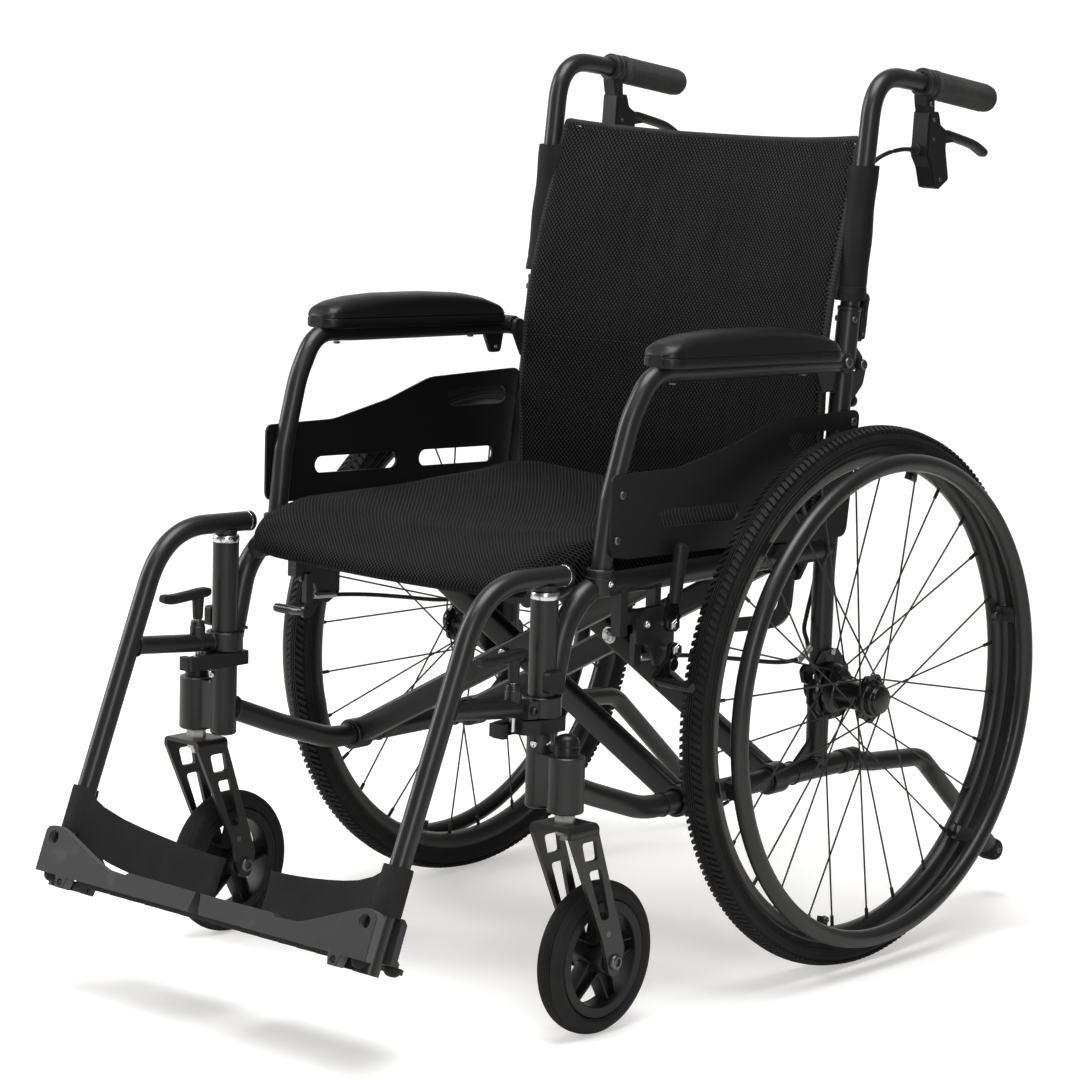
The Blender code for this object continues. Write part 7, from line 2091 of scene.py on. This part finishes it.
# %% Canes
cane = Shape()
cane_run = arc_points(((CANE_X, post_y(0.6641), 0.6641), (CANE_X, post_y(0.9920), 0.9920),
                       (CANE_X, 0.1720, 0.9797),
                       (CANE_X, 0.2785, 0.9638)), [0, 0.050, 0, 0], 16)
cane.tube(cane_run, ARM_TUBE, 28)
cane.rod((CANE_X, post_y(0.6642), 0.6642), (CANE_X, post_y(0.7340), 0.7340), 0.0130, 28)
cane.turned(((0.0130, 0), (0.0138, 0.0008), (0.0138, 0.0038), (0.0130, 0.0046)), 28,
            Matrix.Translation((CANE_X, post_y(0.7290), 0.7290)) @ Matrix.Rotation(-0.112, 4, "X"))
by, bz = BACK_AT
tongue = flat_line(((post_y(0.675) + 0.0060, 0.6680), (by + 0.0020, bz - 0.0075), (by + 0.0085, bz),
                    (by + 0.0070, bz + 0.0080), (by + 0.0030, bz + 0.0125), (post_y(0.69) + 0.0130, 0.6890),
                    (post_y(0.69) + 0.0120, 0.6925), (post_y(0.69) + 0.0060, 0.6930)),
                   [0, 0.004, 0.006, 0.003, 0.003, 0.003, 0.002, 0], 5)
cane.upright(tongue, CANE_X - 0.0054, 0.0108)
lug = flat_line(((0.0400, 0.6950), (0.0600, 0.6930), (0.0640, 0.7010), (0.0560, 0.7120), (0.0420, 0.7200)),
                0.003, 5)
cane.upright(lug, CANE_X - 0.0018, 0.0036, [ring_line(0.0024, 14, (0.0570, 0.7040))])
cane.mark = 1
cane.screw((CANE_X + 0.0118, post_y(0.72) - 0.0050, 0.7200), (0.92, -0.38, 0), 0.0036, 0.0022)
cane.screw((CANE_X - 0.0118, post_y(0.72) - 0.0050, 0.7200), (-0.92, -0.38, 0), 0.0036, 0.0022)
both("cane", cane, "back", [frame_paint, dark_steel], "frame_paint", ["cane"], bevel=0.0005)

# %% [markdown]
# The hand grip is rubber moulded over the tube's end. Its working face is a field of small raised arrows,
# left plain at the flange and at the rounded tip, and it is pushed on wet so that it never turns.

# %% Hand grips
GRIP_FROM, GRIP_TO = Vector((CANE_X, 0.1755, 0.9792)), Vector((CANE_X, 0.2905, 0.9620))
along = (GRIP_TO - GRIP_FROM).normalized()
grip_long = (GRIP_TO - GRIP_FROM).length + 0.0030
grip_place = plane_at(GRIP_FROM, (1, 0, 0), along.cross(Vector((1, 0, 0))))
if (grip_place @ Vector((0, 0, 1)) - GRIP_FROM).dot(along) < 0:
    grip_place = plane_at(GRIP_FROM, (-1, 0, 0), along.cross(Vector((1, 0, 0))))
grip = Shape()
rings = []
heights = ([0.0000, 0.0006, 0.0022, 0.0046, 0.0068, 0.0078, 0.0084] + list(np.linspace(0.0100,
    grip_long - 0.0120, 176))
           + [grip_long - f for f in (0.0100, 0.0072, 0.0046, 0.0026, 0.0012, 0.0003, 0.0)])
for h in heights:
    ring = []
    for k in range(96):
        a = 2 * math.pi * k / 96
        if h < 0.0084:
            r = float(np.interp(h, (0, 0.0006, 0.0022, 0.0068, 0.0078, 0.0084),
                                (0.0150, 0.0166, 0.0171, 0.0170, 0.0164, 0.0156)))
        else:
            left = grip_long - h
            r = 0.0158
            if left <= 0.0100:
                r *= math.sqrt(max(1 - ((0.0100 - left) / 0.0100) ** 2 * 0.92, 0.0001))
            if 0.0140 < h < grip_long - 0.0140:
                fold = abs(((a * 6 / math.pi) % 2) - 1)
                phase = (h / 0.0042 + fold * 1.1) % 1
                raised = 1 / (1 + math.exp(-(0.5 - abs(phase - 0.5) - 0.22) * 26))
                gap = 1 / (1 + math.exp(-(min(fold, 1 - fold) - 0.08) * 50))
                r += 0.0007 * raised * gap
        ring.append(grip_place @ Vector((r * math.cos(a), r * math.sin(a), h)))
    rings.append(ring)
grip.skin(rings)
both("grip", grip, "back", [grip_rubber], "rubber", ["grip"], sharp=50)

# %% [markdown]
# The brake lever's housing clamps round the tube below the grip. It is a small die casting with a cover, a
# steel barrel at the front where the cable comes out, and a lever that pulls the inner wire.

# %% Brake housings
LEVER_AT = (0.1700, 0.9180)
housing = Shape()
along = (GRIP_TO - GRIP_FROM).normalized()
clamp_at = GRIP_FROM - along * 0.0130
clamp_place = plane_at(clamp_at - along * 0.0075, (1, 0, 0), along.cross(Vector((1, 0, 0))))
if (clamp_place @ Vector((0, 0, 1)) - clamp_place.translation).dot(along) < 0:
    clamp_place = plane_at(clamp_at - along * 0.0075, (-1, 0, 0), along.cross(Vector((1, 0, 0))))
housing.turned(((0.0112, 0), (0.0155, 0), (0.0164, 0.0010), (0.0164, 0.0060), (0.0158, 0.0066),
                (0.0158, 0.0092),
                (0.0164, 0.0098), (0.0164, 0.0150), (0.0155, 0.0160), (0.0112, 0.0160)), 40, clamp_place,
               closed=True)
neck = flat_line(((0.1540, 0.9680), (0.1720, 0.9680), (0.1740, 0.9440), (0.1600, 0.9440), (0.1560, 0.9560)),
                 0.002, 4)
housing.upright(neck, CANE_X - 0.0080, 0.0160)
box_line = ((0.1590, 0.9490), (0.1780, 0.9490), (0.1830, 0.9340), (0.1960, 0.9270), (0.1950, 0.9060),
            (0.2030, 0.8720), (0.1840, 0.8610), (0.1740, 0.8630), (0.1660, 0.8860), (0.1560, 0.8990),
            (0.1570, 0.9160))
box_round = [0.003, 0.003, 0.006, 0.004, 0.012, 0.004, 0.004, 0.003, 0.010, 0.004, 0.010]
casting = flat_line(box_line, box_round, 5)
housing.upright(casting, CANE_X - 0.0103, 0.0206)
housing.mark = 1
middle_y, middle_z = (sum(p[k] for p in box_line) / len(box_line) for k in (0, 1))
cover = flat_line([(middle_y + (y - middle_y) * 0.86, middle_z + (z - middle_z) * 0.93) for y,
                   z in box_line], box_round, 5)
housing.upright(cover, CANE_X + 0.0102, 0.0012)
housing.upright(cover, CANE_X - 0.0114, 0.0012)
housing.mark = 0
housing.rod((CANE_X, 0.1620, 0.9060), (CANE_X, 0.1500, 0.9060), 0.0058, 20)
for k in range(5):
    y = 0.1496 - 0.0009 * k
    housing.rod((CANE_X, y, 0.9060), (CANE_X, y - 0.0006, 0.9060), 0.0048 - 0.0002 * (k % 2), 16)
housing.mark = 2
for y, z in ((0.1680, 0.9400), (0.1850, 0.8720)):
    housing.screw((CANE_X + 0.0113, y, z), (1, 0, 0), 0.0026, 0.0012)
housing.screw((CANE_X + 0.0078, 0.1650, 0.9580), (1, 0, 0), 0.0040, 0.0032)
housing.rod((CANE_X - 0.0118, *LEVER_AT), (CANE_X + 0.0118, *LEVER_AT), 0.0024, 16)
both("brake_housing", housing, "back", [housing_plastic, satin_plastic, dark_steel], "black_plastic",
     ["brake_housing"],
     bevel=0.0008)

lever = Shape()
py, pz = 0.1880, 0.9190
root = flat_line(((py - 0.0220, pz - 0.0050), (py + 0.0080, pz - 0.0070), (py + 0.0300, pz - 0.0052),
                  (py + 0.0300, pz + 0.0042), (py + 0.0080, pz + 0.0060), (py - 0.0220, pz + 0.0040)), 0.003,
                 5)
lever.upright(root, CANE_X - 0.0048, 0.0096)
blade_line = smooth_line([(CANE_X, py + 0.0120, pz + 0.0040), (CANE_X, py + 0.0220, pz + 0.0030),
                          (CANE_X, py + 0.0420, pz - 0.0012), (CANE_X, py + 0.0750, pz - 0.0090),
                          (CANE_X, py + 0.1000, pz - 0.0205)], 30)
oval = [(0.0068 * math.copysign(abs(math.cos(a)) ** 0.7, math.cos(a)),
         0.0056 * math.copysign(abs(math.sin(a)) ** 0.7, math.sin(a))) for a in (2 * math.pi * k / 24
             for k in range(24))]


def lever_width(t):
    end = math.sqrt(max(1 - max((t - 0.95) / 0.05, 0) ** 2, 0.05))
    start = min(0.55 + t * 6, 1)
    return (1.0 + 0.10 * math.sin(t * 3)) * end * (0.85 + 0.15 * start), end * start * (1.0 - 0.12 * t)


lever.sweep(blade_line, oval, scale=lever_width)
both("brake_lever", lever, "brake_lever", [lever_plastic], "black_plastic", ["brake_lever"], bevel=0.0007)

# %% [markdown]
# A forked lever behind each cane holds its joint shut. It is pressed from sheet and coated, and pulling its
# paddle back lets the tongue slip off the hook.

# %% Back release levers
paddle = Shape()
py, pz = 0.0560, 0.7020
cheek = flat_line(((py - 0.0050, pz - 0.0060), (py + 0.0050, pz - 0.0060), (py + 0.0080, pz + 0.0160),
                   (py + 0.0100, pz + 0.0400), (py + 0.0010, pz + 0.0400), (py - 0.0040, pz + 0.0200)),
                  [0.004, 0.004, 0.010, 0.003, 0.003, 0.010], 5)
for dx in (-0.0060, 0.0032):
    paddle.upright(cheek, CANE_X + dx, 0.0028)
blade = smooth_line([(CANE_X, py + 0.0035, pz + 0.0180), (CANE_X, py + 0.0062, pz + 0.0340),
                     (CANE_X, py + 0.0092, pz + 0.0460)], 16)
flat_oval = [(0.0085 * math.copysign(abs(math.cos(a)) ** 0.6, math.cos(a)), 0.0024 * math.sin(a))
             for a in (2 * math.pi * k / 24 for k in range(24))]
paddle.sweep(blade, flat_oval, scale=lambda t: (math.sqrt(max(1 - max((t - 0.72) / 0.28, 0) ** 2, 0.04)), 1))
paddle.mark = 1
paddle.rod((CANE_X - 0.0074, py + 0.0002, pz), (CANE_X + 0.0074, py + 0.0002, pz), 0.0024, 16)
both("back_fold_lever", paddle, "back_lever", [lever_plastic, dark_steel], "black_plastic",
     ["back_fold_lever"],
     bevel=0.0006)

# %% [markdown]
# Each brake cable is a steel wire in a lined jacket. It leaves the housing, runs down the inner side of the
# cane, beside the panel, and ends in the drum brake's arm. A second cable joins the drum brake to the wheel
# lock. The length of each is the length of its run, measured along the line drawn here.

# %% Brake cables
HAND_LINE = ((0.2310, 0.1450, 0.9060), (0.2290, 0.1270, 0.9065), (0.2230, 0.1030, 0.9010),
             (0.2150, 0.0880, 0.8880), (0.2120, 0.0760, 0.8600), (0.2115, 0.0640, 0.8000),
             (0.2110, 0.0560, 0.7300), (0.2110, 0.0480, 0.6600), (0.2130, 0.0350, 0.5800),
             (0.2140, 0.0240, 0.5000), (0.2150, 0.0160, 0.4300), (0.2180, 0.0000, 0.3900),
             (0.2280, -0.0180, 0.3740), (0.2440, -0.0330, 0.3640), (0.2530, -0.0430, 0.3580))
LOCK_LINE = ((0.2540, -0.0560, 0.3480), (0.2540, -0.1000, 0.3500), (0.2500, -0.1700, 0.3620),
             (0.2440, -0.2300, 0.3720), (0.2425, -0.2800, 0.3780), (0.2425, -0.3250, 0.3815))
JACKET = 0.0025
hand_cable, lock_cable = Shape(), Shape()
hand_line = smooth_line(HAND_LINE, 150)
lock_line = smooth_line(LOCK_LINE, 60)
hand_cable.tube(hand_line, JACKET, 14, (0.25, 0.9, 0.2))
lock_cable.tube(lock_line, JACKET, 14, (0.1, 0.1, 1))
line_length = lambda line: sum((b - a).length for a, b in zip(line, line[1:]))
ferrules, lock_ferrules = Shape(), Shape()
ferrules.rod((0.2540, -0.0400, 0.3595), (0.2540, -0.0610, 0.3462), 0.0036, 16)
lock_ferrules.rod(lock_line[0], lock_line[2], 0.0034, 16)
lock_ferrules.rod(lock_line[-9], lock_line[-1], 0.0036, 16)
for word, side in SIDES:
    at = lambda p: tuple(TO_FRAME @ Vector((p[0] * side, p[1], p[2])))
    hand_path, lock_path = [at(p) for p in hand_line], [at(p) for p in lock_line]
    end = piece(f"{word}_cable_ferrule", ferrules, f"{word}_side", [zinc], "black_plastic", side=side)
    hand = piece(f"{word}_hand_brake_cable", hand_cable, f"{word}_back", [cable_rubber], "black_plastic",
                 [f"{word}_brake_cable"], side=side)
    hand.parent = None
    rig.blend(hand, f"{word}_side", f"{word}_back", at((0.2110, 0.0430, 0.630)), at((0.2110, 0.0520, 0.705)))
    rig.cord(hand, at(HAND_LINE[0]), line_length(hand_line), 2 * JACKET, "object",
            path=hand_path, with_pieces=[end])
    lock_end = piece(f"{word}_lock_cable_ferrules", lock_ferrules, f"{word}_side", [zinc], "black_plastic",
                     side=side)
    lock = piece(f"{word}_lock_brake_cable", lock_cable, f"{word}_side", [cable_rubber], "black_plastic",
                 [f"{word}_brake_cable"], side=side)
    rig.cord(lock, at(LOCK_LINE[0]), line_length(lock_line), 2 * JACKET, "object",
            path=lock_path, with_pieces=[lock_end])
print("hand cable", round(line_length(hand_line), 3), "m, wheel-lock cable",
      round(line_length(lock_line), 3), "m")

# %% [markdown]
# Dressing must not make the chair bigger than its frame. Both boxes are written down, so that they can be
# compared.

# %% Sizes
sizes = {"frame": [list(corner) for corner in cad_box], "dressed": [list(corner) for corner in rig.bounds()]}
with open("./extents.json", "w") as out:
    json.dump(sizes, out)
print(sizes)
